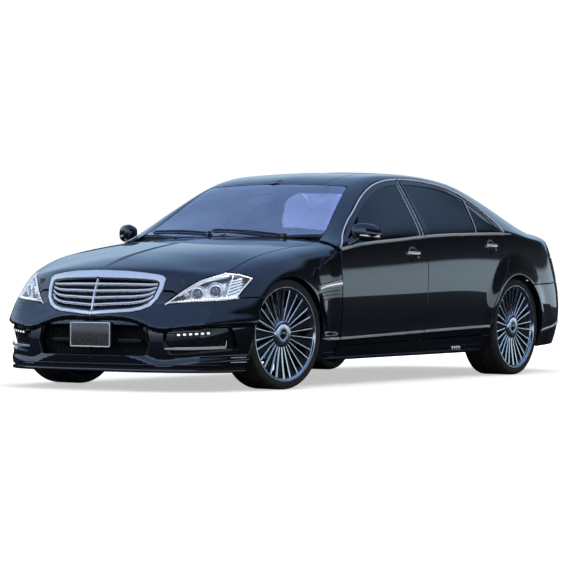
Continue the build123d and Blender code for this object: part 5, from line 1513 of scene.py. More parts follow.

# rear bumper: side vents, bright edges, diffuser and tailpipes
# each side vent is a flat near-black sheet on the skin: painted shade for the opening
vent = [(-1828, 520), (-2020, 512), (-2036, 396), (-1880, 372)]
pair("rear_vent", cut_sheet(CABIN_FLAT, [("side", vent, 0, 0.5)], spacing=14, gap=0, hem=1, thick=5, corner=8,
                            lift=1.2), SHADE)
side_strip("rear_bumper_strip", [(-1850, 318), (-2100, 346), (-2380, 392)], 9, 4, BRIGHT,
           "car_body", "chrome", 1, 0, 0.5)
diffuser = whole(*cut_sheet(CABIN_FLAT,
                            [("tail", [(0, 232), (500, 236), (470, 372), (430, 392), (0, 392)], 0, 0.5)],
                            centre=True, spacing=24, gap=0, hem=2, thick=12, corner=16, lift=1.5))
make("diffuser_panel", diffuser, SATIN)
fins = []
for y in (-360, -240, -120, 0, 120, 240, 360):
    fins.append(slab([(-2604, 240), (-2598, 372), (-2585, 380), (-2480, 240)], 1, y - 5, y + 5, 2, 1))
make("diffuser_fins", joined(*fins), GLOSS)
tips = []
for y in (-560, 560):
    for dy in (-44, 44):
        shell = ring_of([(36, 0), (39, 2), (42, 0), (42, -70), (38, -72), (36, -70)], 48)
        flat_shape = (shell[0][:, [0, 2, 1]] * [1, 0.82, 1], shell[1])
        turn = np.array([[0, 0, -1], [1, 0, 0], [0, 1, 0]], float)
        tips.append(placed(outward(*flat_shape), (turn, (-2606, y + dy, 262))))
make("tailpipe_tips", joined(*tips), CHROME)

# ------------------------------------------------------------ glass borders, cowl and wipers
border = whole(*cut_sheet(CABIN_FLAT,
                          [("plan", SCREEN + [(455, 0), (450, 245), (425, 520),
                                              (700, 604), (950, 684), (1052, 396), (1076, 0)], 0.6, 1)],
                          centre=True, spacing=22, gap=1.5, hem=0.6, thick=2.0, corner=5, lift=-7.4))
make("windscreen_border", border, GLOSS)
cowl = whole(*cut_sheet(CABIN_FLAT,
                        [("plan", [(1122, 0), (1098, 400), (996, 728), (968, 716), (1060, 392), (1090, 0)],
                          0.55, 1)], centre=True, spacing=16, gap=0, hem=2,
                        thick=8, corner=6, lift=-7))
make("cowl_panel", cowl, SATIN)
wipers = []
for base_y, tip in ((480, (1035, -110)), (-120, (972, -640))):
    a = CABIN.locate("plan", [(1075, abs(base_y))], 0.6, 1)
    start = CABIN.at(a[:, 0], a[:, 1])[0] * [1, np.sign(base_y), 1] + [0, 0, 12]
    b = CABIN.locate("plan", [(tip[0], abs(tip[1]))], 0.6, 1)
    end = CABIN.at(b[:, 0], b[:, 1])[0] * [1, np.sign(tip[1]), 1] + [0, 0, 14]
    wipers.append(rail([start, start * 0.5 + end * 0.5 + [0, 0, 9], end], [0.3, 0, 1],
                       rounded(5.5, 3.5, 0.6, 8), taper=lambda t: 1.25 - 0.6 * t))
    mid = start * 0.42 + end * 0.58
    run = []
    for t in np.linspace(-0.5, 0.44, 20):
        spot = mid + (end - start) * t * 1.02
        q = CABIN.locate("plan", [(spot[0], abs(spot[1]) + 1)], 0.6, 1)
        run.append(CABIN.at(q[:, 0], q[:, 1])[0] * [1, np.sign(spot[1]) or 1, 1] + [0, 0, 5])
    wipers.append(rail(run, [0.3, 0, 1], rounded(3.5, 5, 0.6, 8)))
    wipers.append(placed(lathe([(0.01, 10), (9, 9), (13, 4), (14, -14), (0.01, -14)], 28),
                         (Y_TO_Z, start)))
make("wipers", joined(*[outward(*w) for w in wipers]), SATIN)
hole = [("plan", [(395, 0), (395, 380), (50, 415), (50, 0)], 0.6, 1)]
make("sunroof_glass",
     whole(*cut_sheet(CABIN_FLAT, hole, centre=True, spacing=26, gap=2, hem=1.2, thick=4, corner=30,
                      lift=0.9)), GLOSS)
washers = []
for y in (-300, 300):
    q = FRONT.locate("plan", [(1215, abs(y))], 0.6, 1)
    spot = FRONT.at(q[:, 0], q[:, 1])[0] * [1, np.sign(y), 1]
    washers.append(placed(egg((0, 0, 2), (16, 11, 6), 2.4, 20, 12), (np.eye(3), spot)))
make("washer_jets", joined(*washers), SATIN, "hood")


# ------------------------------------------------------------ wheels, about Y with the outer face at +Y
def spoke(start, finish_at, angle, lean, half_w, top_y, low_y, depth, rows=14):
    """A polished ridge from near the hub to the lip; it leans away from the radius."""
    verts = []
    for k in range(rows + 1):
        t = k / rows
        r = start + t * (finish_at - start)
        wide = half_w[0] + (half_w[1] - half_w[0]) * t
        shift = lean * (t ** 1.15)
        y = top_y + (low_y - top_y) * (1 - t) ** 1.6 - 5 * math.sin(math.pi * t)
        deep = depth * (1.0 - 0.35 * t)
        for across, up in ((-1.0, -deep), (-1.0, -3.0), (-0.72, -0.5), (0.0, 0.6), (0.72, -0.5),
                           (1.0, -3.0), (1.0, -deep)):
            verts.append((r, shift + across * wide, y + up))
    m = 7
    faces = []
    for k in range(rows):
        for i in range(m):
            j = (i + 1) % m
            faces.append((k * m + i, (k + 1) * m + i, (k + 1) * m + j, k * m + j))
    faces += [tuple(range(m)), tuple(rows * m + i for i in range(m))[::-1]]
    verts = np.array(verts)
    c, s = math.cos(angle), math.sin(angle)
    x = verts[:, 0] * s + verts[:, 1] * c
    z = verts[:, 0] * c - verts[:, 1] * s
    return outward(np.stack([x, verts[:, 2], z], 1), faces)


def wheel_shapes(half, front):
    """Bright, grey and dark parts of one wheel; the grey barrel, bolts and valve and the near-black recesses
    are painted shade. half is half its width.
    """
    face = half - 20
    bright, grey, dark = [], [], []
    lip = [(303.0, half - 6), (303.5, half - 10), (301, half - 16), (292, half - 30), (288, half - 60),
           (286.0, half - 60), (285.5, half - 26), (284.0, half - 15), (289, half - 8.5), (296, half - 5.5),
           (300.5, half - 4.8)]
    bright.append(ring_of(lip, 120))
    if not front:
        bright.append(ring_of([(283.5, half - 20), (279, half - 22), (276, half - 27), (276, half - 34),
                               (283.5, half - 34)], 120))
    grey.append(ring_of([(292, half - 58), (284, half - 60), (272, half - 84), (270, 0), (272, -half + 40),
                         (290, -half + 16), (303, -half + 9), (303, -half + 3),
                         (299, -half + 3), (286, -half + 14),
                         (268.5, -half + 42), (266.5, 0), (268.5, half - 82), (280, half - 56)], 96))
    count = 13
    for k in range(count):
        angle = 2 * math.pi * (k + 0.25) / count
        for side in (-1, 1):
            turn = angle + side * 0.113
            bright.append(spoke(64, 285, turn, side * 6.5, (5.5, 8.6), face, face - 20, 30))
        # the web between the two ridges of a group, near black as painted shade
        web = spoke(60, 283, angle, 0, (4.2, 21), face - 9, face - 27, 22)
        dark.append(web)
    bright.append(ring_of([(84, face - 22), (83, face - 12), (78, face - 7.5),
                           (60, face - 5), (36, face - 5.5),
                           (33, face - 8), (33, face - 44), (84, face - 44)], 72))
    # near-black rings in the bolt seats are painted shade; the bolts take the darkened alloy
    for k in range(5):
        a = 2 * math.pi * (k + 0.1) / 5
        seat = np.array([58 * math.sin(a), face - 4.6, 58 * math.cos(a)])
        dark.append(placed(ring_of([(11.5, -1.2), (9.0, -0.2), (7.4, -2.5), (7.4, -12), (11.5, -12)], 24),
                           (np.eye(3), seat)))
        grey.append(placed(lathe([(0.01, -4.5), (5.2, -4.6), (6.4, -6), (6.4, -14), (0.01, -14)], 6),
                           (np.eye(3), seat)))
    cap = outward(*lathe([(0.01, face - 3.4), (12, face - 3.6), (24, face - 4.8),
                          (29.5, face - 6.5), (31.5, face - 10), (31.5, face - 30), (0.01, face - 30)], 56))
    cap_ring = ring_of([(34.5, face - 5), (32.5, face - 3.2), (30, face - 5.2),
                        (30, face - 12), (34.5, face - 12)], 56)
    bright.append(cap_ring)
    valve = tube([(0, half - 36, 279), (0, half - 14, 263)], 3.2, 10)
    grey.append(valve)
    # a near-black ring behind the hub: painted shade
    shell = ring_of([(110, face - 40), (70, face - 34), (50, face - 42), (50, 30), (72, 24),
                     (96, 22), (112, face - 62)], 64)
    dark.append(shell)
    return bright, grey, dark, cap


def brake_disc():
    rotor = [ring_of([(188, 22), (190, 24), (190, 31), (188, 33), (112, 33), (110, 31), (110, 24), (112, 22)],
                     96),
             ring_of([(188, 12), (190, 14), (190, 20.5), (112, 20.5), (110, 18), (110, 14), (112, 12)], 96)]
    vanes = []
    for k in range(40):
        a = 2 * math.pi * k / 40
        c, s = math.cos(a), math.sin(a)
        turn = np.array([[c, 0, s], [0, 1, 0], [-s, 0, c]])
        vanes.append(placed(block((118, 20, -2), (186, 23, 2), 0.4, 1), (turn, (0, 0, 0))))
    bell = ring_of([(118, 30), (113, 40), (104, 42), (60, 42), (60, 38), (100, 37), (108, 30),
                    (110, 24), (118, 24)], 72)
    return joined(*rotor, *vanes, bell)


def tyre_shape(half):
    """The carcass with rounded shoulders, ribs cut round the tread and a moulded sidewall."""
    tread = []
    for y, r in ((half - 8, 346.5), (half - 16, 350.2), (half - 30, 352.2), (half - 44, 352.8)):
        tread.append((r, y))
    for centre in (half - 50, 24, -24, -half + 50):
        tread += [(352.9, centre + 5), (345.5, centre + 4), (345.5, centre - 4), (352.9, centre - 5)]
    tread += [(352.8, -half + 44), (352.2, -half + 30), (350.2, -half + 16), (346.5, -half + 8)]
    side_out = [(278, half - 30), (290, half - 12), (297, half - 8.5),
                (301.5, half - 6.0), (303.5, half - 2.6),
                (306, half - 1.4), (309.5, half - 1.2), (310.5, half - 2.2),
                (318, half - 1.0), (326, half - 0.5),
                (329, half - 0.4), (330, half - 1.4), (333, half - 1.9), (334, half - 1.2),
                (339, half - 3.0), (343.5, half - 5.4)]
    side_in = [(r, -y) for r, y in side_out[::-1]]
    inner = [(272, -half + 42), (282, -half + 50), (325, -half + 30), (338, 0),
             (325, half - 30), (282, half - 50), (272, half - 42)]
    return ring_of(side_out + tread + side_in + inner, 112)


def tread_cuts(half):
    """Small raised blocks across the shoulder ribs."""
    out = []
    for k in range(64):
        a = 2 * math.pi * k / 64
        c, s = math.cos(a), math.sin(a)
        for side in (1, -1):
            path = [(349.0 * s, side * (half - 14), 349.0 * c), (352.0 * s, side * (half - 26), 352.0 * c),
                    (352.4 * math.sin(a + 0.03), side * (half - 43), 352.4 * math.cos(a + 0.03))]
            out.append(rail(path, [(s, 0, c)] * 3, rounded(3.2, 0.8, 0.6, 6)))
    return out


def calliper(turned_to):
    """A brake calliper over the disc, at an angle round from the top."""
    parts = []
    for low, high in ((5, 14), (33, 44)):
        outline = [(math.sin(a) * r, math.cos(a) * r) for r, a in
                   ([(214, t) for t in np.linspace(-0.36, 0.36, 12)]
                    + [(140, t) for t in np.linspace(0.30, -0.30, 8)])]
        parts.append(slab(outline, 1, low, high, 3, 2))
    arcs = [(216, t) for t in np.linspace(-0.30, 0.30, 10)] + [(196, t) for t in np.linspace(0.30, -0.30, 8)]
    bridge = [(math.sin(a) * r, math.cos(a) * r) for r, a in arcs]
    parts.append(slab(bridge, 1, 8, 42, 3, 2))
    for a in (-0.16, 0.16):
        parts.append(placed(lathe([(0.01, 47), (15, 46), (19, 43), (20, 34), (0.01, 34)], 28),
                            (np.eye(3), (172 * math.sin(a), 0, 172 * math.cos(a)))))
    c, s = math.cos(turned_to), math.sin(turned_to)
    return placed(joined(*[outward(*p) for p in parts]),
                  (np.array([[c, 0, s], [0, 1, 0], [-s, 0, c]]), (0, 0, 0)))


STEER_COS, STEER_SIN = math.cos(REST_STEER), math.sin(REST_STEER)
FLIP = np.diag([1.0, -1.0, 1.0])


def steer_turn(side):
    """The turn of a front wheel at rest; the right one is the mirror image of the left."""
    # turning by minus 8 degrees about the vertical takes +Y to (sin 8, cos 8)
    turn = np.array([[STEER_COS, STEER_SIN, 0], [-STEER_SIN, STEER_COS, 0], [0, 0, 1]])
    return turn @ (np.eye(3) if side > 0 else FLIP)


for axle, width in (("front", 255), ("rear", 275)):
    shapes = wheel_shapes(width / 2, axle == "front")
    tyre = joined(tyre_shape(width / 2), *tread_cuts(width / 2))
    disc = brake_disc()
    for side, name in ((1, "left"), (-1, "right")):
        if axle == "front":
            off = 25.0
            place = (steer_turn(side),
                     (FRONT_AXLE + side * off * STEER_SIN, side * (STEER_AXIS_Y + off * STEER_COS), HUB_Z))
            held, holder = (steer_turn(side), place[1]), "knuckle_" + name
        else:
            place = (np.eye(3) if side > 0 else FLIP, (REAR_AXLE, side * 785, HUB_Z))
            held, holder = place, "car_body"
        body, tag = f"wheel_{axle}_{name}", f"{axle}_{name}"

        def put(piece, shape, mat, on, slot, stands=(), flat=False):
            shape = placed(shape, place)
            if side < 0:
                shape = (shape[0], [tuple(f)[::-1] for f in shape[1]])
            make(piece, shape, mat, on, slot, list(stands), flat)

        put(f"rim_spokes_{tag}", joined(*shapes[0]), ALLOY, body, "polished_alloy", [f"rim_{tag}"])
        # the barrel and bolts in darkened alloy and the recesses in near black are painted shade
        put(f"rim_barrel_{tag}", joined(*shapes[1]), ALLOY_DARK, body, "polished_alloy")
        put(f"rim_recesses_{tag}", joined(*shapes[2]), SHADE, body, "black_trim")
        put(f"rim_cap_{tag}", shapes[3], GLOSS, body, "black_trim")
        put(f"brake_disc_{tag}", disc, STEEL, body, "steel")
        put(f"tyre_body_{tag}", tyre, RUBBER, body, "tyre", [f"tyre_{tag}"])
        put(f"calliper_{tag}", calliper(-1.75 if axle == "front" else 1.75), CAST, holder, "cast_metal")


# ------------------------------------------------------------ padded seats
def stuffed(shape, voxel=9.5, cap=12.0, pressure=4.0):
    """The shape remeshed and blown out like a stuffed cover; no vertex moves more than cap."""
    mesh = bpy.data.meshes.new("pad")
    mesh.from_pydata([tuple(v) for v in np.asarray(shape[0]) * MM], [],
                     [tuple(map(int, f)) for f in shape[1]])
    obj = bpy.data.objects.new("pad", mesh)
    bpy.context.scene.collection.objects.link(obj)
    remesh = obj.modifiers.new("remesh", "REMESH")
    remesh.mode, remesh.voxel_size = "VOXEL", voxel * MM
    relax = obj.modifiers.new("relax", "SMOOTH")
    relax.factor, relax.iterations = 0.5, 6

    def read():
        found = obj.evaluated_get(bpy.context.evaluated_depsgraph_get()).to_mesh()
        out = np.empty(len(found.vertices) * 3)
        found.vertices.foreach_get("co", out)
        return out.reshape(-1, 3) / MM, [tuple(p.vertices) for p in found.polygons]

    start, faces = read()
    plain = bpy.data.meshes.new("pad_even")
    plain.from_pydata([tuple(v) for v in start * MM], [], faces)
    obj.modifiers.clear()
    obj.data = plain
    cloth = obj.modifiers.new("cloth", "CLOTH")
    cloth.settings.quality = 4
    cloth.settings.use_pressure = True
    cloth.settings.uniform_pressure_force = pressure
    cloth.settings.effector_weights.gravity = 0
    cloth.point_cache.frame_start, cloth.point_cache.frame_end = 1, 20
    for number in range(1, 21):
        bpy.context.scene.frame_set(number)
    moved, _ = read()
    bpy.context.scene.frame_set(1)
    step = moved - start
    length = np.linalg.norm(step, axis=1, keepdims=True)
    moved = start + step * np.minimum(1, cap / np.maximum(length, 1e-6))
    bpy.data.objects.remove(obj)
    return moved, faces


def sewn(shape, distance, depth=7.0, width=8.0, facing=None):
    """Presses sewn channels into the cover: distance gives each vertex's distance to its nearest seam."""
    mesh = bmesh.new()
    for v in shape[0]:
        mesh.verts.new(tuple(v))
    mesh.verts.ensure_lookup_table()
    for f in shape[1]:
        mesh.faces.new([mesh.verts[i] for i in f])
    mesh.normal_update()
    normals = np.array([tuple(v.normal) for v in mesh.verts])
    mesh.free()
    verts = np.array(shape[0])
    pull = depth * np.exp(-(distance(verts) / width) ** 2)
    if facing is not None:
        pull *= smooth((normals @ np.asarray(facing) - 0.15) / 0.4)
    return verts - normals * pull[:, None], shape[1]


def wrapped(shape, path, lift=1.2):
    """A run laid on the nearest place of a shape, with the outward normals there."""
    tree = BVHTree.FromPolygons([tuple(v) for v in shape[0]], [tuple(f) for f in shape[1]])
    spots, normals = [], []
    for p in path:
        spot, normal, *_ = tree.find_nearest(Vector(p))
        spots.append(np.array(spot) + lift * np.array(normal))
        normals.append(np.array(normal))
    return np.array(spots), np.array(normals)


def leaning(points, foot, lean):
    """From a seat back's own axes (up the back, across, forward) to the car's."""
    c, s = math.cos(lean), math.sin(lean)
    points = np.asarray(points, float)
    return np.stack([foot[0] - points[:, 0] * s + points[:, 2] * c, points[:, 1],
                     foot[1] + points[:, 0] * c + points[:, 2] * s], 1)


def flutes(axis, places, across_from, across_to):
    """Distance to a row of channels that cross one panel, and to the panel's two side seams."""
    def distance(v):
        near = np.abs(v[:, axis, None] - np.array(places)[None]).min(1)
        over = np.maximum(np.maximum(across_from - v[:, 1], v[:, 1] - across_to), 0)
        sides = np.minimum(np.abs(v[:, 1] - across_from), np.abs(v[:, 1] - across_to))
        inside_run = (v[:, axis] > min(places) - 45) & (v[:, axis] < max(places) + 45)
        return np.minimum(np.hypot(near, over), np.where(inside_run, sides, 99))
    return distance


STITCH = finish("seam_thread", (0.05, 0.05, 0.052), (0.09, 0.09, 0.092), 200, (0.5, 0.7), 0.6, 900)


def padded_piece(name, shape, seams, sides, slot="leather", stands_for=(), mirror_it=True):
    """A padded cover with its piping, on one or both sides of the car."""
    pipes = [rail(*wrapped(shape, dense(run, 14), 1.4), rounded(2.6, 2.6, 0.9, 6)) for run in seams]
    threads = joined(*pipes)
    for side in sides:
        turned = shape if side != "right" else mirrored(*shape)
        cords = threads if side != "right" else mirrored(*threads)
        tag = f"_{side}" if mirror_it else ""
        pad = make(name + tag, turned, LEATHER, "car_body", slot,
                   list(stands_for) if side == sides[0] else [])
        make(name + "_piping" + tag, cords, STITCH, "car_body", slot)


BOTH = ("left", "right")
base = joined(block((186, 158, 345), (676, 642, 462), 34, 4), block((200, 158, 380), (640, 222, 490), 28, 4),
              block((200, 578, 380), (640, 642, 490), 28, 4), block((640, 170, 370), (684, 630, 455), 20, 3))
seat = sewn(stuffed(base), flutes(0, [252, 312, 372, 432, 492, 552, 612], 228, 572), 8, 7, (0, 0, 1))
padded_piece("front_seat_cushion", seat, [[(195, 158, 470), (640, 158, 480), (676, 200, 440), (676, 600, 440),
                                           (640, 642, 480), (195, 642, 470)],
                                          [(205, 226, 480), (660, 226, 480)],
                                          [(205, 574, 480), (660, 574, 480)]], BOTH,
             stands_for=["front_seats"])
FOOT, LEAN = (165, 478), 0.335
back = joined(block((0, 162, -52), (590, 638, 42), 32, 4), block((60, 162, -20), (520, 222, 76), 26, 4),
              block((60, 578, -20), (520, 638, 76), 26, 4), block((470, 200, -46), (640, 600, 30), 26, 4))
back = stuffed(back)
back = sewn(back, flutes(0, [70, 130, 190, 250, 310, 370, 430], 228, 572), 8, 7, (0, 0, 1))
leaned = (leaning(back[0], FOOT, LEAN), back[1])
padded_piece("front_seat_back", leaned, [leaning(run, FOOT, LEAN) for run in (
    [(20, 160, 30), (520, 160, 60), (640, 205, 10), (640, 595, 10), (520, 640, 60), (20, 640, 30)],
    [(30, 226, 60), (560, 226, 40)], [(30, 574, 60), (560, 574, 40)],
    [(30, 165, -52), (600, 165, -50), (640, 230, -46), (640, 570, -46), (600, 635, -50), (30, 635, -52)])],
             BOTH)
rest = stuffed(joined(block((0, -132, -28), (150, 132, 42), 30, 4)), 8, 9)
rest_at = (leaning(rest[0] + [655, 400, -34], FOOT, LEAN), rest[1])
padded_piece("front_headrest", rest_at, [leaning(run, FOOT, LEAN) for run in (
    [(700, 266, -34), (800, 272, -34), (806, 400, -34), (800, 528, -34), (700, 534, -34)],)], BOTH)
pins = [tube(leaning([(560, y, -10), (700, y, -20)], FOOT, LEAN), 7, 12) for y in (340, 460)]
pair("front_headrest_pins", joined(*[outward(*p) for p in pins]), CHROME)
shell = slab([(20, -56), (580, -58), (600, -66), (560, -74), (60, -74), (20, -66)], 1, 175, 625, 6, 2)
pair("front_seat_shell", (leaning(shell[0], FOOT, LEAN), shell[1]), SOFT_TRIM)
pocket = slab([(120, -75), (400, -75), (410, -84), (110, -86)], 1, 230, 570, 4, 2)
pair("front_seat_pocket", (leaning(pocket[0], FOOT, LEAN), pocket[1]), LEATHER)
valance = [block((210, 150, 300), (660, 166, 372), 6, 3), block((210, 634, 300), (660, 650, 372), 6, 3),
           block((160, 646, 330), (420, 662, 352), 7, 3), block((640, 190, 318), (668, 610, 360), 8, 3)]
pair("front_seat_side", joined(*valance), SOFT_TRIM)
runners = [block((200, y - 16, 226), (660, y + 16, 250), 4, 2) for y in (230, 570)] + \
         [block((x - 14, y - 9, 246), (x + 14, y + 9, 350), 3, 2) for y in (230, 570) for x in (240, 620)]
pair("front_seat_runners", joined(*runners), STEEL)

base = joined(block((-935, 20, 345), (-440, 672, 470), 34, 4),
              block((-480, 30, 350), (-428, 660, 460), 22, 3),
              block((-930, 590, 380), (-470, 676, 486), 26, 4))
seat = sewn(stuffed(base, 10.5), flutes(0, [-880, -820, -760, -700, -640, -580, -520], 170, 590), 8, 7.5,
            (0, 0, 1))
padded_piece("rear_seat_cushion", seat, [[(-930, 672, 480), (-470, 672, 470), (-430, 640, 440),
                                          (-430, 40, 440), (-470, 22, 470), (-930, 22, 480)],
                                         [(-920, 168, 480), (-450, 168, 470)],
                                         [(-920, 592, 480), (-450, 592, 470)]], BOTH,
             stands_for=["rear_seat"])
FOOT, LEAN = (-905, 500), 0.40
back = joined(block((0, 20, -44), (560, 674, 36), 30, 4), block((40, 592, -20), (520, 676, 62), 26, 4),
              block((470, 60, -40), (610, 640, 24), 24, 4))
back = sewn(stuffed(back, 10.5), flutes(0, [60, 120, 180, 240, 300, 360, 420], 170, 590), 8, 7.5, (0, 0, 1))
padded_piece("rear_seat_back", (leaning(back[0], FOOT, LEAN), back[1]), [leaning(run, FOOT, LEAN) for run in (
    [(20, 674, 30), (520, 672, 40), (610, 640, 0), (610, 60, 0), (520, 24, 40), (20, 22, 30)],
    [(30, 168, 50), (560, 168, 30)], [(30, 592, 50), (560, 592, 30)])], BOTH)
rest = stuffed(joined(block((0, -125, -24), (118, 125, 34), 26, 4)), 8, 8)
padded_piece("rear_headrest", (leaning(rest[0] + [608, 385, -30], FOOT, LEAN), rest[1]), [leaning(
    [(640, 262, -28), (722, 268, -28), (728, 385, -28), (722, 502, -28), (640, 508, -28)], FOOT, LEAN)], BOTH)
arm = stuffed(joined(block((-930, -128, 505), (-620, 128, 592), 26, 4)), 8, 9)
arm = sewn(arm, lambda v: np.abs(v[:, 1]), 5, 6, (0, 0, 1))
padded_piece("rear_armrest", arm, [[(-640, -124, 590), (-900, -124, 590)],
                                   [(-640, 124, 590), (-900, 124, 590)]], ("left",), mirror_it=False)
plinth = slab([(-955, 300), (-440, 300), (-428, 345), (-955, 350)], 1, -680, 680, 8, 2)
make("rear_seat_plinth", plinth, CARPET, "car_body", "dark_trim")

# ------------------------------------------------------------ dashboard, console and wheel
top = slab([(1000, 905), (862, 898), (806, 872), (792, 838), (800, 826), (870, 842), (1000, 850)], 1, -722,
           722, 14, 3)
hood_cowl = slab([(862, 896), (838, 940), (760, 928), (752, 908), (800, 880)], 1, 205, 540, 12, 3)
low = slab([(1000, 846), (872, 838), (802, 822), (820, 760), (872, 660), (1000, 645)], 1, -716, 716, 12, 3)
make("dashboard_top", joined(top, hood_cowl), SOFT_TRIM, stands_for=["dashboard"])
make("dashboard_lower", low, SOFT_TRIM)
strip = [rail([(796 + abs(y) ** 2 / 90000, y, 800 - abs(y) / 90) for y in np.linspace(a, b, 16)],
              [-1, 0, 0.25], rounded(17, 6, 0.4, 12)) for a, b in ((-712, -150), (150, 196), (548, 712))]
make("dashboard_wood", joined(*strip), WOOD)
make("instrument_screen", slab([(788, 868), (772, 922), (778, 924), (796, 870)], 1, 232, 512, 2, 1), DISPLAY)
make("centre_screen", joined(slab([(776, 870), (762, 930), (770, 932), (786, 872)], 1, -118, 118, 2, 1),
                             slab([(786, 868), (770, 934), (800, 936), (812, 868)], 1, -128, 128, 6, 2)),
     DISPLAY)
vents = []
for y in (-640, -70, 70, 640):
    for k in range(5):
        vents.append(block((787, y - 52, 838 + 9 * k - 26), (806, y + 52, 841 + 9 * k - 26), 1, 1))
    vents.append(rail([(790, y - 56, 808), (786, y - 56, 852), (786, y + 56, 852), (790, y + 56, 808)],
                      [-1, 0, 0.2], rounded(3, 4, 0.6, 8), True))
make("dashboard_vents", joined(*vents), BRIGHT)
glove = [rail([(812, y0, 772), (812, y1, 772), (858, y1, 688), (858, y0, 688)], [-1, 0, -0.5],
              rounded(1.6, 1.6, 0.9, 6), True)
         for y0, y1 in ((-650, -260),)]
make("glovebox_seam", joined(*glove), SEAL)
console = joined(slab([(860, 560), (800, 640), (770, 700), (800, 745), (872, 760), (872, 560)], 1, -118, 118,
                      14, 3),
                 slab([(860, 330), (860, 590), (700, 560), (560, 530), (300, 520), (110, 520), (60, 470),
                       (50, 330)], 1, -112, 112, 16, 3))
make("centre_console", console, SOFT_TRIM)
make("console_wood", slab([(800, 598), (690, 571), (560, 544), (400, 535), (400, 529), (800, 590)], 1, -92,
                          92, 2, 1), WOOD)
arm = stuffed(block((110, -108, 520), (392, 108, 572), 20, 4), 8, 7)
arm = sewn(arm, lambda v: np.abs(v[:, 1]), 4, 6, (0, 0, 1))
padded_piece("console_armrest", arm, [[(130, -104, 566), (380, -104, 566)],
                                      [(130, 104, 566), (380, 104, 566)]], ("left",), mirror_it=False)
dial = joined(placed(lathe([(0.01, 22), (20, 21), (26, 16), (27, 0), (0.01, 0)], 40),
                     (Y_TO_Z, (480, 0, 536))), *[block((x, y, 540), (x + 20, y + 26, 552), 3, 2)
                                                 for x in (560, 596, 632) for y in (-62, -13, 36)],
              *[block((776 - 2 * k, y, 655 + 22 * k), (790 - 2 * k, y + 30, 668 + 22 * k), 3, 2)
                for k in range(3) for y in (-90, -40, 10, 60)])
make("console_controls", joined(outward(*dial[:2])), BRIGHT)
pedals = [slab([(1060, 330 + a), (1010, 420 + a), (1016, 428 + a), (1068, 338 + a)], 1, y0, y1, 3, 2)
          for y0, y1, a in ((452, 560, 10), (300, 352, 0))]
make("pedals", joined(*pedals), STEEL)

TILT = math.radians(-22)
WHEEL_AT = (np.array([[math.cos(TILT), 0, -math.sin(TILT)], [0, 1, 0], [math.sin(TILT), 0, math.cos(TILT)]]) @
            np.array([[0, 0, -1], [0, 1, 0], [1, 0, 0]], float), (705, 370, 885))
# in the wheel's own axes x points up the wheel, y across, z back towards the driver
loop_pts = [(178 * math.cos(t), 178 * math.sin(t), 0)
            for t in np.linspace(0, 2 * math.pi, 72, endpoint=False)]
rim_part = rail(loop_pts, [0, 0, 1], rounded(13.5, 14.5, 0.85, 16), True)
hub_pad = egg((-6, 0, 2), (62, 74, 22), 2.8, 36, 18)
arms = [rail([(-4, s * 60, 2), (0, s * 120, 1), (6, s * 172, 0)], [0, 0, 1], rounded(20, 6, 0.5, 12),
             taper=lambda t: 1.1 - 0.25 * t)
        for s in (1, -1)] + [rail([(-50, s * 16, 0), (-110, s * 22, -1), (-172, s * 30, 0)], [0, 0, 1],
                                  rounded(9, 5, 0.5, 10)) for s in (1, -1)]
make("steering_rim", placed(joined(rim_part, hub_pad), WHEEL_AT), LEATHER, "steering_wheel",
     stands_for=["steering_wheel"])
make("steering_spokes", placed(joined(*arms), WHEEL_AT), SATIN, "steering_wheel", "trim")
buttons = [block((x, s * 96 - 9, 4), (x + 12, s * 96 + 9, 10), 2.5, 2)
           for s in (1, -1) for x in (-20, -4, 12)]
make("steering_buttons", placed(joined(*buttons, ring_of([(1, 0), (1.1, 1), (1.2, 0)], 8)), WHEEL_AT), BRIGHT,
     "steering_wheel")
column = tube([(735, 370, 872), (800, 370, 848), (880, 370, 812)], 34, 24, taper=lambda t: 0.9 + 0.3 * t)
stalks = [tube([(752, 370 + s * 20, 868), (740, 370 + s * 90, 880), (728, 370 + s * 150, 888)], 7, 12,
               taper=lambda t: 0.8 + 0.4 * t) for s in (1, -1)]
make("steering_column", joined(outward(*column), *[outward(*stalk) for stalk in stalks]), SOFT_TRIM)

# ------------------------------------------------------------ door linings, roof lining, mirror
front_card = cut_sheet(CABIN_FLAT, [
    ("side", [(-30, 300), (1040, 285), (1040, 850)], 0, 0.5), ("side", belt(1000, -64, 12, -22), 0, 0.6),
    ("side", [(-62, 800), (-40, 500)], 0, 0.6)], spacing=30, thick=46, gap=6, hem=5, lift=-34)
pair("front_door_lining", front_card, SOFT_TRIM, "front_door_{}")
rear_card = cut_sheet(CABIN_FLAT, [
    ("side", [(-110, 960), (-105, 800), (-72, 500), (-70, 312)], 0, 0.6),
    ("side", [(-985, 335), (-1010, 520), (-1100, 650), (-1210, 760), (-1300, 870), (-1310, 1000)], 0, 0.6),
    ("side", belt(-1300, -112, 12, -22), 0, 0.6)], spacing=30, thick=46, gap=6, hem=5, lift=-34)
pair("rear_door_lining", rear_card, SOFT_TRIM, "rear_door_{}")
for name, x0, x1, z0, z1 in (("front_door", 780, 160, 640, 690), ("rear_door", -260, -900, 690, 740)):
    run = []
    for x, z in zip(np.linspace(x0, x1, 14), (z0 + (z1 - z0) * k / 13 for k in range(14))):
        q = CABIN.locate("side", [(x, z)], 0, 0.6)
        run.append((x, float(CABIN.at(q[:, 0], q[:, 1])[0, 1]) - 96, z))
    pair(name + "_armrest", rail(run, [0, -1, 0], rounded(26, 22, 0.5, 14), taper=thin_ends(6, 0.3)),
         LEATHER, name + "_{}")
    run = [(x, y + 10, z + 120) for x, y, z in run]
    pair(name + "_wood", rail(run, [0, -1, 0], rounded(14, 5, 0.5, 10), taper=thin_ends(6, 0.3)),
         WOOD, name + "_{}")
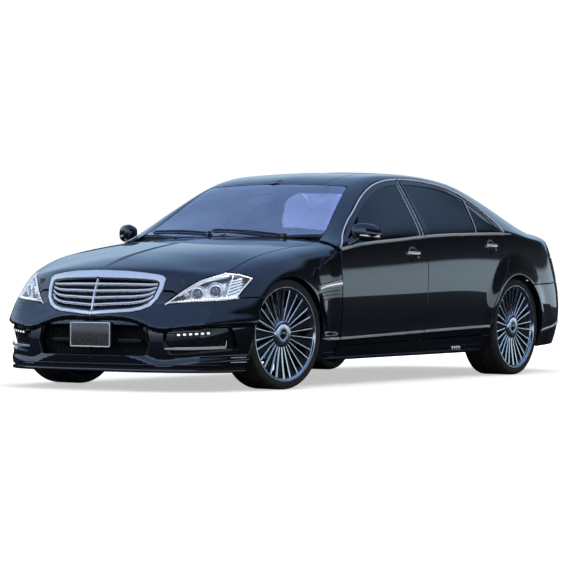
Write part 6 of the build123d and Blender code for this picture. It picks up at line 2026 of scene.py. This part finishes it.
lining = whole(*cut_sheet(CABIN_FLAT, [
    ("plan", [(-1118, 0), (-1132, 300), (-1150, 480)], 0.6, 1), ("side", arc(-1140, 500, 22, 22), 0.3, 0.9),
    ("plan", [(440, 545), (458, 250), (462, 0)], 0.6, 1)], centre=True, spacing=40, gap=0,
                          hem=3, thick=10, lift=-46))
make("roof_lining", lining, HEADLINING)
pillar = cut_sheet(CABIN_FLAT, [("side", [(1040, 935), (731, 1118)] + arc(600, 430, 5, 22), 0.3, 0.9),
                                ("plan", [(440, 566), (720, 655), (985, 738)], 0.6, 1)], spacing=24, gap=0,
                   hem=3, thick=12, lift=-22)
pair("windscreen_pillar_lining", pillar, HEADLINING)
seal_run = [(1046, 905)] + [(731, 1099)] + arc(600, -1200, 40, 0)
p, n = on_skin(CABIN, "side", seal_run, 20, -30, 0.3, 0.9)
pair("door_seal", rail(p, n, rounded(5, 8, 0.8, 8)), SEAL)
q = CABIN.locate("plan", [(560, 1)], 0.6, 1)
spot = CABIN.at(q[:, 0], q[:, 1])[0] * [1, 0, 1]
mirror_case = joined(block(spot + [-40, -62, -92], spot + [20, 62, -14], 16, 4),
                     egg(spot + [-62, 0, -118], (16, 118, 34), 3.2, 40, 16),
                     outward(*tube([spot + [-20, 0, -70], spot + [-55, 0, -110]], 9, 12)))
make("rear_view_mirror", mirror_case, SATIN, "car_body", "trim")
make("rear_view_glass", egg(spot + [-74, 0, -118], (6, 110, 29), 3.4, 40, 12), MIRROR_GLASS)
visors = [slab([(330, 1358), (446, 1312), (449, 1322), (333, 1369)], 1, y0, y1, 6, 2) for y0,
          y1 in ((120, 440), (-440, -120))]
make("sun_visors", joined(*visors), SOFT_TRIM)
mats = [block((x0, y0, 225), (x1, y1, 233), 3, 2) for x0, x1 in ((700, 1080), (-400, 120)) for y0,
        y1 in ((170, 700), (-700, -170))]
make("carpet_mats", joined(*mats), CARPET, "car_body", "dark_trim")


# ------------------------------------------------------------ engine, running gear and underside
ALONG_X = np.array([[0, 1, 0], [-1, 0, 0], [0, 0, 1]], float)
ALONG_Z = np.array([[1, 0, 0], [0, 0, -1], [0, 1, 0]], float)
ALONG_Y = np.eye(3)
CASTING = finish("engine_casting", (0.16, 0.16, 0.165), (0.30, 0.30, 0.31), 40,
                 (0.4, 0.6), 0.5, 240, Metallic=0.8)
LINER = finish("arch_liner_felt", (0.006, 0.006, 0.006), (0.014, 0.014, 0.014), 60, (0.85, 0.95), 0.6, 500)
PIPE = finish("exhaust_steel", (0.22, 0.20, 0.18), (0.40, 0.38, 0.36), 14, (0.3, 0.5), 0.2, 300, Metallic=1.0)
UNDERSEAL = finish("underseal", (0.010, 0.010, 0.011), (0.022, 0.022, 0.022), 30, (0.7, 0.85), 0.7, 260)


def bar_between(a, b, radius, sides=14):
    return tube(dense([a, b], 60), radius, sides)


def spring(x, y, low, high, radius, wire, turns):
    """A coil spring standing at (x, y)."""
    t = np.linspace(0, 1, turns * 18)
    out = np.stack([np.cos(t * turns * 2 * np.pi), np.sin(t * turns * 2 * np.pi), t * 0], 1)
    path = np.array([x, y, low]) + out * radius + np.outer(t, [0, 0, high - low])
    ring = [(wire * math.cos(a), wire * math.sin(a)) for a in np.linspace(0, 2 * np.pi, 9)[:-1]]
    return rail(path, out, ring)


def turned(profile, matrix, place, count=36):
    return placed(lathe(profile, count), (matrix, np.array(place, float)))


block_parts = [block((1215, -175, 330), (1845, 175, 560), 22, 3),
               block((1290, -140, 262), (1800, 140, 345), 24, 3)]
for y in (-1, 1):
    block_parts.append(block((1240, min(y * 70, y * 262), 545), (1825, max(y * 70, y * 262), 700), 30, 4))
    for x in np.linspace(1290, 1780, 8):
        block_parts.append(turned([(0.01, 9), (5, 8), (7, 5), (7, 0), (0.01, 0)], ALONG_Z, (x, y * 245, 699),
                                  12))
        block_parts.append(bar_between((x, y * 262, 600), (x - 25, y * 266, 470), 15))
make("engine_block", joined(*block_parts), CASTING, "car_body", "cast_metal", ["engine"])
cover = [block((1225, -205, 712), (1850, 205, 770), 26, 4)]
for y in np.linspace(-150, 150, 9):
    if abs(y) > 30:
        cover.append(rail(dense([(1262, y, 769), (1815, y, 769)], 60), [0, 0, 1], rounded(5, 5, 0.5, 8)))
cover.append(rail(dense([(1262, 0, 770), (1815, 0, 770)], 60), [0, 0, 1], rounded(22, 9, 0.4, 10)))
make("engine_cover", joined(*cover), SATIN, "car_body", "dark_trim")
intake_duct = [(1225, 0, 700), (1180, 60, 690), (1185, 180, 660), (1200, 255, 620)]
make("engine_intake_duct", tube(soften_path(intake_duct, 24), 30, 18), SATIN, "car_body", "dark_trim")
wheels_at = ((0, 370, 62), (118, 470, 38), (-120, 480, 44), (60, 600, 34), (-70, 620, 30))
pulleys = [turned([(0.01, 12), (12, 12), (14, 8), (r * 0.7, 5), (r * 0.92, 12), (r, 12),
                   (r * 0.96, 6), (r * 0.96, -8),
                   (r, -14), (r * 0.9, -14), (r * 0.6, -6), (0.01, -6)], ALONG_X, (1872, y, z))
           for y, z, r in wheels_at]
make("engine_pulleys", joined(*pulleys), STEEL)
hull = [(1872, y + r * math.cos(a), z + r * math.sin(a)) for y, z, r, first, last in
        ((0, 370, 64, 215, 325), (118, 470, 40, -35, 50), (60, 600, 36, 40, 95), (-70, 620, 32, 85, 150),
         (-120, 480, 46, 150, 215)) for a in np.radians(np.linspace(first, last, 9))]
make("engine_belt", rail(hull, [1, 0, 0], rounded(2.2, 9, 0.8, 6), True), SEAL, "car_body", "dark_trim")

radiator = [block((2262, -430, 300), (2272, 430, 690), 3, 1),
            block((2255, -455, 290), (2290, -425, 700), 8, 2),
            block((2255, 425, 290), (2290, 455, 700), 8, 2)]
for z in np.arange(312, 690, 12):
    radiator.append(rail(dense([(2273, -425, z), (2273, 425, z)], 170), [1, 0, 0], rounded(2.0, 6, 0.7, 6)))
make("radiator", joined(*radiator), CASTING, "car_body", "cast_metal")

# front suspension: cross member, wishbones, springs and dampers
gear = [block((1655, -418, 192), (1815, 418, 238), 16, 3)]
for y in (-1, 1):
    for x0 in (1680, 1790):
        gear.append(tube(soften_path([(x0, y * 400, 216),
                                      (FRONT_AXLE + (x0 - FRONT_AXLE) * 0.45, y * 600, 214),
                                      (FRONT_AXLE, y * 752, 218)], 30), 15, 14))
    gear.append(turned([(0.01, 14), (20, 12), (24, 0), (20, -12), (0.01, -14)], ALONG_Z,
                       (FRONT_AXLE, y * 748, 220), 24))
    gear.append(turned([(0.01, 245), (13, 245), (13, 90), (30, 84), (30, -120), (24, -128), (0.01, -128)],
                       ALONG_Z, (FRONT_AXLE, y * 500, 400), 28))
    gear.append(turned([(0.01, 0), (50, 0), (50, 8), (30, 18), (0.01, 22)], ALONG_Z,
                       (FRONT_AXLE, y * 500, 700), 32))
    gear.append(turned([(18, 0), (49, -4), (49, 3), (18, 8)], ALONG_Z, (FRONT_AXLE, y * 500, 470), 32))
    gear.append(bar_between((FRONT_AXLE, y * 500, 270), (FRONT_AXLE, y * 560, 222), 16))
make("front_suspension", joined(*gear), CAST, stands_for=["front_axle"])
make("front_springs", joined(*[spring(FRONT_AXLE, y * 500, 480, 690, 43, 6, 6) for y in (-1, 1)]), SATIN,
     "car_body", "dark_trim")
sway = [(1600, -470, 300), (1620, -440, 262), (1640, -380, 255), (1640, 380, 255),
        (1620, 440, 262), (1600, 470, 300)]
make("anti_roll_bar", tube(soften_path(sway, 30), 9, 12), SATIN, "car_body", "dark_trim")

# rear axle: carrier, differential, drive shafts and springs
gear = [block((-1528, -398, 298), (-1480, 398, 328), 12, 3),
        block((-1380, -398, 298), (-1332, 398, 328), 12, 3)]
for y in (-1, 1):
    gear.append(block((-1528, min(y * 370, y * 398), 262), (-1332, max(y * 370, y * 398), 328), 12, 3))
    for x in (-1510, -1350):
        gear.append(tube(soften_path([(x, y * 390, 300), (REAR_AXLE + (x - REAR_AXLE) * 0.6, y * 600, 318),
                                      (REAR_AXLE + (x - REAR_AXLE) * 0.4, y * 632, 330)], 26), 14, 14))
    gear.append(turned([(0.01, 630), (36, 630), (36, 596), (14, 590), (14, 150),
                        (36, 140), (36, 96), (0.01, 96)],
                       ALONG_Y if y > 0 else FLIP, (REAR_AXLE, 0, HUB_Z), 28))
    gear.append(turned([(0.01, 0), (58, 0), (58, -34), (40, -44), (0.01, -44)],
                       ALONG_Y if y > 0 else FLIP, (REAR_AXLE, y * 640, HUB_Z), 32))
gear.append(turned([(0.01, 96), (60, 92), (92, 50), (98, 0), (92, -50), (60, -92), (0.01, -96)], ALONG_Y,
                   (REAR_AXLE, 0, 345), 36))
gear.append(turned([(0.01, 175), (34, 172), (38, 150), (62, 92), (70, 60), (0.01, 60)],
                   ALONG_X, (REAR_AXLE, 0, 345), 32))
make("rear_suspension", joined(*gear), CAST, stands_for=["rear_axle"])
shaft = [(0.01, 0), (30, 0), (30, 2180), (0.01, 2180)]
make("propeller_shaft", turned(shaft, ALONG_X, (-1250, 0, 262), 24), SATIN, "car_body", "dark_trim")

# the exhaust: two pipes, oval silencers with rolled seams, and the pipes to the tips
pipes, cans = [], []
for y in (-1, 1):
    run = [(1000, y * 60, 160), (-1180, y * 60, 160), (-1300, y * 110, 190), (-1560, y * 150, 215),
           (-1860, y * 300, 240), (-2010, y * 480, 290)]
    pipes.append(tube(soften_path(run, 40), 27, 18))
    pipes.append(tube(soften_path([(-2380, y * 560, 270), (-2440, y * 560, 257), (-2585, y * 560, 255)], 20),
                      30, 18))
    low, high = min(y * 380, y * 640), max(y * 380, y * 640)
    cans.append(block((-2400, low, 232), (-2000, high, 358), 56, 7))
    for x in (-2372, -2200, -2028):
        loop = soften(np.array([(low - 1, 231), (high + 1, 231), (high + 1, 359), (low - 1, 359)], float), 56)
        inset = 16 if x != -2200 else 0
        centre = np.array([(low + high) / 2, 295])
        loop = centre + (loop - centre) * (1 - inset / 130)
        cans.append(rail([(x, a, b) for a, b in loop], [1, 0, 0], rounded(3, 4, 0.6, 8), True))
make("exhaust_pipes", joined(*pipes), PIPE, "car_body", "steel", ["exhaust"])
make("exhaust_silencers", joined(*cans), PIPE, "car_body", "steel")

# pressed ribs under the floor
ribs = [rail(dense([(x, y0, 194), (x, y1, 194)], 70), [0, 0, -1], rounded(16, 6, 0.5, 10))
        for x in np.linspace(-900, 950, 9) for y0, y1 in ((-720, -190), (190, 720))]
make("floor_ribs", joined(*ribs), UNDERSEAL, "car_body", "dark_trim")

# the forged uprights that carry the front wheels
for side in (-1, 1):
    name = "left" if side > 0 else "right"
    upright = turned([(0.01, 116), (14, 116), (18, 108), (22, 80), (26, 60), (26, -60), (22, -80), (18, -108),
                      (14, -110), (0.01, -110)], ALONG_Z, (FRONT_AXLE, side * STEER_AXIS_Y, 355), 28)
    hub = turned([(0.01, 26), (38, 26), (44, 20), (44, -14), (34, -26), (0.01, -26)], ALONG_Y,
                 (FRONT_AXLE, side * STEER_AXIS_Y, HUB_Z), 32)
    make(f"front_upright_{name}", joined(upright, hub), CAST, f"knuckle_{name}",
         stands_for=[f"front_knuckle_{name}"])

CARRIED = {"b_pillars": SATIN, "sills": PAINT, "floor_pan": UNDERSEAL,
           "firewall": UNDERSEAL, "parcel_shelf": CARPET, "front_frame": CAST, "arch_liners": LINER}
for name, material in CARRIED.items():
    mesh = NODES[name].data
    mesh.materials.clear()
    mesh.materials.append(material)

# trunk lining
side_wall = slab([(-2330, 442), (-1696, 442), (-1696, 905), (-1900, 935), (-2250, 880), (-2330, 760)], 1, 541,
                 547, 2, 1)
pair("trunk_side_lining", side_wall, CARPET)
end_wall = slab(corners(541, 442, 672), 0, -2345, -2337, 2, 1)
make("trunk_end_lining", end_wall, CARPET)
make("trunk_mat", slab([(-2325, 451), (-1705, 451), (-1705, 457), (-2325, 457)], 1, -534, 534, 2, 1), CARPET)

# a strip that closes each arch between its liner and the panel's edge
for axle, rise, label in ((FRONT_AXLE, ARCH_RISE_FRONT, "front"), (REAR_AXLE, ARCH_RISE_REAR, "rear")):
    angles = np.radians(np.linspace(18, 162, 40))
    lap = [(axle + 400 * math.cos(a), 862, HUB_Z + (rise + 9) * math.sin(a)) for a in angles]
    pair(f"arch_seal_{label}", rail(lap, [(math.cos(a), 0, math.sin(a)) for a in angles],
                                    rounded(36, 3, 0.5, 8)), LINER, "car_body", "dark_trim")


# ------------------------------------------------------------ camera, studio and light
CAMERA_AT = (16.495, 10.099, 0.770)
CAMERA_YAW, CAMERA_PITCH, CAMERA_ROLL = -2.584, -0.006, 0.005
SENSOR = 36.0
PHOTO_SIDE, FOCAL_LENGTH = 570, 2733.9  # both in units of the picture's dots


def set_camera():
    yaw, pitch, roll = CAMERA_YAW, CAMERA_PITCH, CAMERA_ROLL
    ahead = Vector((math.cos(pitch) * math.cos(yaw), math.cos(pitch) * math.sin(yaw), math.sin(pitch)))
    right = ahead.cross(Vector((0, 0, 1))).normalized()
    up = right.cross(ahead)
    right, up = (right * math.cos(roll) + up * math.sin(roll), -right * math.sin(roll) + up * math.cos(roll))
    camera = bpy.data.objects.new("camera", bpy.data.cameras.new("camera"))
    camera.data.sensor_width = SENSOR
    camera.data.lens = FOCAL_LENGTH / PHOTO_SIDE * SENSOR
    camera.data.clip_end = 300
    turn = Matrix((right, up, -ahead)).transposed()
    camera.matrix_world = Matrix.Translation(CAMERA_AT) @ turn.to_4x4()
    bpy.context.scene.collection.objects.link(camera)
    bpy.context.scene.camera = camera


def stage_mesh(name, verts, faces, material, seen=True):
    mesh = bpy.data.meshes.new(name)
    mesh.from_pydata(verts, [], faces)
    mesh.materials.append(material)
    obj = bpy.data.objects.new(name, mesh)
    bpy.context.scene.collection.objects.link(obj)
    obj.visible_camera = seen
    return obj


def floor_material():
    """A pale floor that shows white to the camera, with the car's shadow on it."""
    mat = bpy.data.materials.new("studio_floor")
    mat.use_nodes = True
    nodes, links = mat.node_tree.nodes, mat.node_tree.links
    shader = nodes["Principled BSDF"]
    shader.inputs["Base Color"].default_value = (0.78, 0.78, 0.79, 1)
    shader.inputs["Roughness"].default_value = 0.9
    shader.inputs["Specular IOR Level"].default_value = 0.1
    path = nodes.new("ShaderNodeLightPath")
    total = nodes.new("ShaderNodeMath")
    total.operation = "ADD"
    total.use_clamp = True
    links.new(path.outputs["Is Camera Ray"], total.inputs[0])
    links.new(path.outputs["Is Transmission Ray"], total.inputs[1])
    place, reach = nodes.new("ShaderNodeTexCoord"), nodes.new("ShaderNodeVectorMath")
    far = nodes.new("ShaderNodeMapRange")
    reach.operation = "LENGTH"
    links.new(place.outputs["Object"], reach.inputs[0])
    links.new(reach.outputs["Value"], far.inputs["Value"])
    for key, value in (("From Min", 2.6), ("From Max", 5.2), ("To Min", 0.5), ("To Max", 1.0)):
        far.inputs[key].default_value = value
    glow = nodes.new("ShaderNodeMath")
    glow.operation = "MULTIPLY"
    links.new(far.outputs["Result"], glow.inputs[1])
    links.new(total.outputs[0], glow.inputs[0])
    # polished surfaces see a darker ground than the camera does
    ground = nodes.new("ShaderNodeMix")
    ground.data_type = "RGBA"
    ground.inputs["A"].default_value = (0.78, 0.78, 0.79, 1)
    ground.inputs["B"].default_value = (0.012, 0.015, 0.022, 1)
    links.new(path.outputs["Is Glossy Ray"], ground.inputs["Factor"])
    links.new(ground.outputs["Result"], shader.inputs["Base Color"])
    shader.inputs["Emission Color"].default_value = (1, 1, 1, 1)
    links.new(glow.outputs[0], shader.inputs["Emission Strength"])
    return mat


def glow_material(name, stops, strength=1.0):
    """Light that changes with height: stops are (height in metres, colour)."""
    mat = bpy.data.materials.new(name)
    mat.use_nodes = True
    nodes, links = mat.node_tree.nodes, mat.node_tree.links
    nodes.remove(nodes["Principled BSDF"])
    place, split = nodes.new("ShaderNodeTexCoord"), nodes.new("ShaderNodeSeparateXYZ")
    ramp, spread = nodes.new("ShaderNodeValToRGB"), nodes.new("ShaderNodeMapRange")
    light = nodes.new("ShaderNodeEmission")
    low, high = stops[0][0], stops[-1][0]
    spread.inputs["From Min"].default_value, spread.inputs["From Max"].default_value = low, high
    while len(ramp.color_ramp.elements) < len(stops):
        ramp.color_ramp.elements.new(0.5)
    for element, (height, colour) in zip(ramp.color_ramp.elements, stops):
        element.position = (height - low) / (high - low)
        element.color = (*colour, 1)
    light.inputs["Strength"].default_value = strength
    links.new(place.outputs["Object"], split.inputs[0])
    links.new(split.outputs["Z"], spread.inputs["Value"])
    links.new(spread.outputs["Result"], ramp.inputs["Fac"])
    links.new(ramp.outputs["Color"], light.inputs["Color"])
    links.new(light.outputs["Emission"], nodes["Material Output"].inputs["Surface"])
    return mat


def set_stage():
    world = bpy.data.worlds.new("studio")
    bpy.context.scene.world = world
    world.use_nodes = True
    nodes, links = world.node_tree.nodes, world.node_tree.links
    path = nodes.new("ShaderNodeLightPath")
    direct = nodes.new("ShaderNodeMath")
    direct.operation, direct.use_clamp = "ADD", True
    links.new(path.outputs["Is Camera Ray"], direct.inputs[0])
    links.new(path.outputs["Is Glossy Ray"], direct.inputs[1])
    direct_or_glass = nodes.new("ShaderNodeMath")
    direct_or_glass.operation, direct_or_glass.use_clamp = "ADD", True
    links.new(direct.outputs[0], direct_or_glass.inputs[0])
    links.new(path.outputs["Is Transmission Ray"], direct_or_glass.inputs[1])
    level = nodes.new("ShaderNodeMapRange")
    level.inputs["To Min"].default_value, level.inputs["To Max"].default_value = 0.45, 1.0
    links.new(direct_or_glass.outputs[0], level.inputs["Value"])
    links.new(level.outputs["Result"], nodes["Background"].inputs["Strength"])
    nodes["Background"].inputs["Color"].default_value = (1, 1, 1, 1)
    size = 60.0
    stage_mesh("floor", [(-size, -size, 0), (size, -size, 0), (size, size, 0), (-size, size, 0)],
               [(0, 1, 2, 3)], floor_material())
    # three parts of a soft dome, seen only in reflections: dark low down or half-way up, pale between
    rings = [(26, 0.05), (26, 3.0), (26, 5), (25.6, 8), (25, 10), (23, 14), (19, 18),
             (12, 22), (4, 24), (0.01, 24.2)]
    for name, first, last, stops in (
        ("sky_left", 40, 180, [(0.0, (0.75, 0.98, 1.15)), (2.2, (0.80, 1.02, 1.18)),
                               (3.3, (0.74, 0.94, 1.10)),
                               (3.7, (0.012, 0.014, 0.016)), (10.5, (0.012, 0.016, 0.018)),
                               (14.0, (0.22, 0.36, 0.62)), (24.0, (0.20, 0.34, 0.70))]),
        ("sky_back", 180, 285, [(0.0, (0.010, 0.013, 0.02)), (3.2, (0.012, 0.016, 0.022)),
                                (4.2, (0.42, 0.62, 0.85)), (8.0, (0.55, 0.76, 1.0)),
                                (14.0, (0.30, 0.48, 0.80)), (24.0, (0.20, 0.34, 0.70))]),
        ("sky_front", 285, 400, [(0.0, (0.10, 0.15, 0.24)), (1.6, (0.30, 0.42, 0.62)),
                                 (3.0, (0.95, 1.10, 1.35)),
                                 (9.0, (0.62, 0.85, 1.30)), (14.0, (0.34, 0.52, 0.95)),
                                 (24.0, (0.20, 0.34, 0.70))])):
        angles = np.radians(np.linspace(first, last, 40))
        verts = [(r * math.cos(a), r * math.sin(a), h) for r, h in rings for a in angles]
        faces = [(a * 40 + k, a * 40 + k + 1, (a + 1) * 40 + k + 1, (a + 1) * 40 + k)
                 for a in range(len(rings) - 1) for k in range(39)]
        dome = stage_mesh(name, verts, faces, glow_material(name + "_light", stops), False)
        dome.visible_shadow = dome.visible_diffuse = dome.visible_transmission = False
    for name, place, aim, power, size_x, size_y in (
        ("key_light", (5, 7, 6.5), (0, 0, 0.6), 260, 6, 3),
        ("top_light", (-1, 0, 7.5), (0, 0, 0), 260, 7, 4),
        ("nose_light", (9, -2, 3.5), (2.2, 0, 0.5), 90, 3, 2),
        ("tail_light", (-8, -4, 5), (-2, 0, 0.6), 130, 4, 3)):
        lamp = bpy.data.lights.new(name, "AREA")
        lamp.shape, lamp.size, lamp.size_y, lamp.energy = "RECTANGLE", size_x, size_y, power
        obj = bpy.data.objects.new(name, lamp)
        obj.location = place
        obj.visible_glossy = False
        obj.rotation_euler = (Vector(aim) - Vector(place)).to_track_quat("-Z", "Y").to_euler()
        bpy.context.scene.collection.objects.link(obj)
    bpy.context.scene.view_settings.view_transform = "Standard"


set_camera()
set_stage()
